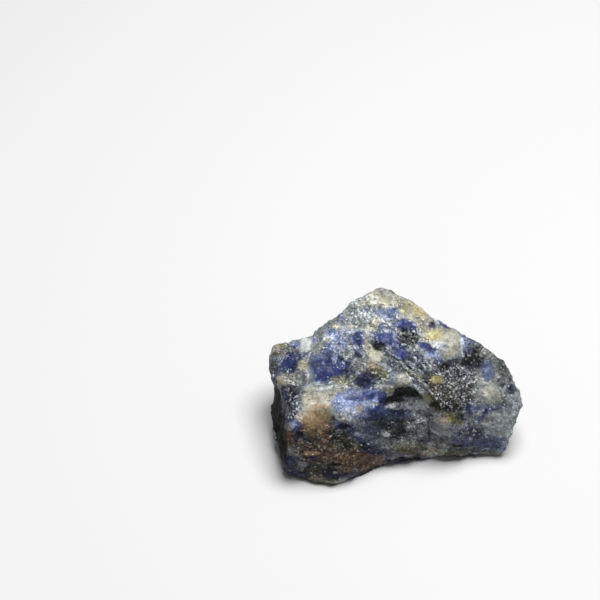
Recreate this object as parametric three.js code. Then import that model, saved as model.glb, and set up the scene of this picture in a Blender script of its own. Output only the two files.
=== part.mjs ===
// Rough sodalite: one broken lump of blue-and-white rock, as it comes from the
// quarry, made as a single closed solid.
//
// Units are millimetres, +Z up. X runs along the lump's length, Y from its low
// front to its tall back, and the origin is on the ground under the middle of
// the bounding box. The lump rests on one small flat spot in the plane Z = 0.
//
// The shape starts from a cage of hand-placed corners joined by flat facets:
// the ridges, the hollow under the middle ridge, the summit and the broken
// sides. Long edges are then split until the triangles are small, the facets
// are eased without losing their ridges, and low fracture relief (flat chips
// with small steps between them) is laid over everything but the resting spot.
import * as THREE from 'three';

// ---- driving dimensions ----------------------------------------------------
const LENGTH = 51.0;         // along X
const DEPTH = 34.6;          // along Y
const HEIGHT = 27.0;         // along Z, ground to summit
const LONGEST_EDGE = 1.95;    // no triangle edge is left longer than this
const EASING_PASSES = 3;      // how often the facets are eased
const EASING = 0.40;          // share of the way to the neighbours' mean, a pass
const RIDGE_KEEPING = 0.035;  // smaller keeps ridges sharper
const RIM_GIVE = 0.12;        // share of easing and relief that reaches the rim
const CHIP_SIZES = [5.2, 2.4];      // breadth of the fracture chips
const CHIP_TILTS = [0.13, 0.16];    // slope of each chip's own plane
const CHIP_STEPS = [0.20, 0.10];    // height differences between chips
const GROUND_CLEARANCE = 0.12;      // lowest the broken sides come to the ground
const SEED = 4711;

// ---- the cage --------------------------------------------------------------
// Corners as x, y, z. The first 90 run once round the lump where its front
// and top meet its back and underside; then come the front and top, the back,
// and last the resting spot at z = 0.
const RIM_CORNERS = 90;
const SPOT_CORNERS = 16;
const CORNERS = [
  [-2.94, 11.89, 27], [-1.53, 11.58, 26.6], [-0.13, 10.99, 26.2], [1.47, 10.76, 26], [3.09, 10.55, 25.5],
  [4.3, 9.83, 24.8], [5.09, 9.01, 24.2], [6.3, 8.39, 23.4], [7.5, 7.76, 22.9], [8.71, 7.41, 22.4],
  [10.13, 6.97, 21.7], [11.34, 6.43, 21.1], [12.77, 6.13, 20.4], [13.98, 5.59, 19.8], [14.99, 5.42, 19.4],
  [16.2, 4.92, 18.9], [18.01, 4.02, 18.1], [19.79, 2.8, 17.2], [21.61, 1.94, 16.2], [22.61, 0.82, 15.2],
  [23.26, -0.59, 14.5], [23.91, -2.3, 13.4], [24.79, -3.47, 12.6], [25.22, -4.63, 11.8], [25.51, -5.44, 10.9],
  [24.95, -6.15, 10.2], [24.36, -7.05, 9.4], [24.06, -8.03, 8.4], [23.39, -8.39, 7.6], [23.21, -9.11, 6.6],
  [22.74, -9.48, 5.8], [22.85, -8.89, 3.6], [22.16, -9.12, 1.7], [21.07, -9.58, 1], [19.25, -9.76, 0.75],
  [17.43, -9.76, 0.75], [16.31, -10.16, 0.5], [14.39, -10.03, 0.6], [12.16, -9.89, 0.75], [10.14, -9.93, 0.7],
  [8.11, -10.16, 0.6], [6.27, -10.74, 0.5], [4.24, -10.96, 0.45], [2.41, -11.23, 0.45], [-0.04, -11.97, 0.45],
  [-2.27, -12.32, 0.5], [-4.31, -13.46, 0.45], [-6.35, -14.73, 0.4], [-8.37, -15.64, 0.4], [-10.39, -16.64, 0.35],
  [-12.4, -17.2, 0.4], [-14.2, -17.28, 0.4], [-16.2, -16.98, 0.45], [-17.59, -16.37, 0.5], [-18.79, -15.64, 0.55],
  [-20.4, -15.04, 0.55], [-21.8, -15.12, 0.65], [-22.5, -14.67, 1.1], [-22.81, -13.16, 1.8], [-23.02, -11.57, 2.4],
  [-23.43, -9.72, 2.4], [-24.25, -8.47, 2.8], [-24.96, -7.39, 3.4], [-25.16, -6.11, 4.4], [-25.16, -4.75, 5.6],
  [-24.56, -3.38, 6.8], [-24.35, -2.1, 8.4], [-24.45, -1.28, 10.2], [-24.64, -0.47, 11.7], [-24.94, 0.8, 13],
  [-25.36, 2.72, 13.9], [-25.51, 4.37, 14.8], [-25.07, 5.65, 15.8], [-24.05, 6.29, 16.6], [-22.63, 6.27, 17.2],
  [-21.01, 5.89, 17.6], [-19.4, 6.16, 17.9], [-18.18, 6.62, 18.3], [-17.07, 6.57, 18.5], [-15.96, 7.57, 19.2],
  [-14.55, 8.02, 19.9], [-13.14, 8.51, 20.7], [-11.94, 8.99, 21.5], [-10.93, 9.68, 22.1], [-9.72, 10.45, 22.9],
  [-8.71, 11.11, 23.8], [-7.71, 11.74, 24.6], [-6.32, 11.65, 25.4], [-5.12, 11.76, 26], [-4.14, 11.77, 26.7],
  [-4.98, 9.67, 26.1], [-3.6, 8.55, 25.8], [-2.02, 7.54, 25.4], [-0.43, 6.81, 25], [0.95, 5.81, 24.6],
  [2.74, 5.18, 24.1], [3.7, 3.64, 23.4], [4.33, 1.28, 22.7], [5.16, -0.97, 21.9], [6.53, -2.21, 20.9],
  [8.54, -2.23, 20.2], [10.98, -1.62, 19.7], [13.07, -0.33, 19.2], [-1.58, 9.47, 26.3], [1.01, 8.65, 25.7],
  [3.4, 7.57, 24.8], [5.58, 6.03, 23.8], [7.55, 4.68, 22.9], [9.74, 3.61, 22], [6.64, 1.66, 22.3],
  [9.02, 0.33, 21.1], [12.13, 2.19, 20.6], [13.63, 3.13, 19.9], [14.4, 1.78, 19], [-6.73, 10.32, 24.6],
  [-4.78, 7.95, 24.7], [-2.41, 6.58, 24.1], [-8.33, 9.62, 23.3], [-9.95, 8.25, 22.4], [-6.76, 7.38, 23],
  [-11.56, 7.25, 21.7], [-8.78, 5.83, 22], [-5.2, 5.52, 22.9], [-2.04, 4.67, 23.2], [0.33, 4.01, 23.3],
  [1.67, 2.01, 22.8], [-3.67, 2.49, 22.3], [-1.3, 1.4, 22], [-6.82, 3.34, 21.7], [-10.2, 3.74, 21],
  [-12.97, 5.52, 20.6], [-15.58, 5.1, 19.3], [-8.84, 1, 20.4], [-5.69, 0.14, 21.3], [2, -0.52, 22],
  [0.2, -1.69, 21.5], [-2.54, -1.12, 20.9], [2.53, -2.85, 21.3], [-4.14, -2.36, 20.2], [-1, -3.44, 19.9],
  [-7.28, -1.88, 19.4], [-10.65, -1.78, 19], [-12.01, 1.56, 20.1], [-14.4, 1.4, 19.4], [-16.78, 3.37, 18.2],
  [-18.59, 3.01, 17.7], [-20.8, 3.11, 17.6], [-23.02, 3.21, 17.2], [-24.22, 1.95, 15.9], [-21.59, -0.37, 17.2],
  [-19.19, -0.37, 17.2], [-16.8, -0.76, 18.2], [-14.02, -1.68, 18.6], [-14.83, -4.19, 17.8], [-11.67, -4.64, 18],
  [-17.61, -3.73, 17.3], [-20.19, -3.63, 16.9], [-22.79, -2.07, 15.8], [-23.79, -2.77, 14.5], [1.53, -3.92, 20.7],
  [3.07, -5.33, 20.2], [4.42, -6.7, 19.5], [5.78, -7.96, 18.7], [6.96, -8.91, 17.7], [7.99, -9.59, 16.1],
  [0.92, -5.32, 19.6], [-1.43, -5.65, 18.8], [-4.16, -4.75, 18.7], [-6.92, -4.56, 18.2], [-9.3, -4.57, 18.5],
  [-5.77, -6.69, 17.6], [-2.82, -7.14, 17.8], [-1.63, -7.09, 17.6], [-0.07, -6.84, 18.2], [1.4, -6.79, 18.7],
  [2.67, -7.32, 18.4], [3.82, -8.21, 18.3], [5.49, -8.96, 17.6], [-2.79, -7.9, 16], [-0.99, -6.88, 16.2],
  [0.44, -5.9, 16], [2.6, -6.39, 16.1], [4.15, -7.45, 15.8], [-1.37, -7.53, 15], [1.03, -7, 15],
  [3.01, -7.43, 14.6], [5.36, -8.06, 14.7], [-19.99, -6.58, 16.6], [-17.62, -7.31, 17.4], [-14.86, -7.58, 17.7],
  [-11.9, -7.4, 17.5], [-8.93, -7.22, 17.3], [-22.58, -5.47, 14.8], [-22.98, -6.79, 13], [-21.17, -9.14, 15.6],
  [-18.6, -10.22, 16.8], [-16.05, -10.31, 17.2], [-13.3, -9.87, 17], [-10.34, -9.77, 16.6], [-7.38, -9.33, 16.4],
  [-4.6, -8.62, 16.2], [-22.46, -9.63, 12.6], [-20.77, -11.67, 14.6], [-18.8, -12.56, 15.3], [-16.45, -12.92, 16],
  [-14.29, -12.05, 16.2], [-12.52, -11.52, 15.9], [-10.76, -12.17, 15.6], [-9.18, -12.47, 15.2], [-7.6, -12.24, 14.8],
  [-6.01, -11.46, 14.8], [-4.41, -10.4, 14.8], [-2.77, -8.85, 14.4], [-22.15, -12.53, 12.3], [-20.18, -13.84, 13.2],
  [-17.82, -14.45, 13.6], [-15.47, -14.11, 13.8], [-13.09, -12.88, 13.3], [-10.72, -12.79, 12.6], [-21.96, -14.61, 10.2],
  [-19.79, -14.96, 10], [-17.22, -15.22, 10], [-14.46, -15.13, 10.2], [-11.7, -14.7, 10.3], [-8.94, -13.22, 11.9],
  [-21.77, -15.76, 7], [-19.39, -16.03, 6.4], [-16.62, -15.95, 6], [-13.64, -16.03, 6.1], [-10.68, -15.94, 6.6],
  [-7.91, -14.27, 8.6], [-7.43, -14.59, 4.4], [-18.8, -15.91, 3.2], [-15.81, -16.7, 2.9], [-12.43, -16.78, 3],
  [-9.43, -16.08, 3.4], [-21.39, -15.56, 3.4], [-6.54, -12.17, 11.6], [-3.96, -11.04, 12.1], [-1.35, -9.36, 12.6],
  [0.44, -8.49, 13.4], [2.8, -8.67, 13.6], [5.18, -9.1, 13.2], [1.44, -9.71, 11.8], [4.24, -9.98, 11.2],
  [-1.1, -10.42, 9.9], [-4.09, -11.91, 8.6], [-5.63, -13, 5.6], [-2.23, -12.56, 5.7], [1.54, -10.86, 8],
  [4.75, -10.78, 7.6], [0.43, -11.87, 4.6], [3.46, -11.53, 4.2], [-4.38, -13.66, 3], [6.91, -10.83, 4],
  [6.93, -3.87, 19.2], [9.38, -3.38, 18.1], [12.03, -2.65, 17.6], [14.55, -0.92, 17.2], [8.48, -6.16, 17.6],
  [10.96, -5.41, 16.2], [13.64, -4.23, 15.8], [9.93, -7.44, 14.9], [12.38, -7.16, 14], [14.8, -6.27, 14.2],
  [7.11, -9.73, 13.6], [9.12, -9.37, 13.5], [11.37, -9.1, 12.3], [13.82, -8.3, 12], [6.54, -11.03, 11.8],
  [8.52, -11.47, 11.4], [10.81, -10.68, 10.2], [7.28, -11.04, 8.8], [9.51, -10.95, 8.1], [12.18, -10.52, 7],
  [9.28, -10.81, 4.9], [11.97, -10.39, 3.8], [14.71, -9.53, 9.2], [14.89, -10.1, 5.6], [17.61, -9.46, 7.6],
  [18, -9.94, 4.2], [20.39, -9.22, 5.2], [14.83, -10.14, 3.2], [19.94, -9.62, 2.6], [17.01, 3.93, 17.9],
  [16.05, 1.62, 18], [18.34, 2.1, 17.2], [16.75, -1.18, 16.9], [19.23, -0.26, 16.5], [21.31, -0.15, 15.5],
  [16.26, -3.69, 15.8], [18.69, -3.5, 15.3], [21.4, -2.86, 14.3], [17.41, -6.09, 14], [20.09, -5.63, 13.2],
  [22.6, -4.55, 12.6], [16.66, -7.76, 11.7], [19.12, -7.23, 11.1], [21.81, -6.51, 10.6], [23.62, -5.71, 11.2],
  [17.12, -8.56, 9.9], [19.8, -8.38, 8.8], [22.06, -8.03, 8.4], [21.53, -8.94, 6.4], [-24.01, -7.32, 7.6],
  [-23.31, -5.62, 9.6], [-23.31, -9.2, 6.4], [-22.7, -11.34, 5.2], [-23.41, -4.09, 11.2], [-22.19, -13.81, 3.8],
  [-23.29, 8.08, 13.6], [-18.79, 9.28, 14.4], [-13.79, 11.08, 16], [-9.29, 13.08, 19.2], [-4.79, 13.88, 22.4],
  [0.21, 13.28, 22.2], [4.71, 11.48, 20.4], [9.21, 9.28, 18.2], [-22.79, 8.48, 9], [-18.29, 10.68, 12.5],
  [-17.79, 9.88, 7], [-13.29, 12.48, 14], [-12.29, 11.48, 8], [-8.29, 14.48, 16.5], [-7.29, 13.08, 10],
  [-3.39, 16.08, 18.6], [-2.99, 14.88, 12.6], [-1.99, 13.68, 6.6], [-20.79, 7.68, 4.2], [-14.29, 9.78, 3.6],
  [-7.79, 11.08, 3.4], [-1.19, 17.18, 17.2], [1.01, 17.28, 12], [3.01, 16.08, 6.4], [3.71, 14.18, 16],
  [6.71, 12.78, 11.6], [8.41, 11.08, 14.4], [9.71, 12.08, 9.6], [13.01, 8.88, 12.6], [13.41, 10.08, 8.6],
  [12.21, 8.28, 16], [17.41, 6.28, 13.4], [17.81, 6.78, 8.8], [21.41, 3.68, 12], [21.61, 3.78, 7.6],
  [24.21, -0.52, 9.6], [23.81, -1.52, 5.4], [7.01, 13.78, 6.4], [11.21, 11.48, 4.6], [16.61, 7.28, 4.4],
  [20.41, 2.48, 3.8], [-18.29, 5.48, 1.4], [-11.29, 8.68, 1.4], [-3.79, 11.28, 1.8], [3.81, 12.88, 2.4],
  [9.81, 10.08, 1.6], [15.41, 5.48, 1.4], [19.41, 0.08, 1.4], [22.41, -4.52, 2.6], [-24.39, 4.38, 9.6],
  [-23.79, -0.52, 4.6], [-22.39, -4.72, 1.6], [-16.29, 0.48, 0], [-9.29, 4.88, 0], [0.21, 7.88, 0],
  [8.01, 5.28, 0], [13.21, 0.28, 0], [14.81, -3.72, 0], [10.81, -6.12, 0], [4.21, -7.12, 0],
  [-3.79, -8.92, 0], [-9.79, -11.72, 0], [-15.79, -12.32, 0], [-18.99, -9.12, 0], [-18.99, -4.32, 0],
  [-10.79, -5.12, 0], [-0.79, -2.12, 0], [7.21, -1.12, 0],
];

// Facets as triples of corner numbers, each running anticlockwise seen from
// outside.
const FACETS = [
  [301, 302, 298], [155, 156, 187], [26, 302, 27], [298, 302, 26], [299, 298, 26], [48, 235, 49], [155, 187, 188],
  [148, 71, 70], [27, 302, 28], [303, 302, 301], [28, 302, 303], [31, 30, 303], [301, 298, 297], [297, 298, 294],
  [294, 293, 297], [25, 24, 299], [25, 299, 26], [252, 42, 41], [267, 263, 262], [292, 289, 291], [291, 293, 294],
  [291, 294, 292], [239, 243, 240], [245, 243, 239], [239, 238, 245], [226, 221, 220], [216, 221, 222], [222, 221, 227],
  [227, 221, 226], [226, 232, 227], [158, 68, 67], [66, 308, 67], [187, 156, 192], [67, 308, 192], [192, 158, 67],
  [150, 156, 155], [69, 68, 158], [69, 148, 70], [198, 199, 191], [170, 168, 191], [191, 199, 170], [174, 165, 173],
  [97, 134, 98], [98, 134, 137], [139, 165, 159], [122, 119, 121], [133, 132, 140], [115, 119, 122], [303, 30, 29],
  [29, 28, 303], [303, 301, 281], [281, 32, 31], [281, 31, 303], [299, 24, 23], [295, 298, 299], [294, 298, 295],
  [295, 299, 23], [23, 22, 295], [292, 294, 295], [22, 21, 295], [295, 21, 292], [292, 21, 20], [20, 289, 292],
  [275, 273, 272], [37, 36, 282], [297, 293, 296], [45, 248, 253], [237, 230, 246], [246, 238, 237], [245, 238, 246],
  [246, 248, 245], [229, 235, 231], [231, 230, 229], [252, 41, 254], [275, 272, 254], [262, 259, 163], [163, 177, 186],
  [267, 262, 266], [290, 293, 291], [181, 184, 185], [175, 174, 181], [242, 265, 186], [269, 265, 242], [250, 272, 269],
  [254, 272, 250], [250, 252, 254], [66, 65, 305], [54, 232, 55], [53, 232, 54], [226, 220, 225], [225, 220, 219],
  [216, 222, 217], [217, 218, 207], [196, 197, 189], [189, 188, 196], [219, 220, 214], [214, 213, 219], [149, 156, 150],
  [81, 80, 130], [151, 145, 150], [150, 155, 151], [207, 218, 208], [198, 207, 208], [208, 199, 198], [209, 199, 208],
  [183, 239, 240], [212, 239, 183], [178, 212, 183], [240, 184, 183], [211, 238, 239], [211, 239, 212], [180, 174, 173],
  [180, 184, 181], [181, 174, 180], [137, 159, 160], [159, 165, 160], [160, 165, 174], [160, 174, 175], [175, 161, 160],
  [3, 104, 4], [139, 159, 135], [137, 134, 135], [135, 159, 137], [135, 136, 139], [135, 134, 127], [127, 136, 135],
  [172, 171, 178], [166, 171, 172], [172, 173, 166], [173, 165, 166], [166, 165, 139], [166, 139, 167], [167, 168, 170],
  [170, 171, 167], [167, 171, 166], [84, 83, 118], [118, 117, 84], [118, 119, 117], [121, 119, 118], [138, 136, 133],
  [133, 140, 138], [139, 136, 138], [167, 139, 138], [140, 168, 138], [138, 168, 167], [128, 132, 133], [128, 129, 132],
  [121, 129, 128], [128, 122, 121], [90, 89, 88], [87, 90, 88], [115, 90, 114], [117, 119, 114], [114, 119, 115],
  [87, 86, 114], [114, 90, 87], [1, 0, 103], [2, 104, 3], [103, 104, 2], [1, 103, 2], [91, 90, 115],
  [91, 89, 90], [91, 0, 89], [103, 0, 91], [300, 301, 297], [300, 297, 296], [18, 289, 19], [19, 289, 20],
  [17, 16, 286], [276, 273, 275], [39, 38, 276], [276, 275, 39], [276, 38, 37], [276, 37, 282], [300, 277, 279],
  [281, 301, 279], [279, 301, 300], [296, 293, 264], [264, 293, 290], [267, 277, 268], [268, 277, 300], [300, 296, 268],
  [268, 263, 267], [264, 263, 268], [268, 296, 264], [47, 235, 48], [231, 235, 47], [231, 253, 247], [247, 230, 231],
  [246, 230, 247], [253, 248, 247], [247, 248, 246], [44, 248, 45], [228, 222, 227], [223, 218, 217], [217, 222, 223],
  [229, 230, 223], [223, 222, 228], [228, 229, 223], [162, 177, 163], [163, 259, 162], [164, 262, 163], [266, 262, 164],
  [164, 265, 266], [186, 265, 164], [163, 186, 164], [272, 273, 270], [269, 272, 270], [270, 265, 269], [266, 265, 270],
  [290, 291, 287], [287, 258, 290], [285, 258, 287], [287, 286, 285], [256, 257, 101], [101, 100, 256], [186, 177, 182],
  [185, 186, 182], [182, 181, 185], [240, 243, 241], [241, 184, 240], [185, 184, 241], [241, 186, 185], [242, 186, 241],
  [250, 269, 244], [244, 269, 242], [241, 243, 244], [244, 242, 241], [249, 252, 250], [249, 243, 245], [244, 243, 249],
  [249, 250, 244], [63, 62, 306], [219, 213, 306], [304, 64, 63], [306, 213, 304], [304, 63, 306], [304, 65, 64],
  [194, 187, 192], [192, 308, 194], [236, 232, 226], [55, 232, 236], [236, 226, 225], [236, 57, 56], [236, 56, 55],
  [58, 57, 236], [225, 219, 307], [217, 207, 206], [198, 197, 206], [206, 207, 198], [157, 148, 69], [149, 148, 157],
  [69, 158, 157], [157, 156, 149], [192, 156, 157], [157, 158, 192], [150, 145, 146], [149, 150, 146], [146, 75, 74],
  [76, 145, 77], [146, 145, 76], [76, 75, 146], [144, 145, 151], [151, 143, 144], [77, 145, 144], [78, 77, 144],
  [189, 197, 190], [190, 197, 198], [198, 191, 190], [190, 191, 154], [191, 168, 169], [154, 191, 169], [169, 168, 140],
  [132, 129, 142], [142, 129, 130], [142, 130, 143], [151, 155, 153], [153, 189, 190], [190, 154, 153], [237, 209, 224],
  [224, 209, 208], [208, 218, 224], [224, 230, 237], [224, 218, 223], [223, 230, 224], [200, 171, 170], [178, 171, 200],
  [170, 199, 200], [200, 199, 211], [200, 212, 178], [211, 212, 200], [210, 199, 209], [211, 199, 210], [210, 238, 211],
  [237, 238, 210], [210, 209, 237], [9, 8, 107], [107, 10, 9], [105, 5, 4], [4, 104, 105], [127, 134, 125],
  [125, 134, 97], [125, 97, 96], [99, 98, 137], [99, 137, 160], [179, 178, 183], [172, 178, 179], [183, 184, 179],
  [179, 184, 180], [180, 173, 179], [179, 173, 172], [84, 117, 85], [114, 86, 85], [85, 117, 114], [118, 83, 82],
  [128, 133, 126], [126, 136, 127], [133, 136, 126], [126, 122, 128], [126, 123, 122], [127, 123, 126], [92, 103, 91],
  [91, 115, 92], [14, 112, 15], [40, 275, 254], [39, 275, 40], [254, 41, 40], [274, 273, 276], [276, 282, 274],
  [279, 277, 278], [278, 277, 274], [274, 282, 278], [264, 290, 261], [261, 258, 257], [290, 258, 261], [261, 263, 264],
  [46, 253, 231], [46, 231, 47], [45, 253, 46], [251, 248, 44], [251, 252, 249], [245, 248, 251], [249, 245, 251],
  [52, 51, 233], [228, 227, 233], [53, 52, 233], [227, 232, 233], [233, 232, 53], [234, 235, 229], [234, 229, 228],
  [49, 235, 234], [50, 49, 234], [234, 51, 50], [233, 51, 234], [234, 228, 233], [291, 289, 288], [287, 291, 288],
  [288, 286, 287], [288, 289, 18], [288, 18, 17], [17, 286, 288], [257, 258, 102], [101, 257, 102], [102, 258, 285],
  [110, 100, 101], [110, 98, 99], [99, 100, 110], [13, 112, 14], [175, 181, 176], [176, 181, 182], [176, 161, 175],
  [162, 161, 176], [176, 177, 162], [182, 177, 176], [194, 308, 193], [193, 305, 194], [193, 308, 66], [193, 66, 305],
  [307, 60, 59], [59, 225, 307], [236, 225, 309], [58, 236, 309], [309, 225, 59], [59, 58, 309], [61, 219, 306],
  [307, 219, 61], [306, 62, 61], [61, 60, 307], [205, 216, 217], [205, 217, 206], [205, 197, 196], [206, 197, 205],
  [203, 214, 215], [215, 221, 216], [220, 221, 215], [214, 220, 215], [196, 188, 195], [188, 187, 195], [195, 187, 194],
  [304, 213, 201], [194, 305, 201], [305, 65, 201], [201, 65, 304], [147, 148, 149], [147, 149, 146], [147, 73, 72],
  [74, 73, 147], [146, 74, 147], [72, 71, 147], [147, 71, 148], [144, 143, 131], [131, 78, 144], [79, 78, 131],
  [143, 130, 131], [130, 80, 131], [131, 80, 79], [140, 132, 141], [169, 140, 141], [141, 132, 142], [141, 154, 169],
  [152, 143, 151], [152, 151, 153], [142, 143, 152], [141, 142, 152], [153, 154, 152], [152, 154, 141], [6, 5, 105],
  [105, 104, 94], [256, 100, 255], [255, 100, 99], [255, 259, 256], [160, 161, 255], [99, 160, 255], [162, 259, 255],
  [255, 161, 162], [81, 130, 120], [82, 81, 120], [130, 129, 120], [120, 129, 121], [120, 121, 118], [120, 118, 82],
  [93, 104, 103], [93, 103, 92], [94, 104, 93], [92, 115, 116], [122, 123, 116], [115, 122, 116], [116, 123, 93],
  [93, 92, 116], [284, 16, 15], [286, 16, 284], [285, 286, 284], [270, 273, 271], [271, 273, 274], [271, 267, 266],
  [271, 266, 270], [271, 277, 267], [274, 277, 271], [280, 279, 278], [280, 281, 279], [278, 282, 280], [262, 263, 260],
  [260, 263, 261], [260, 259, 262], [261, 257, 260], [256, 259, 260], [260, 257, 256], [251, 44, 43], [43, 42, 252],
  [43, 252, 251], [102, 285, 113], [113, 285, 284], [15, 112, 113], [284, 15, 113], [110, 101, 111], [111, 101, 102],
  [113, 112, 111], [111, 102, 113], [111, 112, 13], [13, 12, 111], [97, 98, 109], [109, 98, 110], [96, 97, 109],
  [107, 96, 109], [205, 196, 204], [204, 196, 195], [195, 203, 204], [204, 216, 205], [215, 216, 204], [204, 203, 215],
  [202, 194, 201], [195, 194, 202], [202, 203, 195], [202, 214, 203], [202, 213, 214], [201, 213, 202], [6, 105, 106],
  [107, 8, 106], [106, 96, 107], [95, 105, 94], [95, 96, 106], [106, 105, 95], [125, 96, 95], [283, 281, 280],
  [33, 32, 283], [283, 32, 281], [34, 33, 283], [280, 34, 283], [282, 36, 35], [280, 282, 35], [35, 34, 280],
  [108, 110, 111], [12, 11, 108], [111, 12, 108], [108, 11, 10], [108, 10, 107], [108, 107, 109], [109, 110, 108],
  [106, 8, 7], [7, 6, 106], [124, 125, 95], [95, 94, 124], [124, 123, 127], [124, 127, 125], [153, 188, 189],
  [153, 155, 188], [124, 94, 93], [93, 123, 124], [52, 372, 51], [344, 350, 349], [344, 346, 350], [375, 362, 363],
  [376, 375, 363], [375, 373, 374], [375, 374, 362], [372, 50, 51], [330, 353, 363], [364, 376, 363], [353, 364, 363],
  [364, 353, 354], [0, 314, 89], [346, 344, 345], [342, 344, 349], [52, 53, 372], [53, 54, 372], [55, 56, 57],
  [58, 55, 57], [69, 70, 359], [71, 359, 70], [359, 310, 318], [351, 362, 360], [360, 328, 351], [66, 359, 360],
  [373, 375, 372], [373, 55, 58], [372, 55, 373], [55, 372, 54], [370, 375, 376], [375, 371, 372], [370, 371, 375],
  [371, 46, 47], [371, 50, 372], [50, 371, 49], [346, 357, 350], [357, 346, 358], [46, 370, 45], [46, 371, 370],
  [353, 327, 354], [327, 333, 354], [327, 330, 324], [330, 327, 353], [314, 315, 325], [358, 31, 32], [24, 345, 23],
  [345, 25, 346], [22, 23, 345], [25, 345, 24], [345, 20, 21], [345, 343, 20], [21, 22, 345], [348, 339, 349],
  [339, 342, 349], [64, 65, 360], [65, 66, 360], [68, 69, 359], [314, 85, 86], [325, 313, 314], [330, 322, 324],
  [329, 322, 330], [322, 329, 320], [318, 328, 359], [328, 318, 320], [359, 67, 68], [329, 328, 320], [328, 329, 351],
  [360, 359, 328], [359, 66, 67], [361, 64, 360], [360, 374, 361], [374, 360, 362], [371, 48, 49], [48, 371, 47],
  [365, 364, 354], [332, 327, 326], [327, 332, 333], [326, 327, 324], [323, 326, 324], [326, 323, 325], [87, 314, 86],
  [331, 334, 332], [326, 331, 332], [331, 326, 325], [315, 3, 4], [29, 30, 358], [30, 31, 358], [346, 28, 358],
  [27, 28, 346], [28, 29, 358], [25, 26, 346], [26, 27, 346], [343, 341, 17], [342, 343, 344], [20, 343, 19],
  [343, 345, 344], [341, 343, 342], [342, 338, 341], [15, 340, 14], [338, 342, 339], [343, 18, 19], [18, 343, 17],
  [310, 72, 73], [72, 310, 71], [310, 359, 71], [319, 318, 310], [318, 319, 320], [322, 321, 324], [352, 330, 363],
  [352, 329, 330], [329, 352, 351], [363, 351, 352], [351, 363, 362], [361, 63, 64], [361, 60, 61], [373, 361, 374],
  [361, 373, 60], [33, 358, 32], [40, 41, 369], [355, 365, 354], [355, 348, 349], [364, 377, 376], [365, 377, 364],
  [377, 369, 376], [369, 368, 40], [366, 377, 365], [336, 337, 335], [337, 339, 348], [339, 337, 338], [332, 335, 333],
  [335, 332, 334], [334, 331, 315], [315, 316, 334], [316, 8, 317], [8, 316, 7], [314, 88, 89], [87, 88, 314],
  [1, 314, 0], [325, 315, 331], [16, 341, 15], [341, 16, 17], [340, 15, 341], [14, 340, 13], [340, 341, 338],
  [13, 340, 12], [338, 336, 340], [317, 340, 336], [336, 338, 337], [74, 310, 73], [74, 75, 310], [312, 319, 311],
  [62, 361, 61], [62, 63, 361], [59, 373, 58], [59, 60, 373], [41, 42, 369], [42, 43, 369], [368, 369, 377],
  [366, 368, 377], [355, 356, 365], [356, 366, 365], [356, 355, 349], [366, 356, 357], [350, 356, 349], [357, 356, 350],
  [367, 366, 357], [36, 367, 35], [367, 36, 37], [367, 368, 366], [37, 368, 367], [368, 37, 38], [337, 347, 335],
  [333, 347, 354], [335, 347, 333], [347, 337, 348], [347, 355, 354], [355, 347, 348], [336, 334, 316], [316, 317, 336],
  [334, 336, 335], [317, 9, 10], [8, 9, 317], [315, 1, 2], [1, 315, 314], [2, 3, 315], [12, 317, 11],
  [11, 317, 10], [317, 12, 340], [314, 313, 85], [313, 82, 83], [84, 313, 83], [313, 325, 323], [85, 313, 84],
  [81, 312, 80], [312, 323, 321], [313, 312, 82], [82, 312, 81], [312, 313, 323], [321, 323, 324], [311, 75, 76],
  [319, 322, 320], [319, 321, 322], [319, 310, 311], [311, 310, 75], [33, 34, 358], [358, 367, 357], [367, 358, 34],
  [367, 34, 35], [370, 44, 45], [370, 43, 44], [369, 370, 376], [43, 370, 369], [39, 368, 38], [368, 39, 40],
  [6, 7, 316], [5, 6, 316], [4, 316, 315], [316, 4, 5], [312, 311, 78], [312, 78, 79], [312, 79, 80],
  [77, 311, 76], [78, 311, 77], [319, 312, 321],
];

// ---- building ---------------------------------------------------------------
// A steady pseudo-random number in 0..1 for a cell of a 3-D lattice.
function hash(i, j, k, salt) {
  let h = (i * 374761393 + j * 668265263 + k * 2147483647 + salt * 1274126177 + SEED * 97) | 0;
  h = Math.imul(h ^ (h >>> 13), 1274126177);
  h = Math.imul(h ^ (h >>> 16), 2246822519);
  return ((h ^ (h >>> 15)) >>> 0) / 4294967296;
}

// Height of the fracture relief at a point: the nearest of a jittered lattice
// of chips, each a tilted plane with a step of its own.
function chipHeight(p, size, tilt, step, salt) {
  const q = [p[0] / size, p[1] / size, p[2] / size];
  const c = q.map(Math.floor);
  let best = Infinity, second = Infinity, h1 = 0, h2 = 0;
  for (let di = -1; di <= 1; di++) for (let dj = -1; dj <= 1; dj++) for (let dk = -1; dk <= 1; dk++) {
    const i = c[0] + di, j = c[1] + dj, k = c[2] + dk;
    const m = [i + hash(i, j, k, salt), j + hash(i, j, k, salt + 1), k + hash(i, j, k, salt + 2)];
    const d = [q[0] - m[0], q[1] - m[1], q[2] - m[2]];
    const dist = d[0] * d[0] + d[1] * d[1] + d[2] * d[2];
    if (dist >= second) continue;
    const g = [hash(i, j, k, salt + 3) - 0.5, hash(i, j, k, salt + 4) - 0.5, hash(i, j, k, salt + 5) - 0.5];
    const h = 2 * tilt * size * (g[0] * d[0] + g[1] * d[1] + g[2] * d[2]) + step * (hash(i, j, k, salt + 6) - 0.5) * 2;
    if (dist < best) { second = best; h2 = h1; best = dist; h1 = h; }
    else { second = dist; h2 = h; }
  }
  const gap = Math.sqrt(second) - Math.sqrt(best);         // soft foot of the step
  const t = Math.min(1, gap / 0.22);
  return h1 * (0.5 + 0.5 * t) + h2 * (0.5 - 0.5 * t);
}

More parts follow.
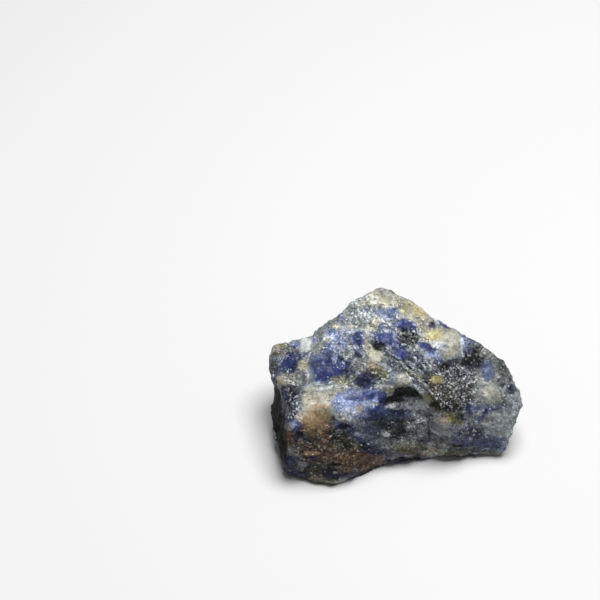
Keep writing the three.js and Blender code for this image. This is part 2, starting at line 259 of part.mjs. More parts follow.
// Splits every edge longer than `limit` at its middle, until none is left.
// `rim` holds the numbers of the rim's points in order, and grows with it.
function splitLongEdges(points, faces, limit, rim) {
  for (let round = 0; round < 12; round++) {
    const middle = new Map();
    const cut = (a, b) => {
      const key = a < b ? a * 1e6 + b : b * 1e6 + a;
      if (middle.has(key)) return middle.get(key);
      const p = points[a], q = points[b];
      if (Math.hypot(p[0] - q[0], p[1] - q[1], p[2] - q[2]) <= limit) return -1;
      points.push([(p[0] + q[0]) / 2, (p[1] + q[1]) / 2, (p[2] + q[2]) / 2]);
      middle.set(key, points.length - 1);
      return points.length - 1;
    };
    const next = [];
    for (const [a, b, c] of faces) {
      const ab = cut(a, b), bc = cut(b, c), ca = cut(c, a);
      const n = (ab >= 0) + (bc >= 0) + (ca >= 0);
      if (n === 0) next.push([a, b, c]);
      else if (n === 3) next.push([a, ab, ca], [ab, b, bc], [ca, bc, c], [ab, bc, ca]);
      else {
        // turn the triangle so that the one cut (or the one uncut) edge leads
        let v = [a, b, c], m = [ab, bc, ca];
        const lead = n === 1 ? m.findIndex((x) => x >= 0) : m.findIndex((x) => x < 0);
        v = [...v.slice(lead), ...v.slice(0, lead)];
        m = [...m.slice(lead), ...m.slice(0, lead)];
        if (n === 1) next.push([v[0], m[0], v[2]], [m[0], v[1], v[2]]);
        else next.push([v[0], v[1], m[1]], [v[0], m[1], m[2]], [m[2], m[1], v[2]]);
      }
    }
    faces = next;
    for (let i = rim.length - 1; i >= 0; i--) {
      const a = rim[i], b = rim[(i + 1) % rim.length];
      const key = a < b ? a * 1e6 + b : b * 1e6 + a;
      if (middle.has(key)) rim.splice(i + 1, 0, middle.get(key));
    }
    if (middle.size === 0) break;
  }
  return faces;
}

// Flips edges where that gives better-shaped triangles on nearly flat ground.
function tidyEdges(points, faces) {
  const sub = (a, b) => [a[0] - b[0], a[1] - b[1], a[2] - b[2]];
  const cross = (a, b) => [a[1] * b[2] - a[2] * b[1], a[2] * b[0] - a[0] * b[2], a[0] * b[1] - a[1] * b[0]];
  const dot = (a, b) => a[0] * b[0] + a[1] * b[1] + a[2] * b[2];
  const unit = (f) => {
    const n = cross(sub(points[f[1]], points[f[0]]), sub(points[f[2]], points[f[0]]));
    const l = Math.hypot(...n) || 1e-12;
    return [n[0] / l, n[1] / l, n[2] / l, l];
  };
  const angle = (p, a, b) => {
    const u = sub(points[a], points[p]), v = sub(points[b], points[p]);
    return Math.acos(Math.max(-1, Math.min(1, dot(u, v) / (Math.hypot(...u) * Math.hypot(...v) || 1e-12))));
  };
  for (let round = 0; round < 6; round++) {
    const sides = new Map();
    faces.forEach((f, n) => {
      for (let i = 0; i < 3; i++) sides.set(f[i] * 1e6 + f[(i + 1) % 3], n);
    });
    const touched = new Set();
    let flips = 0;
    for (let n = 0; n < faces.length; n++) {
      if (touched.has(n)) continue;
      for (let i = 0; i < 3; i++) {
        const a = faces[n][i], b = faces[n][(i + 1) % 3], c = faces[n][(i + 2) % 3];
        const m = sides.get(b * 1e6 + a);
        if (m === undefined || m === n || touched.has(m)) continue;
        const d = faces[m].find((x) => x !== a && x !== b);
        if (sides.has(c * 1e6 + d) || sides.has(d * 1e6 + c)) continue;
        const n1 = unit(faces[n]), n2 = unit(faces[m]);
        if (dot(n1, n2) < 0.9995) continue;
        if (angle(c, a, b) + angle(d, a, b) <= Math.PI + 0.05) continue;
        const f1 = [c, d, b], f2 = [d, c, a];
        const m1 = unit(f1), m2 = unit(f2);
        if (dot(m1, n1) < 0.99 || dot(m2, n1) < 0.99 || m1[3] < 1e-4 || m2[3] < 1e-4) continue;
        faces[n] = f1; faces[m] = f2;
        touched.add(n); touched.add(m);
        flips++;
        break;
      }
    }
    if (!flips) break;
  }
  return faces;
}

// Outward unit normal at every point.
function pointNormals(points, faces) {
  const normals = points.map(() => [0, 0, 0]);
  for (const [a, b, c] of faces) {
    const p = points[a], q = points[b], r = points[c];
    const u = [q[0] - p[0], q[1] - p[1], q[2] - p[2]], v = [r[0] - p[0], r[1] - p[1], r[2] - p[2]];
    const n = [u[1] * v[2] - u[2] * v[1], u[2] * v[0] - u[0] * v[2], u[0] * v[1] - u[1] * v[0]];
    for (const i of [a, b, c]) for (let k = 0; k < 3; k++) normals[i][k] += n[k];
  }
  return normals.map((n) => { const l = Math.hypot(...n) || 1; return n.map((x) => x / l); });
}

function buildStone() {
  const points = CORNERS.map((p) => [...p]);
  const rim = Array.from({ length: RIM_CORNERS }, (_, i) => i);
  let faces = splitLongEdges(points, FACETS.map((f) => [...f]), LONGEST_EDGE, rim);
  faces = tidyEdges(points, faces);
  const onSpot = points.map((p) => p[2] < 1e-9);
  const give = points.map(() => 1);
  for (const i of rim) give[i] = RIM_GIVE;
  const neighbours = points.map(() => new Set());
  for (const f of faces) for (let i = 0; i < 3; i++) {
    neighbours[f[i]].add(f[(i + 1) % 3]);
    neighbours[f[(i + 1) % 3]].add(f[i]);
  }
  // easing: each point moves towards those neighbours that face the same way
  for (let pass = 0; pass < EASING_PASSES; pass++) {
    const normals = pointNormals(points, faces);
    const moved = points.map((p, i) => {
      if (onSpot[i]) return p;
      let w = 0, m = [0, 0, 0];
      for (const j of neighbours[i]) {
        const same = normals[i][0] * normals[j][0] + normals[i][1] * normals[j][1] + normals[i][2] * normals[j][2];
        const k = Math.exp(-(1 - same) / RIDGE_KEEPING);
        w += k;
        for (let a = 0; a < 3; a++) m[a] += k * points[j][a];
      }
      return p.map((x, a) => x + EASING * give[i] * (m[a] / w - x));
    });
    for (let i = 0; i < points.length; i++) points[i] = moved[i];
  }
  // fracture relief
  const normals = pointNormals(points, faces);
  const relief = points.map((p) => CHIP_SIZES.reduce((sum, size, n) => sum + chipHeight(p, size, CHIP_TILTS[n], CHIP_STEPS[n], 11 * n + 1), 0));
  for (let i = 0; i < points.length; i++) {
    if (onSpot[i]) continue;
    const fade = give[i] * Math.min(1, points[i][2] / 1.5);
    for (let a = 0; a < 3; a++) points[i][a] += normals[i][a] * relief[i] * fade;
  }
  // true size: the box is LENGTH x DEPTH x HEIGHT, centred over the origin
  const low = [Infinity, Infinity, Infinity], high = [-Infinity, -Infinity, -Infinity];
  for (const p of points) for (let a = 0; a < 3; a++) { low[a] = Math.min(low[a], p[a]); high[a] = Math.max(high[a], p[a]); }
  const scale = [LENGTH / (high[0] - low[0]), DEPTH / (high[1] - low[1]), HEIGHT / high[2]];
  const position = new Float32Array(points.length * 3);
  points.forEach((p, i) => {
    position[3 * i] = (p[0] - (low[0] + high[0]) / 2) * scale[0];
    position[3 * i + 1] = (p[1] - (low[1] + high[1]) / 2) * scale[1];
    position[3 * i + 2] = onSpot[i] ? 0 : Math.max(GROUND_CLEARANCE, p[2] * scale[2]);
  });
  const geometry = new THREE.BufferGeometry();
  geometry.setAttribute('position', new THREE.BufferAttribute(position, 3));
  geometry.setIndex(faces.flat());
  geometry.computeVertexNormals();
  return geometry;
}

const stone = new THREE.Mesh(
  buildStone(),
  new THREE.MeshStandardMaterial({ color: 0x7a8198, roughness: 0.6, metalness: 0, flatShading: true }),
);
stone.name = 'sodalite_stone';

const roughSodalite = new THREE.Group();
roughSodalite.name = 'rough_sodalite';
roughSodalite.add(stone);

export default roughSodalite;
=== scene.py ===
import math

import bpy
import numpy as np
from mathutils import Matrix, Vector


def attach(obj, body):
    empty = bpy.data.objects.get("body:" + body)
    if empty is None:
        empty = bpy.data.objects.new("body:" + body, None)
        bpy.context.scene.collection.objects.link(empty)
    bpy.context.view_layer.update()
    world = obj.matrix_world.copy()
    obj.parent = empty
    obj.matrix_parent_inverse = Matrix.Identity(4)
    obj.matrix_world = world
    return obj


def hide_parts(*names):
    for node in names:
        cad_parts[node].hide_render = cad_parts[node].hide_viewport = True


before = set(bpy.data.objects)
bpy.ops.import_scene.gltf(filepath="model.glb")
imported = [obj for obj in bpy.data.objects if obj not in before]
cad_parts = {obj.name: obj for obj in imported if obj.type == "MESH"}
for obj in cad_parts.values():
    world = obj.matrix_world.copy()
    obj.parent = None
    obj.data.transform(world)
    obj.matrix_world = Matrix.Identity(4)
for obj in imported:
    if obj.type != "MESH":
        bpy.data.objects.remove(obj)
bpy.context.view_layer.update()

# Blender's own starting objects are no part of the stone.
for name in ("Cube", "Light", "Camera"):
    if name in bpy.data.objects:
        bpy.data.objects.remove(bpy.data.objects[name])

# ---------------------------------------------------------------- constants (mm unless said)
FINE = 5              # each CAD triangle's edge is cut into this many
ROUNDING = 3          # passes that take the CAD triangles' own creases off
# the crystal terms paint glints and shade: single crystals brighter or darker as if each caught the light its own way
GRIT_AND_GLINT = (1.1, 1.5, 0.8, 1.1, 0.35)   # doublings of light: two clouds, two sizes of crystal, and more on the level-lined face
SEED = 20611

# kinds of mineral, one letter each
KINDS = "wcyotrgksbildp"
PALETTE = {
    #     light              middle             dark            (sRGB, 0-255)
    "w": ((224, 229, 229), (184, 188, 190), (138, 143, 152)),   # white to bluish white feldspar
    "c": ((196, 194, 178), (166, 163, 147), (134, 132, 120)),   # cream
    "y": ((206, 197, 154), (174, 162, 112), (136, 126, 84)),    # ochre stain
    "o": ((140, 137, 110), (102, 99, 75), (60, 58, 44)),        # olive brown
    "t": ((176, 152, 122), (137, 113, 84), (94, 75, 55)),       # tan
    "r": ((138, 104, 80), (100, 72, 53), (60, 43, 33)),          # rust
    "g": ((166, 173, 171), (118, 125, 124), (76, 82, 84)),      # grey green
    "k": ((152, 156, 160), (106, 110, 116), (68, 71, 76)),      # clear grey
    "s": ((120, 133, 168), (73, 85, 118), (42, 50, 76)),        # slate blue
    "b": ((88, 104, 160), (44, 57, 112), (22, 31, 76)),        # royal blue
    "i": ((60, 68, 116), (31, 37, 78), (15, 18, 46)),           # indigo
    "l": ((178, 190, 224), (128, 142, 186), (88, 102, 150)),    # lilac
    "d": ((66, 71, 70), (29, 32, 33), (8, 10, 11)),            # black green
    "p": ((126, 112, 150), (84, 72, 106), (50, 44, 72)),         # dull purple
}

# Patches of mineral on the stone, in painter's order: kinds, centre x y z, half sizes across and up,
# turn in degrees, half depth, amount, softness.  Rows with L are veins: kinds, half width, amount,
# softness and then the points that the vein runs through.
# Some rows paint shade, not mineral: the d rows on the left facet, near x = -24.5 to -22, paint a shadow there; the d
# rows in the hollow, near x = -2.5 to 4.5, y = -8.5 to -6, are partly dark mineral and partly painted shadow.
# Some white rows paint light: the white lines near x = -19 to -17, y = 1.5 to -8 paint reflections off cleavage faces,
# and the many small white rows, a few tenths of a millimetre across, are partly white mineral and partly painted
# glints.
PATCHES = """
gk -13.2 1.92 19.43 14.99 11.99 0 9 0.9 0.2
lk -8.84 0.79 20.62 5.97 4.38 0 9 0.75 0.4
sl -15.62 -2.68 17.93 6.76 3.58 8 9 0.8 0.4
ls 1.47 1.68 22.57 4.37 3.18 -35 6 0.6 0.4
sl -1.37 -2.21 20.33 5.15 2.38 -20 7.1 0.6 0.4
gs -15.22 -2.7 17.94 11.93 4.37 0 9 0.6 0.35
gk 6.49 -3.34 20.66 11.85 8.89 0 9 0.9 0.35
kg 14.75 -9.68 8.46 11.98 6.79 0 9 1 0.2
rt -14.26 -15.91 8.99 10.26 5.92 0 9 0.95 0.25
ks -0.29 -10.79 9.12 7.96 5.17 0 9 0.9 0.25
gk 20.71 -5.57 12.84 5.99 9.98 0 9 0.8 0.35
so 11.88 -11.01 4.82 11.03 2.81 0 9 0.5 0.75
c -3.37 10.05 26.28 3 2 -28 5.3 1 0.35
wc -2.96 10.62 26.56 2 1.2 -10 3.7 1 0.35
c -1.99 9.11 26.09 1.6 1 -20 3.1 1 0.35
ck -0.98 9.4 26.08 1 1.4 -10 3.3 0.8 0.35
t -0.79 9.18 26.02 0.32 0.6 10 2 0.5 0.35
c 0.46 10.32 26.02 1.2 0.8 -10 2.8 1 0.35
wc 1.87 10.27 25.78 1.4 0.52 -14 3.3 1 0.35
oy 1.42 8.94 25.69 1.2 0.4 -10 3.1 0.8 0.35
yc 3.03 8.35 24.87 1.8 1 -15 4.3 1 0.75
c 5.09 8.98 24.23 1.2 1 -35 2.9 1 0.35
w 1.2 8 25.22 0.44 0.9 28 2 0.9 0.35
wc 4.02 7.55 24.25 1.8 0.6 -12 4.5 1 0.35
yc 2.58 6.73 24.51 1.6 0.8 -15 3.9 0.8 0.75
yc 6.05 7.57 23.66 1.6 0.8 -25 4.9 1 0.75
c 4.77 6.1 24.02 2.4 0.8 -20 5.2 1 0.35
wc 7.66 7.07 23.03 1.6 0.6 -25 5.5 1 0.35
k 5.97 5.86 23.69 1 0.2 -8 2.4 0.7 0.35
cg 5.55 4.87 23.27 1.8 0.8 -10 4.1 1 0.35
ck 0.18 7.17 24.92 0.8 1.2 -45 2.3 0.8 0.35
w 0.97 6.47 24.5 0.24 0.8 30 2 0.9 0.35
Lw 0.13 1 0.5 -6.32 11.54 25.37 -5.36 9.85 25.78 -4.38 8.94 25.69 -3.39 8.4 25.53 -2.61 7.73 25.5
p 7.18 5.37 23.05 0.52 0.56 0 1.7 1 0.35
yc 8.15 3.76 22.13 2.2 1.4 0 5.3 1 0.75
y 7.49 2.57 22.22 1.39 0.7 0 3.3 0.8 0.75
y 8.94 3.62 21.99 1.4 0.9 0 3.7 0.8 0.75
c 5.71 3.48 22.71 1 1 0 2.4 0.8 0.35
w 4.89 2.74 22.62 0.5 1 0 2.5 0.8 0.35
wl 6.82 0.86 21.99 1.99 0.89 -22 4 1 0.35
wc 9.03 0.42 21.01 1.79 1.19 0 3.6 0.9 0.35
c 11.19 3.63 21.11 2 1.6 0 4.1 1 0.35
cg 10.91 1.69 20.54 1.99 1.6 0 4 1 0.35
g 11.74 2.13 20.37 0.8 1 0 2.5 0.5 0.35
w 9.25 1.04 21.22 0.8 0.6 0 2.1 0.7 0.35
Lw 0.12 0.9 0.5 12.23 4.04 20.68 12.6 2.89 20.16 12.94 1.29 19.52 13.11 0.33 19.08
Ls 0.1 0.8 0.5 8.87 1.93 21.73 9.68 1.76 21.33 10.3 1.86 20.94
lb 10.32 6.76 21.62 1.1 0.6 -18 3.3 1 0.75
b 10.29 6.19 21.63 0.95 0.43 -18 3.2 1 0.35
l 11.74 6.47 21.06 1 0.44 -25 3.2 0.8 0.35
s 12.56 6.29 20.67 0.66 0.35 -20 2.5 0.8 0.35
wl 13.57 5.91 20.19 0.48 0.4 0 2.1 1 0.35
lk 13.84 3.12 19.62 0.9 1.6 5 3.7 1 0.75
l 13.83 2.77 19.41 0.6 1 0 2.9 0.7 0.75
Li 0.11 0.9 0.5 13.73 5.03 19.95 14.28 3.86 19.72 14.91 3.34 18.81
d 14.97 5.01 19.39 1 0.48 -35 3 1 0.35
di 16.19 4.43 18.54 1.21 0.8 -30 2.8 1 0.35
i 15.11 3.11 18.48 0.69 0.69 0 2.2 1 0.75
w 15.54 3.5 18.35 0.3 0.24 0 1.5 1 0.35
kt 17.2 4.04 18.08 0.8 0.6 -35 1.7 0.8 0.35
g 17.99 3.37 17.61 0.6 0.4 -35 1.6 1 0.35
g -7.74 9.07 23.28 3.02 3.02 0 5.2 1 0.35
gk -6.73 10.14 24.21 2.01 1.21 20 3.7 0.8 0.35
g -8.76 7.04 22.19 2.81 1.81 0 4.8 1 0.35
w -6.14 9.93 24.7 0.52 0.6 0 2.6 0.7 0.35
w -7.53 9.4 23.52 0.26 0.24 0 1.4 1 0.35
Lw 0.07 1 0.5 -7.95 8.13 22.81 -7.14 8.76 23.32
w -5.95 8.29 23.51 0.44 0.3 0 1.6 1 0.35
w -8.54 8.56 22.8 0.48 0.3 0 1.7 1 0.35
w -9.53 9.14 22.65 0.22 0.22 0 1.4 1 0.35
w -7.37 6.59 22.37 0.24 0.16 0 1.3 1 0.35
w -5.38 6.64 23.18 0.24 0.2 0 1.3 1 0.35
w -3.99 6.25 23.3 0.18 0.18 0 1.2 1 0.35
w -6.92 10.92 24.56 0.3 0.16 0 1.4 0.7 0.35
sp -10.74 8.63 22.01 0.89 0.44 -25 2.5 0.9 0.35
s -10.75 7.49 21.74 0.44 0.57 0 1.8 0.8 0.35
wc -8.58 5.61 21.95 1.1 0.6 -18 3 1 0.35
yw -12.16 6.84 21.4 0.9 0.3 -12 2.4 1 0.35
g -12.75 7.78 21.15 1.21 0.6 25 4.3 0.7 0.35
kg -14.77 6.17 19.92 1.61 0.91 28 4.9 1 0.35
ks -13.97 5.27 20.28 0.8 0.6 0 2.3 0.6 0.35
s -5.17 8.2 24.45 1.1 0.4 0 3 1 0.35
s -3.6 7.49 24.89 1.76 0.44 0 3.1 1 0.35
sb -1.42 7 25.1 1.1 0.88 -40 2 1 0.75
s -0.82 6.63 24.62 0.99 1.1 -45 2.3 1 0.75
s -0.43 6 24.12 0.66 0.66 -45 1.9 0.8 0.75
bs -1.22 7.32 25.34 0.71 0.47 -40 1.7 1 0.35
l -4 7.23 24.44 1.4 0.36 -5 2.8 1 0.35
lw -2.02 6.7 24.84 1 0.3 -20 1.8 1 0.35
l -2.62 7.14 25.09 0.6 0.2 0 1.8 0.7 0.35
ck -4.4 5.89 23.09 1.8 1.3 0 3.2 1 0.35
c -4.81 5.1 22.75 1.2 0.8 0 2.7 0.6 0.35
Lw 0.11 1 0.5 -4.98 7.7 24.1 -3.99 6.81 23.87 -2.81 6.07 23.62
Lw 0.11 1 0.5 -2.62 6.51 24.59 -1.82 6.22 24.04 -1.21 5.78 23.49
Lw 0.08 0.8 0.5 -1.02 5.72 23.55 -0.45 4.73 23.42 -0.08 3.69 23.35
gl -2.01 6.05 23.78 1 0.44 -35 2.1 0.8 0.35
s -2.41 5.46 23.24 0.77 0.44 0 2 1 0.35
sd -2.62 4.89 22.97 0.48 0.26 0 1.6 1 0.35
gl -1.43 4.75 23.11 1 0.8 0 2.4 0.8 0.35
s -0.44 4.95 23.48 0.53 0.53 0 1.8 0.8 0.35
w -2.05 3.93 22.81 0.8 0.32 -42 2.2 1 0.35
Lb 0.08 1 0.5 -2.63 4.44 22.86 -2.05 3.71 22.75 -1.67 3.01 22.62
l -2.73 4.57 22.87 0.4 0.28 0 1.6 1 0.35
sl 0.33 4.62 23.81 0.88 1.1 0 2.9 0.8 0.75
Lb 0.33 1 0.5 -0.04 5.43 23.85 0.94 4.93 23.93 1.92 4.46 23.98 2.9 3.96 23.79 3.8 3.48 23.28
i 2.31 4.33 23.97 0.69 0.37 -20 2 0.8 0.35
i 3.5 3.67 23.51 0.5 0.46 -40 1.6 0.9 0.35
bl 0.71 3.98 23.76 0.94 0.56 -10 2.1 0.7 0.35
dg 2.27 2.17 22.92 2.19 1.59 0 3.7 1 0.35
d 3.06 1.85 22.67 1.19 0.89 0 2.6 0.9 0.35
d 1.69 3.22 23.55 0.8 0.48 -20 2.1 0.7 0.35
d 2.24 0.69 22.17 0.6 0.26 -15 1.8 1 0.35
w 0.89 2.79 23.13 0.22 0.18 0 1.3 0.95 0.6
w 1.08 2.16 22.78 0.24 0.19 0 1.3 0.95 0.6
w 0.49 2 22.52 0.2 0.16 0 1.2 0.95 0.6
w 1.37 1.69 22.55 0.24 0.19 0 1.3 0.95 0.6
w 2.38 2.87 23.34 0.22 0.17 0 1.2 0.95 0.6
w 3.18 2.92 23.14 0.2 0.16 0 1.2 0.95 0.6
w 1.96 1.97 22.84 0.18 0.14 0 1.2 0.95 0.6
w 1.68 2.51 23.14 0.18 0.14 0 1.2 0.95 0.6
w 0.87 1.31 22.23 0.22 0.17 0 1.3 0.95 0.6
w 2.45 1.38 22.45 0.18 0.14 0 1.2 0.95 0.6
w 3.44 1.01 22.34 0.32 0.25 0 1.4 0.95 0.6
w 2.87 2.21 22.88 0.16 0.13 0 1.2 0.95 0.6
w 0.2 2.57 22.78 0.2 0.16 0 1.2 0.95 0.6
wl 4 3.72 23.32 0.3 1 12 2.3 1 0.35
kt 4.27 2.22 22.57 0.32 0.8 10 2.2 0.8 0.35
Lwl 0.08 0.8 0.5 1.67 1.99 22.82 2.84 1.04 22.37 4.2 0.14 22.16
gl 3.01 0 22.02 0.79 0.59 -30 2 0.8 0.35
w 3.81 0.37 22.22 0.59 0.28 -30 1.8 1 0.35
b -2.09 2.1 22.42 1.88 1.06 -28 3.7 1 0.75
b -1.11 1.13 21.99 1.17 0.94 -20 2.5 1 0.75
bs -3.06 3.1 22.52 0.94 0.56 0 2.5 1 0.35
sl -0.49 2.47 22.61 0.77 0.66 0 2 0.8 0.75
l -2.11 1.17 21.95 0.79 0.32 -30 1.9 0.7 0.35
wl -1.13 0.17 21.56 0.6 0.4 0 1.7 0.8 0.35
b 1.04 -0.34 21.52 1.52 1.29 -10 2.9 1 0.75
b 1.21 -1.36 21.16 1.05 0.84 0 2.5 0.9 0.75
bl 0.26 0.29 21.72 0.94 0.7 0 2.2 0.7 0.75
sg 2.6 -0.75 21.67 0.76 0.65 0 1.9 0.8 0.75
c -6.25 1.8 21.58 0.72 1.59 -12 3.3 0.9 0.35
b -7.42 3.21 21.55 1.46 1.3 0 4.2 1 0.75
i -7.43 2.29 21.36 1.19 0.92 0 2.7 0.9 0.75
bl -7.8 3.97 21.63 0.71 0.47 0 2.2 0.5 0.35
g -9.19 3.81 20.93 0.8 1 0 1.9 0.7 0.35
pl -4.46 2.61 22.17 0.64 0.44 0 1.9 1 0.35
p -3.66 2.74 22.32 0.44 0.24 0 1.7 1 0.35
l -4.67 1.99 21.96 0.4 0.3 0 1.6 0.8 0.35
ds -3.69 1.03 21.8 1.69 0.89 -8 3 1 0.35
d -3.5 0.71 21.57 1.29 0.5 -10 2.3 1 0.35
d -2.31 0.43 21.57 0.52 0.4 0 1.6 1 0.35
Lwl 0.06 0.8 0.5 -3.48 2.01 22.22 -2.7 1.34 22.06 -1.91 0.78 21.78
wl -8.24 1.39 20.86 0.6 0.4 0 1.8 1 0.35
sb -7.05 0.92 20.77 0.66 0.66 0 1.8 1 0.75
k -9.24 0.44 20.41 1.59 0.99 0 3.3 0.6 0.35
c -5.48 0.22 20.93 0.79 0.99 -35 2.3 1 0.35
c -4.31 -1.08 20.57 1.19 1.09 -40 2.3 1 0.35
wc -4.7 -0.67 20.71 0.6 0.79 -40 2 0.8 0.35
c -3.73 -1.84 20.22 0.79 0.59 0 1.9 0.8 0.35
wc -5.12 -2.38 19.93 0.48 0.4 0 1.6 1 0.35
og -4.33 -1.99 20.09 0.36 0.28 0 1.4 0.7 0.35
is -7.67 -0.5 20.25 0.73 0.5 -15 2 1 0.35
d -6.09 -0.96 20.15 0.32 0.24 0 1.5 1 0.35
bs -7.86 0.35 20.51 0.94 0.47 0 2.3 0.8 0.35
k -6.89 -1.96 19.77 0.99 0.6 0 2.6 0.7 0.35
sd -8.49 -2.49 19.47 1.09 0.35 0 2.6 0.8 0.35
gk -2.55 -2.59 19.86 0.99 0.99 0 2.1 0.7 0.35
gs -1.17 -2.44 20.28 0.79 0.79 0 2.1 0.7 0.35
wc -17.99 4.71 18.25 1.31 1.51 10 4.1 1 0.35
w -18.59 3.86 17.97 0.8 0.8 0 2.4 0.8 0.35
l -20 5.43 17.64 0.81 0.44 -10 2.2 1 0.35
ps -20.4 4.92 17.45 0.6 0.22 -45 2 0.9 0.35
wl -19.4 4.12 17.71 0.6 0.48 0 2.1 1 0.35
l -16.58 5.33 18.91 0.56 0.56 0 2.5 1 0.75
w -16.18 5.53 19.29 0.24 0.24 0 1.7 1 0.35
oc -23.43 4.89 16.89 1.61 1.11 15 4.4 1 0.35
c -22.42 5.13 17.22 0.81 0.5 0 2.5 0.7 0.35
oc -23.42 3.12 17 1.41 0.64 0 3.6 1 0.35
t -23.21 2.41 16.88 1 0.28 0 2.6 0.7 0.35
gw -21.01 3.82 17.43 1.01 0.6 0 3.2 0.8 0.35
gc -15.59 3.19 18.97 1.6 1.2 0 3.8 1 0.35
w -15.98 4.24 19.03 0.2 0.16 0 1.3 1 0.35
c -14.98 3.32 19.12 0.28 0.2 0 1.5 0.8 0.35
w -16.59 2.53 18.5 0.6 0.2 30 2.3 1 0.35
Lw 0.09 1 0.5 -17.29 1.98 18.2 -16.59 2.3 18.51 -15.79 2.47 18.86
wc -13.58 4.33 20.1 1 0.9 0 2.1 1 0.35
w -13.78 3.95 19.77 0.6 0.32 -15 1.7 1 0.35
s -12.97 5.94 20.74 0.99 0.57 0 2.4 1 0.75
sb -11.97 5.26 20.86 0.44 0.66 0 1.9 0.8 0.35
l -12.97 5.14 20.41 0.6 0.4 0 1.9 0.6 0.35
lk -10.78 4.71 21.15 1.3 1.1 0 2.8 1 0.75
lk -10 3.62 20.83 0.9 0.9 0 2.3 0.8 0.75
w -9.78 5.52 21.75 0.6 0.28 0 2 0.8 0.35
lw -12.2 2.25 19.95 1 0.72 0 2.7 1 0.75
w -12.19 2.95 20.09 0.4 0.3 0 1.7 0.8 0.35
s -11.6 2.79 20.25 0.35 0.44 0 1.7 0.8 0.35
w -8.92 2.1 20.69 0.24 0.2 0 1.5 1 0.35
kl -10.23 1.03 20.37 1.2 0.6 0 2.7 0.7 0.35
s -15 0.71 18.67 2.42 1.98 0 4.8 1 0.75
sk -16 -0.44 18.45 1.54 1.32 0 3.5 0.5 0.75
s -13.6 1.59 19.2 1.54 0.88 0 3.6 0.8 0.75
b -13.03 -2.14 18.22 2.58 1.64 0 4.7 0.95 0.75
b -14.83 -3.25 17.95 1.64 0.94 0 4.5 0.9 0.75
i -13.63 -2.57 18.1 1.37 0.91 0 3.3 0.85 0.75
i -11.85 -2.92 18.32 1.37 0.68 -8 3.2 1 0.75
b -12.63 -1.23 18.7 1.17 0.7 0 2.4 0.9 0.75
bs -14.84 -4.82 18.05 2.1 0.93 0 5.1 1 0.75
i -14.44 -4.18 18.08 0.68 0.32 0 2.4 0.6 0.35
l -12.22 0.07 19.36 0.52 1.59 4 3.4 1 0.25
lw -12.41 0.75 19.5 0.3 0.8 0 2.1 0.7 0.35
l -15.42 -2.69 17.93 0.68 0.36 42 2 1 0.35
l -14.92 -2.15 18.09 0.32 0.28 0 1.4 1 0.35
w -14.31 -1.16 18.34 0.28 0.22 0 1.4 1 0.35
l -12.04 -2.09 18.45 0.26 0.24 0 1.4 1 0.35
l -11.24 -1.12 19.16 0.24 0.48 20 1.7 1 0.35
l -12.63 -1.58 18.49 0.26 0.18 0 1.3 1 0.35
w -17.01 -2.29 17.65 0.18 0.16 0 1.3 1 0.35
is -10.05 -1.39 19.46 1.26 0.8 0 2.7 1 0.75
si -10.27 -2.64 19.04 1.09 0.87 0 2.8 0.8 0.75
w -10.44 -0.14 19.86 0.24 0.32 0 1.5 0.8 0.35
gk -9.25 0.03 20.27 0.99 0.8 0 2.3 0.6 0.35
sl -15.83 -5.95 17.97 1.3 0.52 0 4.3 0.8 0.35
sg -14.45 -6 18.01 1.3 0.43 0 3.6 0.6 0.35
w -24.02 1.94 15.91 0.36 0.4 0 1.7 1 0.35
gl -22.6 1.01 16.61 0.8 0.8 0 2.6 0.6 0.35
s -22.3 1.45 17.02 0.88 1.1 0 2.7 1 0.75
b -21 1.7 17.34 0.95 1.18 0 3 1 0.75
ib -20.99 0.08 17.01 0.64 1.15 5 2.8 1 0.75
i -20.79 -0.43 16.97 0.41 0.55 0 1.9 1 0.35
w -22 -0.06 16.57 0.28 0.4 0 1.6 1 0.35
sg -21.59 -1.02 16.43 1.32 0.53 0 3.4 0.8 0.35
ik -24.22 0.81 14.47 1.27 2.08 0 7.1 1 0.75
wp -24.23 1.25 14.73 0.22 0.18 0 1.4 0.85 0.6
wp -24.02 0.37 14.5 0.22 0.18 0 1.3 0.85 0.6
wp -24.22 -0.18 13.91 0.22 0.18 0 1.4 0.85 0.6
wp -23.41 0.49 15.4 0.22 0.18 0 1.7 0.85 0.6
wp -24.63 0.76 13.64 0.22 0.18 0 1.6 0.85 0.6
wp -23.61 1.28 15.73 0.22 0.18 0 1.4 0.85 0.6
wp -24.84 2.06 14.31 0.22 0.18 0 1.6 0.85 0.6
yc -18.4 -0.82 17.68 1.4 1.3 0 3.4 1 0.75
y -18 -1.18 17.78 0.8 0.6 0 2.2 0.7 0.75
Lw 0.11 1 0.5 -18.89 0 17.54 -18.3 -1.21 17.66
Lw 0.09 1 0.5 -17.99 0.29 17.81 -17.3 0.67 18.14 -16.89 1.3 18.34
p -19.69 -0.21 17.33 0.2 0.8 0 2.3 0.7 0.35
w -19.8 1.84 17.34 0.32 0.22 30 1.6 1 0.35
kl -18.39 1.86 17.75 0.6 0.48 0 2 0.7 0.35
w -19.09 2.79 17.65 0.2 0.28 0 1.5 1 0.35
gc -23 -1.36 15.33 1 1 0 4 1 0.35
w -21.79 -2.53 16.3 0.2 0.44 -10 2.1 1 0.35
oc -22.38 -3.79 16.05 1.59 0.8 0 4.2 1 0.35
o -21.18 -4.7 16.6 0.79 0.48 0 2.5 0.7 0.35
tp -20.79 -2.88 16.68 1.19 0.8 0 3.3 0.9 0.35
oc -20.39 -1.94 16.83 1 0.6 0 2.9 0.7 0.35
g -18.6 -3.14 17.26 0.99 1.39 0 3.4 1 0.35
kp -18.2 -5.44 17.4 0.71 1.07 0 3.3 0.9 0.35
Lw 0.08 0.9 0.5 -18.4 -2.47 17.41 -17.61 -3.61 17.46 -17.41 -5.35 17.6 -17.02 -6.97 17.9 -18.01 -7.63 17.75
w -17.7 -3.34 17.47 0.28 0.2 -30 1.5 1 0.35
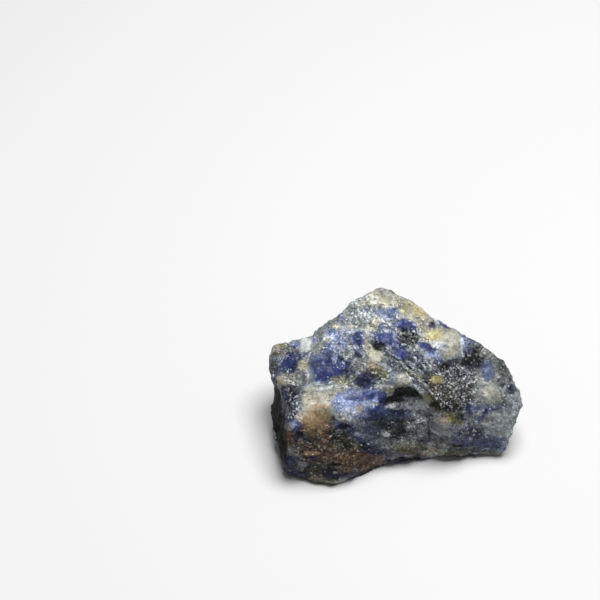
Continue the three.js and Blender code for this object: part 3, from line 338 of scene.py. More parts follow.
l -17.22 -5.67 17.66 0.24 0.59 0 2.2 0.8 0.35
c -15.26 -8.32 17.92 3.54 1.67 0 7.7 1 0.35
cg -16.83 -8.65 17.7 1.77 1.38 0 4 0.7 0.35
c -13.28 -7.63 17.46 2.37 1.18 0 4.1 0.8 0.35
wc -14.07 -6.96 17.9 2.37 0.47 3 4.6 0.8 0.35
og -17.62 -8.38 17.7 0.71 0.98 0 2.6 0.6 0.35
ot -16.64 -9.07 17.49 0.28 0.22 0 1.3 1 0.35
w -15.84 -7.28 17.96 0.26 0.2 0 1.4 1 0.35
w -15.05 -6.83 18.05 0.24 0.18 0 1.4 1 0.35
ok -10.48 -4.56 18.2 2.57 0.71 0 4 1 0.35
o -11.67 -4.32 18.23 1.19 0.4 0 3.2 0.5 0.35
wc -12.28 -6.63 17.54 0.79 0.26 6 2.2 1 0.35
Lw 0.14 1 0.5 -13.46 -5.6 17.88 -12.66 -5.04 17.99
w -12.86 -5.34 17.89 0.47 0.22 0 1.7 1 0.35
Lw 0.07 0.9 0.5 -12.08 -5.7 17.83 -10.88 -5.49 17.75 -9.31 -5.45 18
g -10.3 -6.02 17.46 1.78 0.59 0 3.5 0.7 0.35
Lw 0.08 1 0.5 -10.7 -6.7 17.32 -9.9 -6.02 17.46
i -21.17 -8.89 15.92 1.93 3.86 0 7.4 0.8 0.75
k -21.57 -6.88 16.05 0.79 0.99 0 2.7 0.6 0.35
id -20.58 -6.22 16.8 1.02 0.77 0 3.3 1 0.75
gs -21.16 -10.01 15.4 1.38 0.79 0 3.3 0.5 0.35
d -22.56 -6.83 15.4 0.32 1.59 0 5.5 0.7 0.35
kw -22.17 -5.62 15.84 0.28 0.2 0 1.6 0.85 0.6
kw -21.57 -6.67 16.11 0.32 0.2 -30 1.5 0.85 0.6
kw -21.07 -6.87 16.34 0.18 0.18 0 1.3 0.85 0.6
kw -22.16 -7.57 15.04 0.24 0.36 0 1.8 0.85 0.6
kw -21.56 -9.16 15.63 0.32 0.2 0 1.9 0.85 0.6
kw -22.57 -7.67 13.67 0.36 0.2 0 2.2 0.85 0.6
kw -20.97 -9.79 15.73 0.24 0.28 0 1.5 0.85 0.6
kw -21.97 -9.21 13.62 0.36 0.2 0 2.8 0.85 0.6
kw -21.16 -10.62 14.89 0.24 0.2 0 1.5 0.85 0.6
kw -19.98 -8.21 16.92 0.59 0.18 40 2.1 0.85 0.6
kw -20.38 -9.55 16.36 0.24 0.43 0 2 0.85 0.6
kw -21.77 -7.61 15.68 0.2 0.2 0 1.3 0.85 0.6
kw -20.77 -8.42 16.28 0.22 0.18 0 1.4 0.85 0.6
gk -19.19 -9.48 17.15 0.79 2.36 0 3.5 1 0.35
g -18.8 -7.76 17.61 0.59 0.79 0 2.5 0.7 0.35
Lwl 0.09 0.9 0.5 -18.8 -9.81 16.94 -18.6 -10.43 16.46 -18.21 -11.1 16.02
d -19.19 -10.13 16.56 0.2 0.28 0 1.3 0.8 0.35
d -18.7 -10.71 16.17 0.18 0.2 0 1.2 0.8 0.35
t -15.86 -11.22 16.45 2.75 1.37 0 4.5 1 0.35
ty -14.09 -10.25 16.84 0.98 0.79 0 2.4 1 0.35
c -13.89 -9.82 16.95 0.59 0.59 0 1.7 0.6 0.35
ro -14.68 -11.59 16.27 0.88 0.51 -10 2.1 1 0.35
o -15.07 -11.39 16.34 0.39 0.24 0 1.5 0.8 0.35
t -16.84 -12.07 15.93 1.57 0.78 0 2.9 0.9 0.35
tp -19 -11.68 15.2 0.98 0.79 0 1.9 0.9 0.35
ty -16.06 -12.73 15.5 2.35 0.78 0 3.3 1 0.35
r -12.91 -11.95 15.2 0.59 0.79 30 2.2 0.7 0.35
l -10.13 -9.14 16.19 2.96 1.68 0 4.6 1 0.75
b -10.91 -8.51 16.67 1.16 0.6 0 2.2 0.7 0.75
lb -8.94 -8.3 16.73 1.18 0.71 10 2.4 0.8 0.75
bl -11.71 -9.54 16.34 0.93 0.56 0 2.2 0.6 0.35
lw -10.15 -10.68 15.84 1.57 0.67 -6 3.1 1 0.75
w -10.51 -7.49 17.01 0.47 0.24 -20 1.6 1 0.35
w -9.72 -7.81 16.78 0.32 0.24 30 1.5 1 0.35
w -12.7 -8.91 16.96 0.35 0.24 0 1.5 1 0.35
w -11.91 -10.1 16.23 0.26 0.18 0 1.4 1 0.35
w -8.72 -6.8 16.99 0.2 0.2 0 1.2 1 0.35
l -11.9 -7.91 17.18 0.99 0.47 0 2.3 0.6 0.35
Log 0.13 0.9 0.5 -13.11 -11.4 16.06 -12.12 -11.61 15.41 -10.74 -11.96 14.63
lb -6.77 -8.44 16.6 2.17 1.48 0 3.6 1 0.75
b -6.17 -7.94 16.92 1.16 0.42 22 2.4 0.9 0.35
b -6.77 -8.82 16.42 0.93 0.33 20 2.1 0.8 0.35
sl -7.55 -7.28 17.08 1.3 0.48 8 2.8 0.8 0.35
l -5.59 -8.83 16.44 0.79 0.47 20 1.9 0.7 0.35
i -6.65 -6.78 17.41 0.45 0.36 0 1.8 0.8 0.35
wl -7.93 -6.63 17.24 0.89 0.36 14 1.9 1 0.35
w -8.52 -6.42 17.3 0.32 0.2 40 1.3 0.9 0.35
w -8.16 -9.39 16.18 0.59 0.28 45 1.7 1 0.35
w -7.14 -6.47 17.36 0.2 0.18 0 1.2 1 0.35
gl -5 -9.31 15.79 1.18 0.79 0 2.4 0.9 0.35
cy -7.38 -10.24 15.65 1.58 0.98 0 2.9 0.9 0.35
c -7.18 -10.04 15.72 0.79 0.67 0 1.9 0.8 0.35
wc -8.78 -11.08 15.71 0.98 0.59 -10 2.1 0.9 0.35
tp -7 -11.27 15.03 0.79 0.35 0 1.9 0.8 0.35
k -6.01 -11.43 14.77 0.79 0.2 0 1.9 0.8 0.35
b -4.81 -10.58 14.85 1.4 0.56 8 2.8 1 0.35
b -3.79 -9.64 14.69 0.93 0.42 20 2.6 0.9 0.35
kt -6.12 -3.4 19.28 1.88 0.79 0 3.4 1 0.35
t -6.91 -2.94 19.37 1.19 0.48 0 2.5 0.5 0.35
o -3.36 -3.97 19.17 1.39 0.91 -25 2.7 1 0.35
oy -3.75 -3.49 19.38 0.79 0.44 0 2 0.9 0.35
c -3.87 -4.44 18.95 0.28 0.2 -30 1.3 0.8 0.35
dg -4.17 -5.16 18.56 1.58 0.59 0 2.7 1 0.35
d -2.6 -5.39 18.52 0.99 0.28 -20 2.1 0.5 0.35
Lw 0.11 1 0.5 -2.99 -5.2 18.61 -2.2 -5.53 18.52 -1.42 -6 18.3
w -1.71 -5.06 18.88 0.36 0.16 -10 1.5 1 0.35
is -6.34 -5.53 17.79 1.93 1.59 0 2.7 1 0.75
i -6.93 -5.27 18.09 1.14 0.91 0 2.2 0.9 0.75
i -5.57 -6.37 17.83 1.14 0.91 0 2.9 0.9 0.75
sk -4.76 -5.3 18.42 0.65 0.65 0 1.7 0.6 0.75
p -1.42 -6.3 18.05 0.47 0.32 0 1.5 1 0.35
gw -2.8 -6.49 17.81 1.78 0.99 0 2.8 1 0.35
gk -3.8 -7.07 17.42 1.18 0.47 0 2 0.7 0.35
sl -1.01 -4.29 19.36 0.65 0.87 0 2 0.8 0.75
ls -0.83 -5.41 18.83 0.47 0.59 0 1.7 0.8 0.35
k -2.18 -3.77 19.39 0.79 0.59 0 2 0.6 0.35
sg -0.4 -3.16 20.19 1.31 0.98 -20 2.7 1 0.75
kl 0.56 -4.04 19.97 0.99 0.79 -30 2.1 0.8 0.35
ck 1.12 -5.72 19.16 1.68 1.38 -15 3 1 0.35
c 0.53 -6.13 18.74 0.79 0.79 0 2 0.8 0.35
c 1.92 -5.4 19.4 0.99 0.59 -20 2.2 0.7 0.35
cg -1.41 -7.03 16.8 0.91 0.55 28 2.8 1 0.35
og -0.25 -6.78 17.99 0.59 0.39 20 2.3 0.7 0.35
bi -2.59 -7.58 16.23 0.89 1.26 0 2.1 1 0.75
i -2.39 -7.83 15.92 0.55 0.55 0 2 0.8 0.35
l -3.79 -7.84 16.52 0.47 0.79 0 2.2 0.8 0.35
gl -4.19 -8.6 15.89 0.59 0.59 0 1.9 0.7 0.35
Ld 0.08 0.9 0.5 -2.32 -0.13 21.3 -0.18 -1.89 20.85
Ld 0.08 0.9 0.5 -1.33 -0.02 21.47 0.81 -1.66 21.04
Ld 0.08 0.9 0.5 -2.73 -0.86 20.91 -1.17 -2.12 20.51
Ld 0.08 0.9 0.5 -0.73 0.34 21.67 0.25 -0.29 21.47
Lwl 0.07 0.9 0.5 -2.73 -0.57 21.04 -1.95 -1.33 20.84
Lwl 0.07 0.9 0.5 -1.73 0 21.45 0.41 -1.74 20.93
Lwl 0.07 0.9 0.5 -2.14 -1.36 20.72 -0.59 -2.57 20.42
Lwl 0.07 0.9 0.5 -0.55 -0.27 21.45 1.39 -2 20.97
gs 2.17 -2.3 21 0.99 0.79 -40 2.4 0.8 0.35
d 2.77 -1.92 21.18 0.4 0.4 0 1.6 0.7 0.35
d 2.16 -2.87 20.74 0.4 0.24 -40 1.5 0.8 0.35
lw 3.45 -6.84 18.93 0.55 0.89 38 2.1 1 0.75
p 3.95 -6.49 19.13 0.3 0.59 30 1.7 1 0.35
s 0.96 -3.68 20.16 0.43 0.57 0 1.8 0.8 0.35
Lwc 0.12 1 0.5 0.8 -2.38 20.65 1.37 -3.29 20.32 2.13 -4.09 20.17 2.9 -4.82 19.93 3.68 -5.48 19.63 5.05 -5.87 19.33
y 2.42 -4.67 19.92 0.43 0.51 20 1.6 1 0.35
yc 4.69 -5.3 19.3 0.63 0.28 -30 1.8 1 0.35
Ly 0.09 0.8 0.5 3.49 -5.29 19.72 4.67 -5.76 19.2
Lw 0.08 0.9 0.5 2.2 -5.8 19.25 3.07 -6.77 18.85 4.03 -7.84 18.28 5.02 -8.37 17.69
Lkw 0.09 0.9 0.5 4.07 -5.92 19.38 5.24 -6.88 18.69 6.4 -7.87 18.01 7.63 -8.43 16.59
Lwc 0.07 0.8 0.5 5.04 -6.43 19.06 6.01 -7.6 18.3
Ld 0.07 0.8 0.5 2.51 -5.28 19.57 3.47 -6.11 19.3
Ld 0.08 0.6 0.5 4.65 -6.35 19.12 5.61 -7.51 18.5
Lwk 0.08 0.9 0.5 2.94 -2.8 20.95 4.09 -4.07 20.58 5.27 -5.11 19.67
Ld 0.08 0.7 0.5 3.34 -2.59 21.02 4.69 -4.16 20.39
Lw 0.08 0.9 0.5 3.9 -3.73 20.79 4.88 -4.45 20.12
s 4.73 -2.32 21.31 1.09 0.96 0 2.4 1 0.75
sl 4.7 -3.45 20.78 1.09 0.65 0 2.5 0.7 0.75
Lw 0.2 1 0.5 4.56 -0.89 21.96 5.72 -1.97 21.66 7.1 -2.59 21.02
wl 6.51 -1.97 21.51 0.99 0.4 -35 2.4 1 0.35
bl 7.36 -0.82 21.45 1.05 0.8 0 3 1 0.75
l 8.16 -1.2 20.99 0.4 0.59 0 1.9 0.8 0.35
w 6.39 -3.55 20.46 0.59 0.22 8 1.6 1 0.35
wl 5.9 -2.78 21.22 0.4 0.2 -30 1.4 1 0.35
Lw 0.07 0.8 0.5 6.89 -2.96 20.83 8.13 -3.03 19.76
b 5.41 0.68 22.18 0.98 0.75 -20 2.6 1 0.75
b 6.59 -0.14 21.75 1.17 0.61 -22 2.8 1 0.75
b 7.79 -0.41 21.3 0.8 0.56 -30 2.6 1 0.35
pl 5.03 1.1 22.31 0.48 0.32 0 1.8 0.8 0.35
wl 4.78 -0.14 22.18 0.44 0.48 -30 1.8 0.8 0.35
s 8.76 -1.87 20.26 0.65 0.87 0 2.5 0.7 0.75
kd 10.99 -4.87 16.2 4.77 4.77 0 7.9 0.75 0.35
kg 9.95 -4.49 17.55 3.97 2.38 0 8.2 0.5 0.35
kw 12.02 -3.98 16.4 1.99 1.59 0 4 0.55 0.35
ts 6.82 -6.64 18.71 1.58 1.18 0 2.8 0.5 0.35
d 9.78 -2.45 19.13 0.89 0.28 -8 2.4 1 0.35
d 10.82 -1.3 19.36 0.99 0.48 15 2.5 0.8 0.35
gd 11.65 -0.66 19.25 1.19 0.4 0 2.5 0.6 0.35
y 8.07 -5.3 18.71 0.99 0.79 0 2.7 0.95 0.75
yo 8.69 -5.17 18.28 0.71 0.67 0 2.2 0.9 0.75
o 7.43 -6.02 18.91 0.47 0.43 0 1.7 0.7 0.35
rd 6.03 -6.3 19.21 0.39 0.24 -20 1.4 0.9 0.5
rd 7.02 -6.89 18.4 0.32 0.28 -20 1.4 0.9 0.5
rd 6.41 -7.33 18.3 0.39 0.24 -20 1.5 0.9 0.5
rd 5.65 -5.36 19.65 0.32 0.24 -20 1.4 0.9 0.5
rd 8.66 -6.83 17.16 0.47 0.2 -20 1.9 0.9 0.5
rd 6.24 -5.54 19.55 0.24 0.24 -20 1.3 0.9 0.5
rd 7.84 -6.78 17.98 0.24 0.24 -20 1.3 0.9 0.5
o 11.17 -6.32 15.14 0.6 0.87 0 2.2 0.8 0.35
yo 11.21 -2.73 17.98 0.79 0.32 -20 1.9 0.7 0.35
d 9.95 -7.19 14.92 0.52 0.32 0 1.5 1 0.35
d 8.67 -8.89 15.03 0.59 0.51 0 1.9 1 0.35
d 12.59 -7.92 13.07 0.52 0.4 0 1.6 1 0.35
od 11.56 -7.64 13.94 1.19 0.79 0 2.6 0.6 0.35
kw 9.72 -8.02 14.65 0.48 0.4 0 2.1 0.8 0.35
w 9.46 -3.67 18.27 0.24 0.2 0 1.4 1 0.35
w 10.29 -2.48 18.73 0.3 0.2 0 1.4 1 0.35
gl 14.11 -2.07 16.69 0.8 0.48 -50 2.1 0.8 0.35
w 10.99 -4.35 16.81 0.2 0.32 0 1.5 0.9 0.6
w 9.91 -5.68 17.09 0.2 0.2 0 1.4 0.9 0.6
w 12.2 -5.72 15.07 0.32 0.28 0 1.4 0.9 0.6
w 11.61 -4.86 15.89 0.2 0.2 0 1.2 0.9 0.6
w 13.28 -3.08 16.31 0.28 0.2 0 1.4 0.9 0.6
w 10.36 -4.96 16.88 0.18 0.18 0 1.4 0.9 0.6
w 9.09 -5.54 17.81 0.2 0.2 0 1.3 0.9 0.6
w 8.66 -6.44 17.62 0.2 0.2 0 1.3 0.9 0.6
w 12.83 -4.44 15.73 0.22 0.2 0 1.3 0.9 0.6
w 10.78 -5.66 15.74 0.18 0.18 0 1.2 0.9 0.6
w 9.51 -6.84 16.01 0.2 0.2 0 1.3 0.9 0.6
w 13.42 -5.18 15.07 0.18 0.18 0 1.2 0.9 0.6
w 8.45 -7.52 16.75 0.2 0.18 0 1.4 0.9 0.6
w 14.24 -4.58 15.29 0.2 0.18 0 1.3 0.9 0.6
w 11.8 -5.64 15.27 0.24 0.16 0 1.3 0.9 0.6
w 9.31 -7.3 15.63 0.2 0.18 0 1.4 0.9 0.6
di 14.86 -4.3 15.29 0.52 0.68 0 1.9 1 0.35
d 14.15 -4.21 15.49 0.36 0.24 0 1.5 1 0.35
k 14.01 -6.29 14.22 1.19 1.19 0 2.2 0.7 0.35
ts 15.42 -5.24 14.84 0.32 0.99 0 2.1 0.6 0.35
gk 13.99 1.42 18.8 0.8 1.2 0 4 0.7 0.35
is 14.22 1.74 18.6 1.06 0.83 0 3.6 1 0.75
gd 13.94 0.04 18.22 1 0.8 0 2.3 1 0.35
d 13.73 -0.12 18.25 0.68 0.6 0 2.1 0.6 0.35
dk 16.27 1.58 17.75 1.2 1.7 10 3.7 1 0.35
d 16.38 3.21 17.49 0.9 0.4 -35 2.8 1 0.35
d 16.65 0.88 17.33 0.68 0.92 20 2.4 1 0.35
d 15.42 1.1 17.97 0.6 0.4 0 1.9 0.9 0.35
w 15.43 1.43 18.11 0.3 0.22 0 1.5 1 0.35
k 15.61 0.56 17.67 0.32 0.28 0 1.5 0.8 0.35
k 15.08 2.27 18.19 0.4 0.2 -30 1.9 0.8 0.35
is 15.16 -0.53 17.37 0.92 0.55 0 2.1 1 0.35
d 16.39 -0.37 17.05 0.8 0.32 0 2.2 0.8 0.35
sk 14.53 -1.33 17.06 1.32 0.53 0 2.7 0.8 0.35
Lgc 0.27 1 0.5 16.6 3.74 17.81 17.79 2.89 17.24 19.15 1.87 16.87
w 17.35 2.38 17.2 0.26 0.18 0 1.7 0.8 0.35
is 17.7 1.54 17.21 0.92 0.37 -12 2.3 1 0.35
pi 18.5 1.24 16.95 0.72 0.4 0 2.6 0.8 0.35
lb 18.4 -0.64 16.62 0.92 1.6 8 3 1 0.75
bs 18.26 0.52 16.83 0.95 0.71 0 2.5 0.8 0.75
b 18.35 -1.98 16 1.08 1.08 0 2.5 1 0.75
b 18.11 -2.6 15.94 0.8 0.47 0 2.1 0.9 0.35
lw 18.41 -0.41 16.66 0.4 0.68 0 2.1 0.8 0.35
sl 17.54 -1.76 16.35 0.44 0.88 0 2.2 0.8 0.35
l 19.2 -1.05 16.17 0.4 0.6 0 1.7 0.7 0.35
g 20.54 1.37 16.52 1 1.2 -40 2.8 1 0.35
Ldg 0.12 0.9 0.5 19.35 1.85 16.89 20.31 0.89 16.45 21.12 0.31 15.89
Ldg 0.11 0.8 0.5 20.38 2.21 16.79 21.57 1.08 15.95
w 19.82 1.25 16.64 0.24 0.4 30 1.6 0.8 0.35
gw 20.29 0.44 16.34 0.4 0.28 -40 1.6 0.8 0.35
Ldg 0.11 0.8 0.5 21.81 1.75 16.11 22.59 0.65 15.23 23.03 -0.89 14.53
g 21.05 -1.12 15.36 1 1.2 0 2.8 1 0.35
kt 22.32 -0.51 15.01 0.68 1.4 15 3.3 1 0.35
d 22.75 -0.37 14.86 0.26 0.28 0 1.5 0.8 0.35
d 23.04 -1.27 14.35 0.28 0.32 0 1.5 0.8 0.35
w 20.74 -1.64 15.26 0.24 0.22 0 1.3 1 0.35
rd 20.8 -2.41 14.85 0.6 0.36 -20 2.2 1 0.35
rd 21.61 -2.84 14.28 0.44 0.44 0 1.7 0.9 0.35
w 21.72 -2.71 14.28 0.16 0.14 0 1.2 1 0.35
lp 20.53 -3.51 14.72 0.88 0.6 0 2.4 1 0.75
t 19.69 -4.07 14.74 0.6 0.4 0 1.7 0.5 0.35
wl 22.11 -3.21 13.8 0.52 0.28 -40 1.8 1 0.35
is 23.06 -2.86 13.57 1.06 0.78 -30 2.5 1 0.75
i 23.13 -3.45 13.32 0.37 0.46 0 1.7 1 0.35
w 23.53 -2.94 13.36 0.24 0.18 0 1.3 1 0.35
kl 23.5 -2.27 13.66 0.48 0.28 -40 1.7 0.7 0.35
c 17.85 -4.8 14.65 2.69 2.49 0 3.8 0.95 0.35
cg 17.06 -4.09 15.35 1.59 1.2 0 2.5 0.7 0.35
yg 18.05 -6.06 13.37 1.59 0.8 0 3.2 0.8 0.75
c 19.07 -4.77 14.32 1.79 1.2 0 2.8 0.6 0.35
w 20.41 -4.32 14.12 0.2 0.14 0 1.3 0.8 0.35
wc 20.52 -3.98 14.35 0.32 0.14 -40 1.4 0.8 0.35
Lwc 0.09 0.9 0.5 15.52 -1.79 16.67 15.69 -2.86 16.07 16.06 -3.97 15.51 16.45 -4.61 15.03
w 15.51 -2.14 16.47 0.36 0.24 40 1.4 0.8 0.35
Lwc 0.08 0.8 0.5 15.62 -5.41 14.72 15.8 -6.27 14.2
Lwc 0.09 0.9 0.5 19.32 -2.91 15.54 19.91 -3.38 15.16
gk 23.39 -5.07 12.28 1.8 2 0 3.2 0.9 0.35
gl 22.58 -4.26 13.18 0.8 0.8 0 2.1 0.6 0.35
w 21.77 -4.06 13.54 0.24 0.18 0 1.3 1 0.35
kl 23.61 -4.39 12.72 1 0.6 0 2.4 0.5 0.35
dg 21.55 -5.92 12.03 0.6 0.6 0 1.7 1 0.35
d 21.33 -5.72 12.4 0.32 0.28 0 1.4 0.8 0.35
w 21.13 -5.54 12.71 0.28 0.2 0 1.3 1 0.35
w 21.44 -5.76 12.3 0.18 0.14 0 1.2 1 0.35
k 24.84 -5.43 11.19 0.6 0.8 0 1.9 0.6 0.35
ps 15.81 -6.71 13.5 1.07 1.11 0 2.2 1 0.35
w 15.72 -6.83 13.33 0.22 0.2 0 1.2 1 0.35
wl 14.81 -6.96 13.48 0.32 0.36 0 1.4 1 0.35
s 16.24 -7.22 12.58 0.66 0.66 0 1.7 0.8 0.75
i 14.41 -7.85 12.54 0.59 1.01 0 1.9 1 0.75
pi 14.41 -8.31 12.01 0.48 0.6 0 1.7 0.9 0.35
gw 16.57 -7.85 11.49 0.88 0.4 15 2.5 1 0.35
gk 15.42 -7.97 12.23 0.6 0.48 0 1.6 0.8 0.35
w 16.06 -8.07 11.44 0.32 0.18 20 1.5 1 0.35
i 17.92 -7.35 11.09 0.73 0.78 0 2.2 1 0.75
ls 18.3 -6.76 11.92 0.72 0.4 0 2 1 0.35
is 19.54 -6.61 11.46 0.78 0.41 0 1.7 1 0.35
i 19.54 -6.74 11.3 0.46 0.28 0 1.4 1 0.35
is 20.53 -6.3 11.86 0.78 0.51 15 1.7 1 0.35
w 18.73 -6.79 11.51 0.2 0.2 0 1.3 1 0.35
k 17.25 -6.69 12.89 0.8 0.4 0 2.1 0.6 0.35
kg 20.76 -7.11 10.67 2.4 0.8 0 3.7 0.9 0.35
lk 23.84 -6.58 10.07 0.8 1 -30 2 0.9 0.75
g 22.41 -6.51 10.6 0.8 0.6 0 2.1 0.5 0.35
b -14.83 -3.25 17.95 2.58 1.87 20 6.5 0.8 0.75
b -12.43 -2 18.36 2.11 1.64 -10 4 0.75 0.75
i -13.63 -2.57 18.1 1.6 0.91 0 3.6 0.7 0.75
bs -10.64 -0.85 19.46 1.41 1.41 0 3 0.45 0.75
b -21.6 0.88 17.04 1.65 1.89 0 3.9 0.65 0.75
ib -20.79 -0.19 17.01 0.92 1.38 0 3.3 0.6 0.75
b -6.83 3.16 21.89 1.41 1.18 0 3 0.6 0.75
b -2.48 2.3 22.49 1.88 1.06 -28 4.1 0.5 0.75
b 0.64 -0.11 21.57 1.87 1.4 -15 3.3 0.6 0.75
l -9.34 -9.2 16.26 3.35 1.58 0 5.1 0.45 0.75
lb -6.57 -8.45 16.61 2.37 1.38 12 3.9 0.6 0.75
b -6.17 -7.94 16.92 1.63 0.61 20 2.9 0.7 0.75
sb -8.35 -8.13 16.84 1.74 0.87 5 3.9 0.5 0.75
i -6.34 -5.7 17.69 1.82 1.36 0 4.1 0.6 0.75
bs -4.61 -10.54 14.81 2.33 0.93 6 3.9 0.7 0.75
lw -8.73 9.77 23.15 1.41 1.01 0 3.2 0.35 0.75
gw -5.95 8.56 23.8 1.61 1 0 3.8 0.35 0.35
lw -4.79 6.29 23.25 1.8 0.8 0 3.2 0.4 0.75
c -3.72 -0.94 20.72 1.19 1.59 -30 2.7 0.4 0.35
sd -10.07 -2.46 19.15 1.31 1.31 0 3.2 0.6 0.75
od -2.78 -4.26 19.05 1.58 0.89 -25 3 0.6 0.35
dg 15.73 2.84 17.88 1.61 2.41 30 5.8 0.5 0.35
d 16.24 0.95 17.55 1.2 1.6 15 3.5 0.6 0.35
gd 21.35 0.8 15.95 1 2.41 25 4.8 0.45 0.35
b 18.58 -1.34 16.2 1.18 1.65 8 3.3 0.5 0.75
y 8.08 -5.09 18.77 1.19 0.89 0 3.3 0.7 0.75
y 7.29 2.78 22.28 1.79 1 0 3.9 0.5 0.75
Lw 0.23 0.6 0.5 -12.59 3.1 19.93 -12.01 1.09 19.73 -12.23 -1.31 18.78
d 0.61 -6.69 15.99 1.29 1.29 0 2.4 1 0.35
d 2.97 -6.79 16.39 1.88 0.71 -14 5.3 1 0.35
d 2.16 -6.58 17.04 0.99 0.51 -10 3.2 0.9 0.35
d 4.29 -8.03 16.72 0.67 0.36 -25 2.9 1 0.35
d -0.98 -7.58 15.35 0.91 0.79 0 2 0.95 0.35
d -2.39 -8.34 15.15 1.19 0.44 12 2.4 0.9 0.35
kw 3.38 -7.29 15.53 0.44 0.24 0 1.8 1 0.35
k 2.21 -7.14 15.16 0.59 0.28 0 1.7 0.7 0.35
w 5.07 -8.29 16.63 0.18 0.16 0 1.4 1 0.35
k -0.38 -7.88 14.65 0.99 0.24 8 2.2 0.6 0.35
yo 5.65 -8.31 16.74 0.71 0.39 -30 2.7 1 0.35
o 6.29 -8.16 15.99 0.79 0.43 -20 2.7 1 0.35
o 7.22 -8.43 16.88 0.67 0.59 0 1.9 0.8 0.35
dk 5.61 -8.36 17.68 0.59 0.18 -30 1.5 1 0.35
d 4.91 -8.04 15.85 0.47 0.18 -15 2.4 0.8 0.35
kl -0.98 -8.47 14.27 1.58 0.63 0 3.1 1 0.35
w -1.18 -8.25 14.62 0.36 0.2 0 1.5 0.7 0.35
wl 0.03 -8.39 13.89 0.4 0.2 0 1.3 0.7 0.35
k 3.6 -8.15 13.92 2.97 1.19 0 3.9 1 0.35
kg 4.78 -8.06 14.4 1.19 0.59 0 2.6 0.7 0.35
w 4.2 -8.34 13.74 0.26 0.18 0 1.3 0.8 0.35
od 7.86 -9.14 15.17 1.18 0.79 0 3 1 0.35
d 6.91 -8.98 14.54 0.47 0.28 0 1.6 0.8 0.35
d 8.25 -8.81 15.54 0.59 0.47 0 1.9 0.7 0.35
k 8.66 -7.81 16.19 0.36 0.51 0 2.2 0.8 0.35
s -2.39 -10 13.61 3.95 0.91 2 8.9 1 0.75
b -4.81 -10.78 14.63 1.63 0.6 6 3.7 0.8 0.75
is -2.99 -9.44 14.32 1.14 0.45 5 2.5 0.9 0.35
si 0.44 -9.2 12.71 2.78 0.71 -2 4.2 1 0.75
id 0.63 -8.92 13.14 2.74 0.36 -2 4.2 0.7 0.35
kl 4.23 -9.08 12.28 1.19 0.79 0 2.4 1 0.35
l 4.82 -8.94 12.57 0.79 0.28 0 2.1 0.7 0.35
gk 5.39 -8.73 13.37 0.99 0.4 0 2.6 0.6 0.35
sb -4.19 -11.14 13.41 2.61 0.78 -2 4.1 1 0.75
s -1.55 -10.12 11.96 1.74 0.65 0 3.6 0.9 0.75
gl -4.58 -11.42 12.68 0.43 0.28 0 1.7 1 0.35
ks -8.98 -12.1 15.08 1.96 0.59 -6 2.9 0.9 0.35
k -9.76 -12.41 14.25 1.18 0.47 -8 2.8 0.8 0.35
t -16.25 -13.29 14.65 2.55 1.37 0 4.1 1 0.35
ty -16.84 -12.98 14.89 1.57 0.59 0 2.9 0.8 0.35
t -16.05 -14.04 13.13 1.96 0.98 0 3.6 0.9 0.35
o -15.66 -14.54 12.21 0.98 0.59 0 2 0.5 0.35
il -21.16 -11.75 14.1 1.36 0.77 0 2.9 1 0.75
wl -20.97 -12.61 13.28 0.59 0.47 -30 1.8 1 0.35
bl -19.98 -12.58 14 0.88 0.6 0 1.9 1 0.75
w -19.78 -11.93 14.75 0.59 0.31 -20 1.7 0.8 0.35
ib -19.98 -13.13 12.84 1 0.68 0 2.2 1 0.75
i -20.38 -13.41 12.41 0.59 0.32 0 1.5 0.8 0.35
wl -18.6 -12.16 14.85 0.39 0.24 0 1.6 0.8 0.35
w -21.56 -11.88 13.65 0.2 0.2 0 1.3 1 0.35
pr -18.6 -13.34 13.52 0.79 0.63 0 1.8 1 0.35
wp -19 -13.33 13.36 0.28 0.2 0 1.4 0.7 0.35
rp -18.11 -13.91 12.98 0.47 0.35 0 1.5 1 0.35
d -19.19 -14.03 12.43 0.87 0.28 10 2.3 1 0.35
sd -17.62 -14.72 11.52 1.43 0.65 -25 3.2 1 0.75
d -17.03 -14.89 11.12 0.47 0.24 -25 1.6 0.7 0.35
rd -20.97 -14.05 11.35 0.87 0.79 0 2.1 1 0.35
od -20.97 -14.89 9.92 0.99 0.79 0 2.3 0.9 0.35
tc -18.8 -14.8 11.02 0.51 0.32 -35 1.8 0.9 0.35
t -18.41 -15.01 10.36 0.39 0.51 0 1.7 0.8 0.35
tk -19.39 -15.19 9.66 0.79 0.59 0 2.3 0.7 0.35
rd -13.69 -13.39 13.57 0.59 0.67 0 2.1 1 0.35
wc -13.89 -13.34 13.82 0.26 0.22 0 1.4 1 0.35
w -13.49 -13.36 13.39 0.16 0.16 0 1.2 1 0.35
r -14.67 -14.37 12.61 0.67 0.71 0 1.8 1 0.35
rd -14.68 -14.13 13.09 0.39 0.28 0 1.5 0.9 0.35
wc -14.77 -14.77 11.74 0.22 0.2 0 1.3 1 0.35
dg -12.5 -12.26 14.08 1.1 0.87 0 2.3 1 0.35
ck -10.93 -12.19 14.15 0.98 0.55 0 2.2 1 0.35
k -9.75 -12.66 13.64 1.18 0.39 0 2.8 0.7 0.35
Li 0.22 1 0.5 -12.01 -13.24 12.82 -11.52 -12.91 13.18 -10.73 -12.68 13.13 -9.84 -13.02 12.56
s -9.15 -13.27 12.26 1.3 0.78 0 3.1 0.9 0.75
bs -8.53 -13.62 10.85 1.16 0.56 0 2.8 0.8 0.35
dg -11.71 -13.82 11.69 1.77 0.99 0 3.6 0.95 0.35
ok -12.11 -13.49 12.51 0.98 0.39 0 1.9 0.5 0.35
kw -12.1 -13.99 11.58 0.22 0.16 0 1.3 0.8 0.6
kw -12.7 -13.68 12.42 0.22 0.16 0 1.3 0.8 0.6
kw -11.31 -13.53 11.95 0.22 0.16 0 1.3 0.8 0.6
kw -13.09 -14.22 11.55 0.22 0.16 0 1.2 0.8 0.6
kw -10.71 -13.64 11.18 0.22 0.16 0 1.3 0.8 0.6
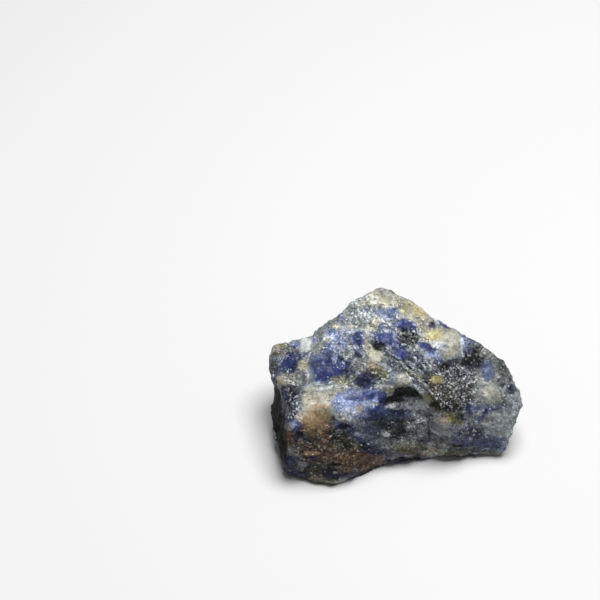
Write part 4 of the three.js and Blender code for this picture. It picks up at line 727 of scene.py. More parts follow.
kw -11.71 -13.41 12.41 0.22 0.16 0 1.3 0.8 0.6
kw -12.5 -13.15 13 0.22 0.16 0 1.2 0.8 0.6
wc -9.52 -13.74 10.7 0.51 0.2 -5 1.7 1 0.35
od -10.5 -14.25 9.48 1.98 1.07 0 3.2 1 0.35
d -9.9 -14.47 8.83 1.19 0.47 0 2.4 0.7 0.35
w -10.6 -14.58 9.17 0.18 0.16 0 1.2 1 0.35
c -9.31 -14.09 9.6 0.18 0.14 0 1.2 0.7 0.35
yc -8.51 -14.46 8.52 0.79 0.24 15 2.2 0.8 0.35
r -16.63 -15.54 9.16 3.35 0.79 0 7.4 0.95 0.35
rd -18.01 -15.42 8.73 1.58 0.4 0 3.2 0.7 0.35
t -16.82 -15.7 8.3 1.78 0.32 -3 3.7 0.9 0.35
rt -12.48 -16.17 8.39 2.76 1.38 0 5.3 0.9 0.35
r -10.27 -15.72 6.34 2.38 1.19 0 4.2 0.9 0.35
t -13.26 -16.42 7.17 1.98 0.59 0 5.9 0.6 0.35
ro -15.26 -15.33 10.42 1.58 0.59 0 2.6 0.6 0.35
ct -15.45 -15.49 10.16 0.35 0.2 -45 1.4 0.9 0.5
ct -14.27 -15.48 10.15 0.35 0.22 0 1.4 0.9 0.5
ct -14.46 -15.61 9.86 0.28 0.14 0 1.4 0.9 0.5
ct -13.28 -15.77 9.28 0.39 0.18 -35 1.4 0.9 0.5
ct -19.19 -15.71 7.7 0.4 0.18 -20 1.6 0.9 0.5
ct -19.19 -15.88 7.14 0.28 0.24 0 1.4 0.9 0.5
ct -11.88 -16.06 7.87 0.36 0.2 20 1.5 0.9 0.5
ct -11.08 -15.78 7.27 0.32 0.18 -30 1.6 0.9 0.5
ct -10.08 -15.02 7.66 0.2 0.36 30 1.5 0.9 0.5
ct -14.64 -16.29 6.71 0.32 0.16 30 1.6 0.9 0.5
ct -13.05 -16.3 6.11 0.24 0.16 0 1.4 0.9 0.5
ct -11.86 -16.01 6.22 0.59 0.12 0 1.9 0.9 0.5
ct -12.05 -16.55 5.09 0.36 0.14 0 1.6 0.9 0.5
ct -10.26 -16.46 5.07 0.48 0.18 0 1.6 0.9 0.5
ct -13.85 -16.46 6 0.28 0.16 0 1.5 0.9 0.5
ct -8.88 -14.97 6.99 0.28 0.2 0 1.4 0.9 0.5
ct -9.68 -15.31 6.62 0.18 0.14 0 1.3 0.9 0.5
sk -20.58 -15.71 7.86 1.39 1.3 0 3 0.95 0.75
is -20.98 -15.94 6.3 1.14 0.77 0 3 0.8 0.75
pi -16.62 -15.86 6.82 0.83 0.59 0 2.6 1 0.35
kg -18.8 -15.98 5.12 1.11 0.87 0 3.7 1 0.35
k -19 -16.07 5.84 0.67 0.4 0 2.5 0.7 0.35
w -18.8 -15.94 3.84 0.32 0.14 0 1.6 0.7 0.35
w -21.47 -15.87 6.12 0.22 0.14 0 1.4 1 0.35
id -21.58 -15.89 4.71 1.46 2.29 0 6.1 0.9 0.75
si -20.39 -15.25 2.42 1.98 0.75 -6 5.2 0.9 0.75
d -19 -16.1 6.39 0.79 0.24 -15 2 0.9 0.35
Ld 0.12 1 0.5 -19.39 -15.51 2.56 -18 -15.85 3.74 -16.61 -15.83 5.1
i -18.39 -15.81 1.84 1.15 0.37 -15 3.3 0.9 0.35
d -19.99 -15.27 1.82 0.6 0.2 -10 2.3 0.7 0.35
dg -15.61 -16.14 3.78 1.79 1.19 0 3.5 0.9 0.35
od -16.8 -16.15 2.56 1 0.8 0 2.6 0.7 0.35
rp -14.24 -16.52 5.3 0.52 0.4 0 1.9 0.8 0.35
d -12.85 -16.31 5.36 0.79 0.4 0 2.7 0.8 0.35
di -13.03 -16.35 4.03 1.39 0.52 0 3.4 0.8 0.35
kw -12.23 -16.51 3.76 0.32 0.24 0 1.4 0.8 0.35
k -14.42 -16.57 3.51 0.52 0.28 0 2 0.7 0.35
i -11.23 -16.81 2.73 2.98 0.55 0 5.1 1 0.35
is -13.02 -16.72 2.93 0.92 0.46 0 2.1 0.8 0.35
rp -16 -16.73 2.01 0.92 0.44 0 2.4 1 0.35
r -16.1 -16.68 1.95 0.4 0.2 0 1.7 0.8 0.35
gc -14.81 -16.97 1.99 0.4 0.28 0 1.6 0.8 0.35
g -11.21 -16.88 1.27 1.4 0.4 10 3.8 0.9 0.35
kt -14.8 -17.14 0.95 2.8 0.36 0 5.5 0.9 0.35
rd -18.19 -15.95 1.08 0.8 0.32 -25 2.5 0.8 0.35
dk -12 -17.07 0.71 1 0.2 0 2.7 0.7 0.35
sd -3.35 -11.16 11.65 2.77 1.07 0 5.5 0.95 0.75
s -5.76 -12.22 11.95 1.74 1.09 0 3.7 0.8 0.75
kw -7.98 -12.62 13.59 0.47 0.3 -35 1.7 1 0.35
k -7.17 -12.86 12.53 0.51 0.2 -40 1.6 1 0.35
si -1.92 -10.88 10.43 1.31 0.74 0 3.3 0.9 0.75
d -3.36 -11.1 11.87 0.79 0.4 0 2.2 0.6 0.35
k -2.36 -10.5 12.09 0.4 0.2 30 1.6 0.7 0.35
d 0.88 -10.55 10.05 1.27 0.72 0 2.5 1 0.35
dp 0.86 -9.85 11.36 1.27 0.4 0 2.5 1 0.35
d -0.27 -10.96 8.42 1.31 0.52 0 2.9 0.95 0.35
d 1.51 -10.68 8.99 0.6 0.4 0 1.9 0.9 0.35
d 0.34 -11.06 7.92 0.6 0.24 0 1.9 0.8 0.35
dk -1.5 -10.85 9.5 0.6 0.4 0 2.1 0.7 0.35
kw 3.29 -9.84 10.3 0.99 0.24 -25 2.1 1 0.35
k 2.5 -10.46 9.35 0.48 0.52 0 1.8 0.9 0.35
kl 4.25 -9.44 11.49 1.11 0.79 0 2.4 0.9 0.35
kc 5.12 -10.56 8.56 0.8 0.6 0 2.4 1 0.35
k 5.38 -10.57 7.06 0.6 0.4 -30 1.8 0.9 0.35
w 5.45 -10.54 10.04 0.2 0.2 0 1.3 0.8 0.35
k 3.72 -10.38 8.96 0.4 0.6 30 2.1 0.9 0.35
w 3.65 -10.65 7.76 0.24 0.2 0 1.3 0.8 0.35
d 6.52 -10.56 8.56 0.32 0.4 -30 2.9 0.8 0.35
d 3.07 -9.52 10.98 0.6 0.28 -10 1.8 0.7 0.35
d 4.66 -10.1 10.44 0.4 0.24 -20 1.6 0.6 0.35
od 3.34 -10.52 8.21 1 0.6 0 2.3 0.5 0.35
gk 7.95 -10.85 11.59 1.78 1.58 0 3.2 0.95 0.35
g 8.58 -11.05 10.62 1.39 0.91 0 3.4 0.6 0.35
k 7.43 -11.12 9.8 0.79 0.2 -20 2.5 0.8 0.35
wk -2.08 -11.15 8.93 1.07 0.44 -16 2.7 1 0.35
kw -2.71 -11.24 9.94 0.32 0.2 0 1.6 0.8 0.35
lw -7.55 -13.21 11.29 0.87 0.32 -15 2.8 1 0.35
lw -6.14 -13.01 10.16 0.67 0.3 -22 2.1 1 0.35
lw -7.74 -13.32 10.82 0.4 0.2 -20 1.6 0.8 0.35
sp -4.94 -12.07 10.88 1.09 0.65 0 2.9 0.8 0.75
i -6.92 -13.56 9.29 0.68 1.14 30 2.8 1 0.75
i -5.99 -13.47 7.67 0.64 0.82 25 2.7 1 0.75
is -4.84 -12.99 5.9 1.15 0.69 -20 2.9 1 0.75
dg -4.42 -13.11 4.97 0.72 0.36 -10 2.1 1 0.35
d -5.66 -13.39 6.67 0.4 0.24 -30 1.9 0.6 0.35
bs -8.13 -13.61 10.4 0.93 0.47 -10 2.3 0.8 0.35
kg -2.24 -11.82 6.97 2.39 1.12 0 4.4 0.9 0.35
kw -3.87 -12.24 7.61 0.32 0.24 0 1.6 0.8 0.35
g -1.02 -11.67 6.2 1.4 0.8 0 2.7 0.6 0.35
w -4.05 -12.37 7.01 0.28 0.18 30 1.5 0.7 0.35
k -2.02 -12.4 5.67 0.6 0.2 10 1.7 0.7 0.35
pi -2.21 -12.57 5.1 1 0.6 -15 2.7 1 0.35
ps -1.38 -12.57 4.19 0.6 0.4 0 2.4 0.8 0.35
og 0.02 -12.07 4.52 1 0.8 0 2.9 0.8 0.35
og 1.8 -11.69 5.61 1.6 1.6 0 3.5 0.7 0.35
c 1.16 -11.29 7.13 0.34 0.26 0 1.4 1 0.35
kc 1.19 -11.58 6.09 0.32 0.4 0 1.6 0.9 0.35
kc 2.35 -11 7.55 0.4 0.26 15 1.5 0.9 0.35
ct 3.79 -11.24 6.31 0.6 0.24 10 2 1 0.35
ct 2.98 -11.47 6.42 0.28 0.24 0 1.5 0.8 0.35
d 5.42 -10.79 6.1 0.32 0.4 0 1.8 0.7 0.35
tr 3.42 -11.39 5.26 2 1 0 4.3 0.8 0.35
rd 4.26 -11.26 4.5 0.68 0.22 -10 2.4 0.9 0.35
tc 3.93 -11.17 3.02 0.8 0.28 10 3.2 0.9 0.35
t 5.77 -10.75 2.68 0.81 0.6 30 2.2 0.8 0.35
r 2.84 -11.66 4.65 0.8 0.2 0 2.2 0.6 0.35
w 5.73 -10.67 3.66 0.32 0.12 0 1.7 0.6 0.35
di 3.18 -11.29 1.46 2.22 0.32 -2 6 0.95 0.35
kc -0.13 -12.29 2.78 0.8 0.18 4 2.6 0.9 0.35
dk -0.89 -12.31 1.72 1.01 0.28 12 3.2 0.9 0.35
sk -1.72 -12.39 2.44 0.57 0.66 0 2.5 0.8 0.75
d 0.94 -11.85 1.49 1.01 0.2 0 3.4 0.7 0.35
d 4.57 -11.11 2.17 0.6 0.24 -20 1.8 0.6 0.35
r -5.8 -13.61 3.87 3.4 1.6 -8 9 1 0.35
r -7.88 -14.73 6.71 1.59 0.99 0 4 0.9 0.35
rp -3.57 -13.21 3.09 1 0.8 0 2.7 0.9 0.35
r -3.94 -13.23 1.88 0.8 0.4 0 2.4 0.7 0.35
rd -8.49 -14.79 7.38 0.79 0.28 -20 2.1 0.7 0.35
tc -8.27 -14.99 6.26 0.52 0.16 0 1.9 0.9 0.35
t -7.86 -14.96 5.3 0.32 0.14 0 1.6 0.8 0.35
t -3.8 -13.08 4.17 0.4 0.2 0 1.7 0.6 0.35
c -8.49 -14.86 7.16 0.24 0.16 0 1.3 0.8 0.35
ot -6.88 -14.17 6.97 1.39 0.24 -28 3.2 0.6 0.35
od -8.12 -14.03 9.38 1.19 0.71 0 2.6 0.9 0.35
d -6.16 -14.4 1.1 3.21 0.52 18 6.4 0.8 0.35
k -7.78 -15.07 1.11 0.4 0.32 0 1.6 0.7 0.35
rk -8.85 -16.07 4.31 1.99 0.4 0 8.2 0.6 0.35
g -2.37 -12.68 3.69 0.4 0.6 0 2.2 0.6 0.35
oy 10.96 -9.97 11.79 1.98 1.07 -5 3.5 1 0.35
o 10.75 -10.15 11.69 0.99 0.71 0 2.4 0.8 0.35
y 9.73 -10.45 12.03 0.67 0.59 0 1.9 0.6 0.75
yo 13 -9.92 10.84 0.48 0.48 0 1.8 0.8 0.35
d 12.38 -9.42 11.77 0.6 0.48 0 1.8 0.8 0.35
d 12.99 -8.98 11.87 0.4 0.32 0 1.5 0.8 0.35
d 6.35 -10.02 12.74 0.59 0.32 0 1.9 0.7 0.35
k 11.57 -10.36 11.04 0.6 0.16 20 1.6 0.6 0.35
w 11.67 -10.17 11.27 0.24 0.12 -20 1.2 0.7 0.35
kp 10.98 -10.91 10.46 1.39 0.48 0 2.5 0.9 0.35
w 11.38 -10.92 10.32 0.26 0.16 0 1.3 1 0.35
Lkw 0.07 0.9 0.5 11.8 -11.06 9.73 12.63 -10.55 9.76 13.24 -10.13 9.87
k 9.57 -10.97 10.83 0.2 0.2 0 1.3 0.8 0.35
g 15.11 -9.42 9.37 1.4 0.8 0 2.7 0.8 0.35
Lk 0.09 0.7 0.5 13.45 -10.05 9.79 14.26 -9.38 10.23 15.5 -8.76 10.13
gs 14.08 -9.96 9.23 0.8 0.28 0 2.2 0.6 0.35
s 14.05 -9.99 6.39 3.4 1.6 0 8 0.95 0.75
sp 11.74 -11.28 6.96 2.2 0.88 0 9 0.6 0.75
i 15.02 -9.52 7.38 1.15 0.55 0 3.3 0.9 0.35
i 16.47 -9.17 6.97 0.92 0.69 0 2.8 0.9 0.75
si 14.93 -9.68 5.42 1.99 0.88 0 4.6 0.8 0.75
d 13.07 -10.61 8.92 0.4 0.2 -30 1.6 0.7 0.35
w 14.59 -9.79 7.59 0.3 0.22 0 1.8 0.9 0.5
w 15.68 -9.33 6.55 0.2 0.36 0 1.7 0.9 0.5
w 14.81 -9.68 5.72 0.2 0.26 0 1.5 0.9 0.5
w 13.93 -10.36 8.09 0.22 0.16 0 1.6 0.9 0.5
w 16.86 -9.49 5.2 0.16 0.22 0 1.4 0.9 0.5
w 13.56 -10.49 7.42 0.2 0.14 0 1.6 0.9 0.5
w 12.33 -11.25 7.15 0.18 0.1 0 1.7 0.9 0.5
w 13.43 -10.41 6.27 0.16 0.1 0 1.4 0.9 0.5
s 18.24 -9.51 4 1.77 0.97 0 3.6 1 0.75
sl 17.88 -9.58 3.31 0.89 0.35 0 2.5 0.5 0.35
sb 20.44 -9.39 4.33 1.55 0.66 0 3.2 0.9 0.75
si 19.9 -9.54 3.27 1.55 0.27 0 4 0.9 0.35
sl 21.73 -9.4 3.26 1.33 1.33 30 3.9 0.9 0.75
gs 19.56 -9.62 2.29 1.61 0.4 0 3.8 0.8 0.35
sk 16.81 -9.14 7.85 1.1 0.88 0 2.7 0.7 0.75
gk 20.44 -8.53 8.06 3 2.4 0 4.7 0.95 0.35
g 21.22 -7.71 9.24 1.8 1.2 0 3.8 0.5 0.35
gk 22.68 -8.04 8.11 0.8 1.6 0 2.5 0.7 0.35
dk 18.8 -8.01 9.28 0.38 0.18 -10 1.4 1 0.35
yg 17.78 -8.3 9.15 0.8 0.48 0 1.9 0.8 0.35
gc 18.76 -7.59 10.16 1 0.48 0 2 0.7 0.35
dk 19.78 -7.74 9.79 0.4 0.2 0 1.4 0.6 0.35
si 16.75 -8.14 9.88 0.88 0.75 0 2.3 1 0.75
sl 17.76 -7.7 10.13 0.66 0.31 0 2.1 0.8 0.35
w 18.06 -9.08 7.17 0.28 0.22 0 1.5 0.9 0.5
w 19.03 -8.91 7.8 0.22 0.18 0 1.3 0.9 0.5
w 19.85 -9.01 6.08 0.22 0.18 0 1.4 0.9 0.5
w 21.17 -9 5.86 0.26 0.21 0 1.4 0.9 0.5
w 20.31 -9.16 5.04 0.22 0.18 0 1.3 0.9 0.5
w 18.91 -9.38 4.77 0.18 0.14 0 1.3 0.9 0.5
w 17.09 -9.22 6.54 0.18 0.14 0 1.3 0.9 0.5
w 20.86 -8.61 7.69 0.16 0.13 0 1.2 0.9 0.5
dg 21.43 -8.9 6.5 0.52 0.32 0 1.6 0.8 0.35
d 17.61 -8.97 8.11 0.24 0.24 0 1.4 0.6 0.35
kl 22.07 -9.08 4.43 0.6 0.6 0 2 0.6 0.35
go 12.58 -10.75 3.29 4.42 0.8 0 9 0.95 0.35
og 10.95 -10.92 3.49 2.01 0.6 0 4.6 0.6 0.35
d 11.87 -11.04 5.01 0.68 0.2 0 2.6 0.9 0.35
d 12.76 -10.91 5.17 0.28 0.2 0 1.7 0.9 0.35
oc 9.99 -10.76 2.68 1.21 0.16 10 3.6 0.7 0.35
dk 16.12 -9.98 2.09 1.01 0.61 0 2.7 0.8 0.35
k 13.67 -10.4 2.11 0.24 0.2 0 2.2 0.8 0.35
oy 18.37 -9.64 2.01 1.82 0.57 0 4 0.8 0.35
d 14.36 -10.08 0.97 1.62 0.24 -4 4.3 0.7 0.35
tk 21.24 -9.49 1.52 0.61 0.32 0 2.2 0.7 0.35
ps 8.19 -10.58 6.92 1.4 0.52 0 7.5 0.9 0.35
k 10.01 -10.98 6.01 1 0.4 0 2.9 0.6 0.35
sk 10.11 -11.33 7.63 1.32 0.44 0 4.2 0.7 0.35
w 7.86 -10.68 7.4 0.2 0.16 0 1.9 0.7 0.35
kg 7.71 -10.5 4.53 1.2 0.6 0 3.2 0.8 0.35
oy 7.37 -10.35 3.28 0.8 0.32 0 2.5 0.6 0.35
kc 6.3 -10.45 4.48 0.4 0.24 30 1.8 0.7 0.35
w 10.14 -10.95 3.53 0.16 0.12 0 1.4 0.6 0.35
Ld 1.03 0.97 0.3 -24.44 -1.05 11.44 -24.25 -2.18 9.09 -24.03 -4.69 8.26 -23.82 -6.9 7.12 -23.5 -9.83 6.81 -22.99 -12.01 5.68 -22.39 -13.72 4
dg -22.99 -8.6 9.64 0.4 0.28 0 2.6 0.6 0.35
di -22.18 -14.59 5.02 0.52 1.19 0 7 0.9 0.35
cw -3.17 10.01 26.33 2.8 1.6 -8 5.1 0.8 0.35
cw -1 8.64 25.99 1.6 0.8 -30 3.7 0.6 0.35
Lw 0.11 0.9 0.5 -6.32 11.28 25.2 -5.37 9.61 25.59 -4.39 8.55 25.37 -3.4 7.79 25.15
w -0.59 8.95 25.97 0.8 0.28 -25 2.4 0.8 0.35
w -1.37 9.81 26.24 0.6 0.2 -10 1.9 0.7 0.35
cw 1.03 9.43 25.77 1.4 0.8 -25 3.5 0.8 0.35
kc -2.4 8.67 25.97 0.8 0.6 0 2.1 0.5 0.35
c -4.35 10.81 26.37 1.2 0.6 20 2.7 0.5 0.35
gw -8.13 9.76 23.45 2.21 1.81 10 4.2 0.5 0.35
gk -9.14 9 22.79 1.61 1.01 30 3.2 0.5 0.35
Lg 0.14 0.5 0.5 -9.32 11.39 24.09 -7.92 10.45 23.89 -6.73 9.25 23.68
c -7.12 10.42 24.21 1.01 0.6 20 2.3 0.4 0.35
c 2.63 8.63 25.15 1.8 1 -25 3.3 0.85 0.35
yc 2.23 8.74 25.33 0.6 0.4 0 1.8 0.5 0.35
c 4.83 7.45 24.07 1.8 1 -30 4 0.85 0.35
yc 5.02 7.22 24.02 0.72 0.44 -30 2.4 0.5 0.35
cg 3.19 7.06 24.46 1.8 0.8 -25 4.4 0.8 0.35
lc 0.59 7.4 24.98 0.6 1.2 20 2.3 0.6 0.75
t 1.56 6 24.41 0.8 0.28 -30 2.3 0.35 0.35
cw 3.07 9.87 25.33 1.2 0.4 -15 2.9 0.7 0.35
t 3.48 9.78 25.14 0.8 0.18 -20 2.3 0.5 0.35
w 2.6 7.47 24.62 0.4 0.2 -20 1.6 0.7 0.35
w 3.97 6.21 24.19 0.4 0.18 -20 1.7 0.6 0.35
ls -3.6 7.42 24.82 3 0.8 -5 4.5 0.85 0.75
lw -4.78 7.64 24.31 1.6 0.44 -12 4 0.8 0.35
w -4.98 7.83 24.25 1 0.2 -20 2.8 0.75 0.35
s -1.22 6.86 24.95 1.54 0.79 -10 2.4 0.9 0.75
b -1.02 7.18 25.2 0.94 0.47 -10 1.9 0.6 0.35
ls -2.62 7.55 25.39 1.4 0.36 0 2.9 0.7 0.35
w -3.01 6.72 24.53 1.2 0.18 -30 2.6 0.8 0.35
w -6.55 8.43 23.36 0.48 0.2 20 1.7 0.7 0.35
ck -4.2 5.67 23.03 1 1.28 0 2.7 0.75 0.35
tc -3.8 6.04 23.23 0.6 0.8 0 2 0.4 0.35
gk -5.78 6.75 23.07 1 0.8 0 2.6 0.5 0.35
ls -1.21 5.78 23.49 1.8 1 -35 3.5 0.8 0.75
s -0.43 6 24.12 1.32 0.66 -35 2.8 0.7 0.75
wl -1.81 6.06 23.77 1.4 0.28 -35 2.5 0.8 0.35
Lw 0.08 0.85 0.5 -3.21 6.66 24.3 -2.01 6.05 23.78 -0.84 4.88 23.27 0.11 3.43 23.33
Lw 0.07 0.85 0.5 -2.02 6.56 24.69 -0.62 5.77 23.79 0.52 4.1 23.79
Lw 0.07 0.8 0.5 -2.61 5.96 23.59 -1.63 4.98 23.16
bs -2.43 4.65 22.93 1.18 0.94 0 2.8 0.7 0.75
w -2.05 3.93 22.81 0.44 0.2 -35 1.6 0.8 0.35
lw -0.85 4.26 23.05 0.6 0.28 -35 1.9 0.7 0.35
i 2.12 4.67 24.06 1.74 0.82 -12 3.3 0.95 0.75
b 0.75 5.08 23.92 0.94 0.52 0 2.6 0.8 0.35
b 2.73 5.18 24.21 1.18 0.31 -10 2.7 0.7 0.35
ip 3.6 3.6 23.44 0.43 1.1 10 2.3 0.9 0.35
d 2.26 1.89 22.78 2.11 1.39 -15 3.2 0.97 0.35
kw 0.69 2.57 22.93 0.4 0.87 0 2.1 0.75 0.35
w 0.5 3.2 23.28 0.18 0.14 0 1.2 0.95 0.5
w 0.89 2.54 22.97 0.18 0.14 0 1.2 0.95 0.5
w 1.48 2.71 23.22 0.18 0.14 0 1.2 0.95 0.5
w 1.27 1.88 22.65 0.18 0.14 0 1.2 0.95 0.5
w 1.98 2.91 23.44 0.18 0.14 0 1.2 0.95 0.5
w 2.17 2.35 23.01 0.18 0.14 0 1.2 0.95 0.5
w 2.87 2.59 23.05 0.18 0.14 0 1.2 0.95 0.5
w 2.66 1.72 22.66 0.18 0.14 0 1.2 0.95 0.5
w 3.37 2.12 22.68 0.18 0.14 0 1.2 0.95 0.5
w 3.64 1.29 22.4 0.18 0.14 0 1.2 0.95 0.5
w 1.85 1.11 22.3 0.18 0.14 0 1.2 0.95 0.5
w 2.84 0.84 22.29 0.18 0.14 0 1.2 0.95 0.5
w 0.67 1.43 22.26 0.18 0.14 0 1.2 0.95 0.5
w 3.98 2.41 22.67 0.18 0.14 0 1.3 0.95 0.5
w 1.64 0.33 21.97 0.18 0.14 0 1.3 0.95 0.5
w 3.29 3.03 23.17 0.18 0.14 0 1.2 0.95 0.5
w 2.45 1.28 22.41 0.18 0.14 0 1.2 0.95 0.5
Lcw 0.1 0.8 0.5 4.05 5.73 24.11 4.41 4.12 23.48 4.78 2.5 22.57 4.85 1.6 22.37
g -7.4 4.89 22.11 1.6 0.44 0 4.1 0.8 0.35
i -7.53 2.76 21.44 1.28 1.47 0 4.2 0.95 0.75
b -7.91 3.51 21.24 0.94 0.94 0 2.6 0.6 0.75
ib -7.03 3 21.77 0.69 0.92 0 2.3 0.8 0.75
g -6.05 1.98 21.68 0.4 1.19 0 2.7 0.6 0.35
cw -8.98 5.79 21.9 1.12 0.44 0 2.9 0.9 0.35
gk -10.56 6.72 21.67 0.72 0.6 0 2.3 0.8 0.35
ls -10.19 4.01 21.01 1.28 1.48 0 2.9 0.75 0.75
s -9.6 3.19 20.7 0.88 0.88 0 2.2 0.5 0.75
w -8.44 1.39 20.85 0.52 0.32 0 1.7 0.95 0.35
sl -9.55 0.07 20.22 1.23 1.31 0 2.9 0.8 0.75
k -9.84 0.54 20.3 0.8 0.6 0 2.1 0.5 0.35
w -9.26 -0.79 19.97 0.28 0.18 -20 1.4 0.8 0.35
i -7.67 -0.5 20.25 0.82 0.59 -20 2.1 0.95 0.75
di -6.19 -1.05 20.11 0.38 0.34 0 1.6 0.9 0.35
kl -7.06 0.46 20.53 0.8 0.6 0 2.1 0.6 0.35
b -2.08 2.53 22.54 2.11 1.22 -15 4 0.85 0.75
bi -0.9 1.91 22.33 1.41 0.94 -25 2.9 0.8 0.75
pb -4.06 2.79 22.27 0.68 0.44 0 2.1 0.9 0.35
i -0.32 1.29 22.11 0.69 0.46 -30 1.8 0.8 0.35
lb -2.65 3.53 22.65 0.6 0.28 -20 1.9 0.6 0.35
d -3.89 1 21.72 1.55 0.78 -8 2.8 0.98 0.35
d -2.71 0.55 21.57 0.79 0.44 -20 1.9 0.97 0.35
Lwl 0.08 0.9 0.5 -3.48 2.01 22.22 -2.5 1.42 22.09 -1.52 0.65 21.74
c -6.06 1.05 21.21 0.48 0.8 20 2 0.8 0.35
Ld 0.08 0.95 0.5 -1.92 0.4 21.61 -0.76 -0.73 21.36 0.41 -1.71 20.95
Lw 0.07 0.95 0.5 -1.52 0.57 21.71 -0.35 -0.48 21.38 0.81 -1.66 21.04
Ld 0.06 0.85 0.5 -1.12 0.74 21.82 0.05 -0.28 21.46 1.02 -1.13 21.2
Ld 0.08 0.95 0.5 -2.52 -0.11 21.28 -1.36 -1.34 21.14 -0.39 -2.26 20.67
Lw 0.07 0.95 0.5 -2.53 -0.49 21.1 -1.56 -1.51 20.89 -0.78 -2.35 20.48
Lw 0.05 0.95 0.5 -2.12 -0.05 21.36 -1.16 -1.07 21.28 0.01 -2.07 20.75
bs 1.04 0.02 21.71 1.87 1.17 -20 3.4 0.8 0.75
b 1.42 -0.77 21.4 1.17 0.94 0 2.4 0.85 0.75
i 1.79 -1.64 21.16 0.68 0.55 0 2 0.7 0.35
l 0.46 0.67 21.89 0.48 0.24 -20 1.6 0.5 0.35
ds 2.37 -2.32 21.02 0.79 0.71 -30 2.1 0.85 0.35
sd 3.39 -0.81 21.73 1.31 1.31 0 2.6 0.8 0.75
Lw 0.07 0.85 0.5 2.63 0.44 22.14 3.59 -0.64 21.84 4.34 -1.9 21.43
Lw 0.06 0.85 0.5 3.23 0.82 22.31 4.19 -0.28 22.03 4.75 -1.39 21.77
Ld 0.08 0.85 0.5 2.23 0.26 22.04 3.19 -0.98 21.62 3.95 -2.19 21.17
Lwl 0.06 0.8 0.5 2.61 -0.39 21.86 3.38 -1.36 21.45
b 5.61 0.59 22.13 1.17 0.8 -20 2.9 0.95 0.75
bi 6.79 0.01 21.73 1.17 0.66 -22 2.6 0.85 0.75
b 7.99 -0.46 21.21 0.84 0.66 -30 2.7 0.85 0.75
wl 4.63 1.08 22.33 0.36 0.32 0 1.6 0.8 0.35
w 5.35 -1.02 21.95 0.79 0.32 -35 2.5 0.95 0.35
wl 6.12 -1.85 21.68 0.99 0.44 -30 2.4 0.9 0.35
s 7.74 -1.61 21.14 0.87 0.65 0 2.4 0.6 0.75
cy 7.94 3.71 22.19 1.8 1.28 0 4.5 0.85 0.35
y 6.88 2.49 22.29 0.52 0.48 0 1.8 0.8 0.35
y 8.77 4.15 22.01 0.8 0.6 0 2.5 0.6 0.75
cy 6.13 3.77 22.69 0.6 0.8 0 2.2 0.6 0.35
tc 5.71 3.26 22.64 0.32 0.6 0 1.8 0.5 0.35
gc 11.13 2.17 20.62 1.68 2.39 0 4.6 0.75 0.35
c 10.2 4.36 21.51 1.2 1 0 3.7 0.6 0.35
cw 12.02 3.91 20.82 0.6 0.8 0 3 0.5 0.35
wl 7.85 1.33 21.78 1.39 0.68 -15 2.9 0.85 0.35
w 6.64 1.52 22.16 0.8 0.4 0 2.2 0.6 0.35
ps 9.27 1.61 21.49 0.72 0.22 -20 1.9 0.95 0.35
gc 10.01 -0.71 20.18 1.19 0.6 0 2.6 0.7 0.35
b 10.32 6.62 21.62 0.95 0.57 -20 2.9 0.97 0.35
l 9.11 7.13 22.25 0.8 0.3 -25 2.8 0.85 0.35
wl 11.43 6.32 21.07 0.8 0.28 -30 2.4 0.85 0.35
p 7.08 5.42 23.14 0.56 0.44 0 1.7 0.95 0.35
gw 8.21 5.72 22.7 0.6 0.4 0 1.9 0.6 0.35
c 8.81 5.17 22.11 0.6 0.4 0 2 0.6 0.35
sk 14.06 3.23 19.51 0.75 1.23 12 3 0.95 0.75
ps 14.72 4.34 19.51 0.6 0.6 0 2.4 0.6 0.35
s 13.6 2.07 19.27 0.66 0.66 0 2.3 0.8 0.75
Lw 0.1 0.9 0.5 12.74 3.84 20.32 12.89 2.52 19.96 13.15 1.36 19.44 13.53 0.5 18.9
sd 15.38 4.89 19.22 1.33 0.66 -35 3.7 0.85 0.75
dk 14.18 5.79 20.02 0.8 0.32 -30 2.8 0.8 0.35
w 14.38 5.56 19.69 0.2 0.14 -20 1.5 0.9 0.5
w 14.98 5.15 19.39 0.2 0.14 -20 1.4 0.9 0.5
w 15.77 4.39 18.88 0.2 0.14 -20 1.3 0.9 0.5
w 15.33 3.63 18.66 0.2 0.14 -20 1.3 0.9 0.5
w 16.19 4.11 18.3 0.2 0.14 -20 1.3 0.9 0.5
w 13.37 5.83 20.13 0.2 0.14 -20 1.4 0.9 0.5
w 14.68 2.81 18.65 0.2 0.14 -20 1.3 0.9 0.5
d 15.63 1.27 17.93 1.8 1.28 -25 3.6 0.98 0.35
d 16.86 0.94 17.26 0.8 1 15 2.5 0.98 0.35
d 14.04 -0.27 17.97 1 0.68 0 2.3 0.95 0.35
w 15.3 2.47 18.12 0.22 0.18 0 1.4 0.95 0.35
k 15.61 0.56 17.67 0.28 0.24 0 1.4 0.8 0.35
w 16.29 3.52 17.75 0.2 0.16 0 1.3 0.8 0.35
w 14.78 0.66 18.15 0.16 0.14 0 1.2 0.8 0.35
Lc 0.21 0.85 0.5 16.8 3.75 17.8 17.99 2.81 17.18 19.34 1.63 16.83
gk 19.36 2.26 17.04 1.2 0.52 -40 2.5 0.85 0.35
Lw 0.08 0.8 0.5 17.79 3.21 17.49 18.75 2.22 17.22
Ldg 0.06 0.6 0.5 18.57 2.84 17.45 20.16 1.75 16.7 21.34 0.59 15.88
si 17.89 1.15 17.04 0.97 0.66 -10 2.4 0.85 0.75
s 18.4 -0.64 16.62 1.14 1.76 8 3.2 0.85 0.75
s 17.92 -2.31 16.06 0.88 0.75 0 2.4 0.85 0.75
i 18.51 -2.71 15.79 0.69 0.41 0 2.1 0.85 0.35
s 18.64 0.09 16.71 0.44 0.88 0 2.4 0.6 0.35
wl 19.19 -1.22 16.07 0.24 0.6 0 1.8 0.7 0.35
lw 17.77 -1.13 16.55 0.24 0.4 20 1.5 0.7 0.35
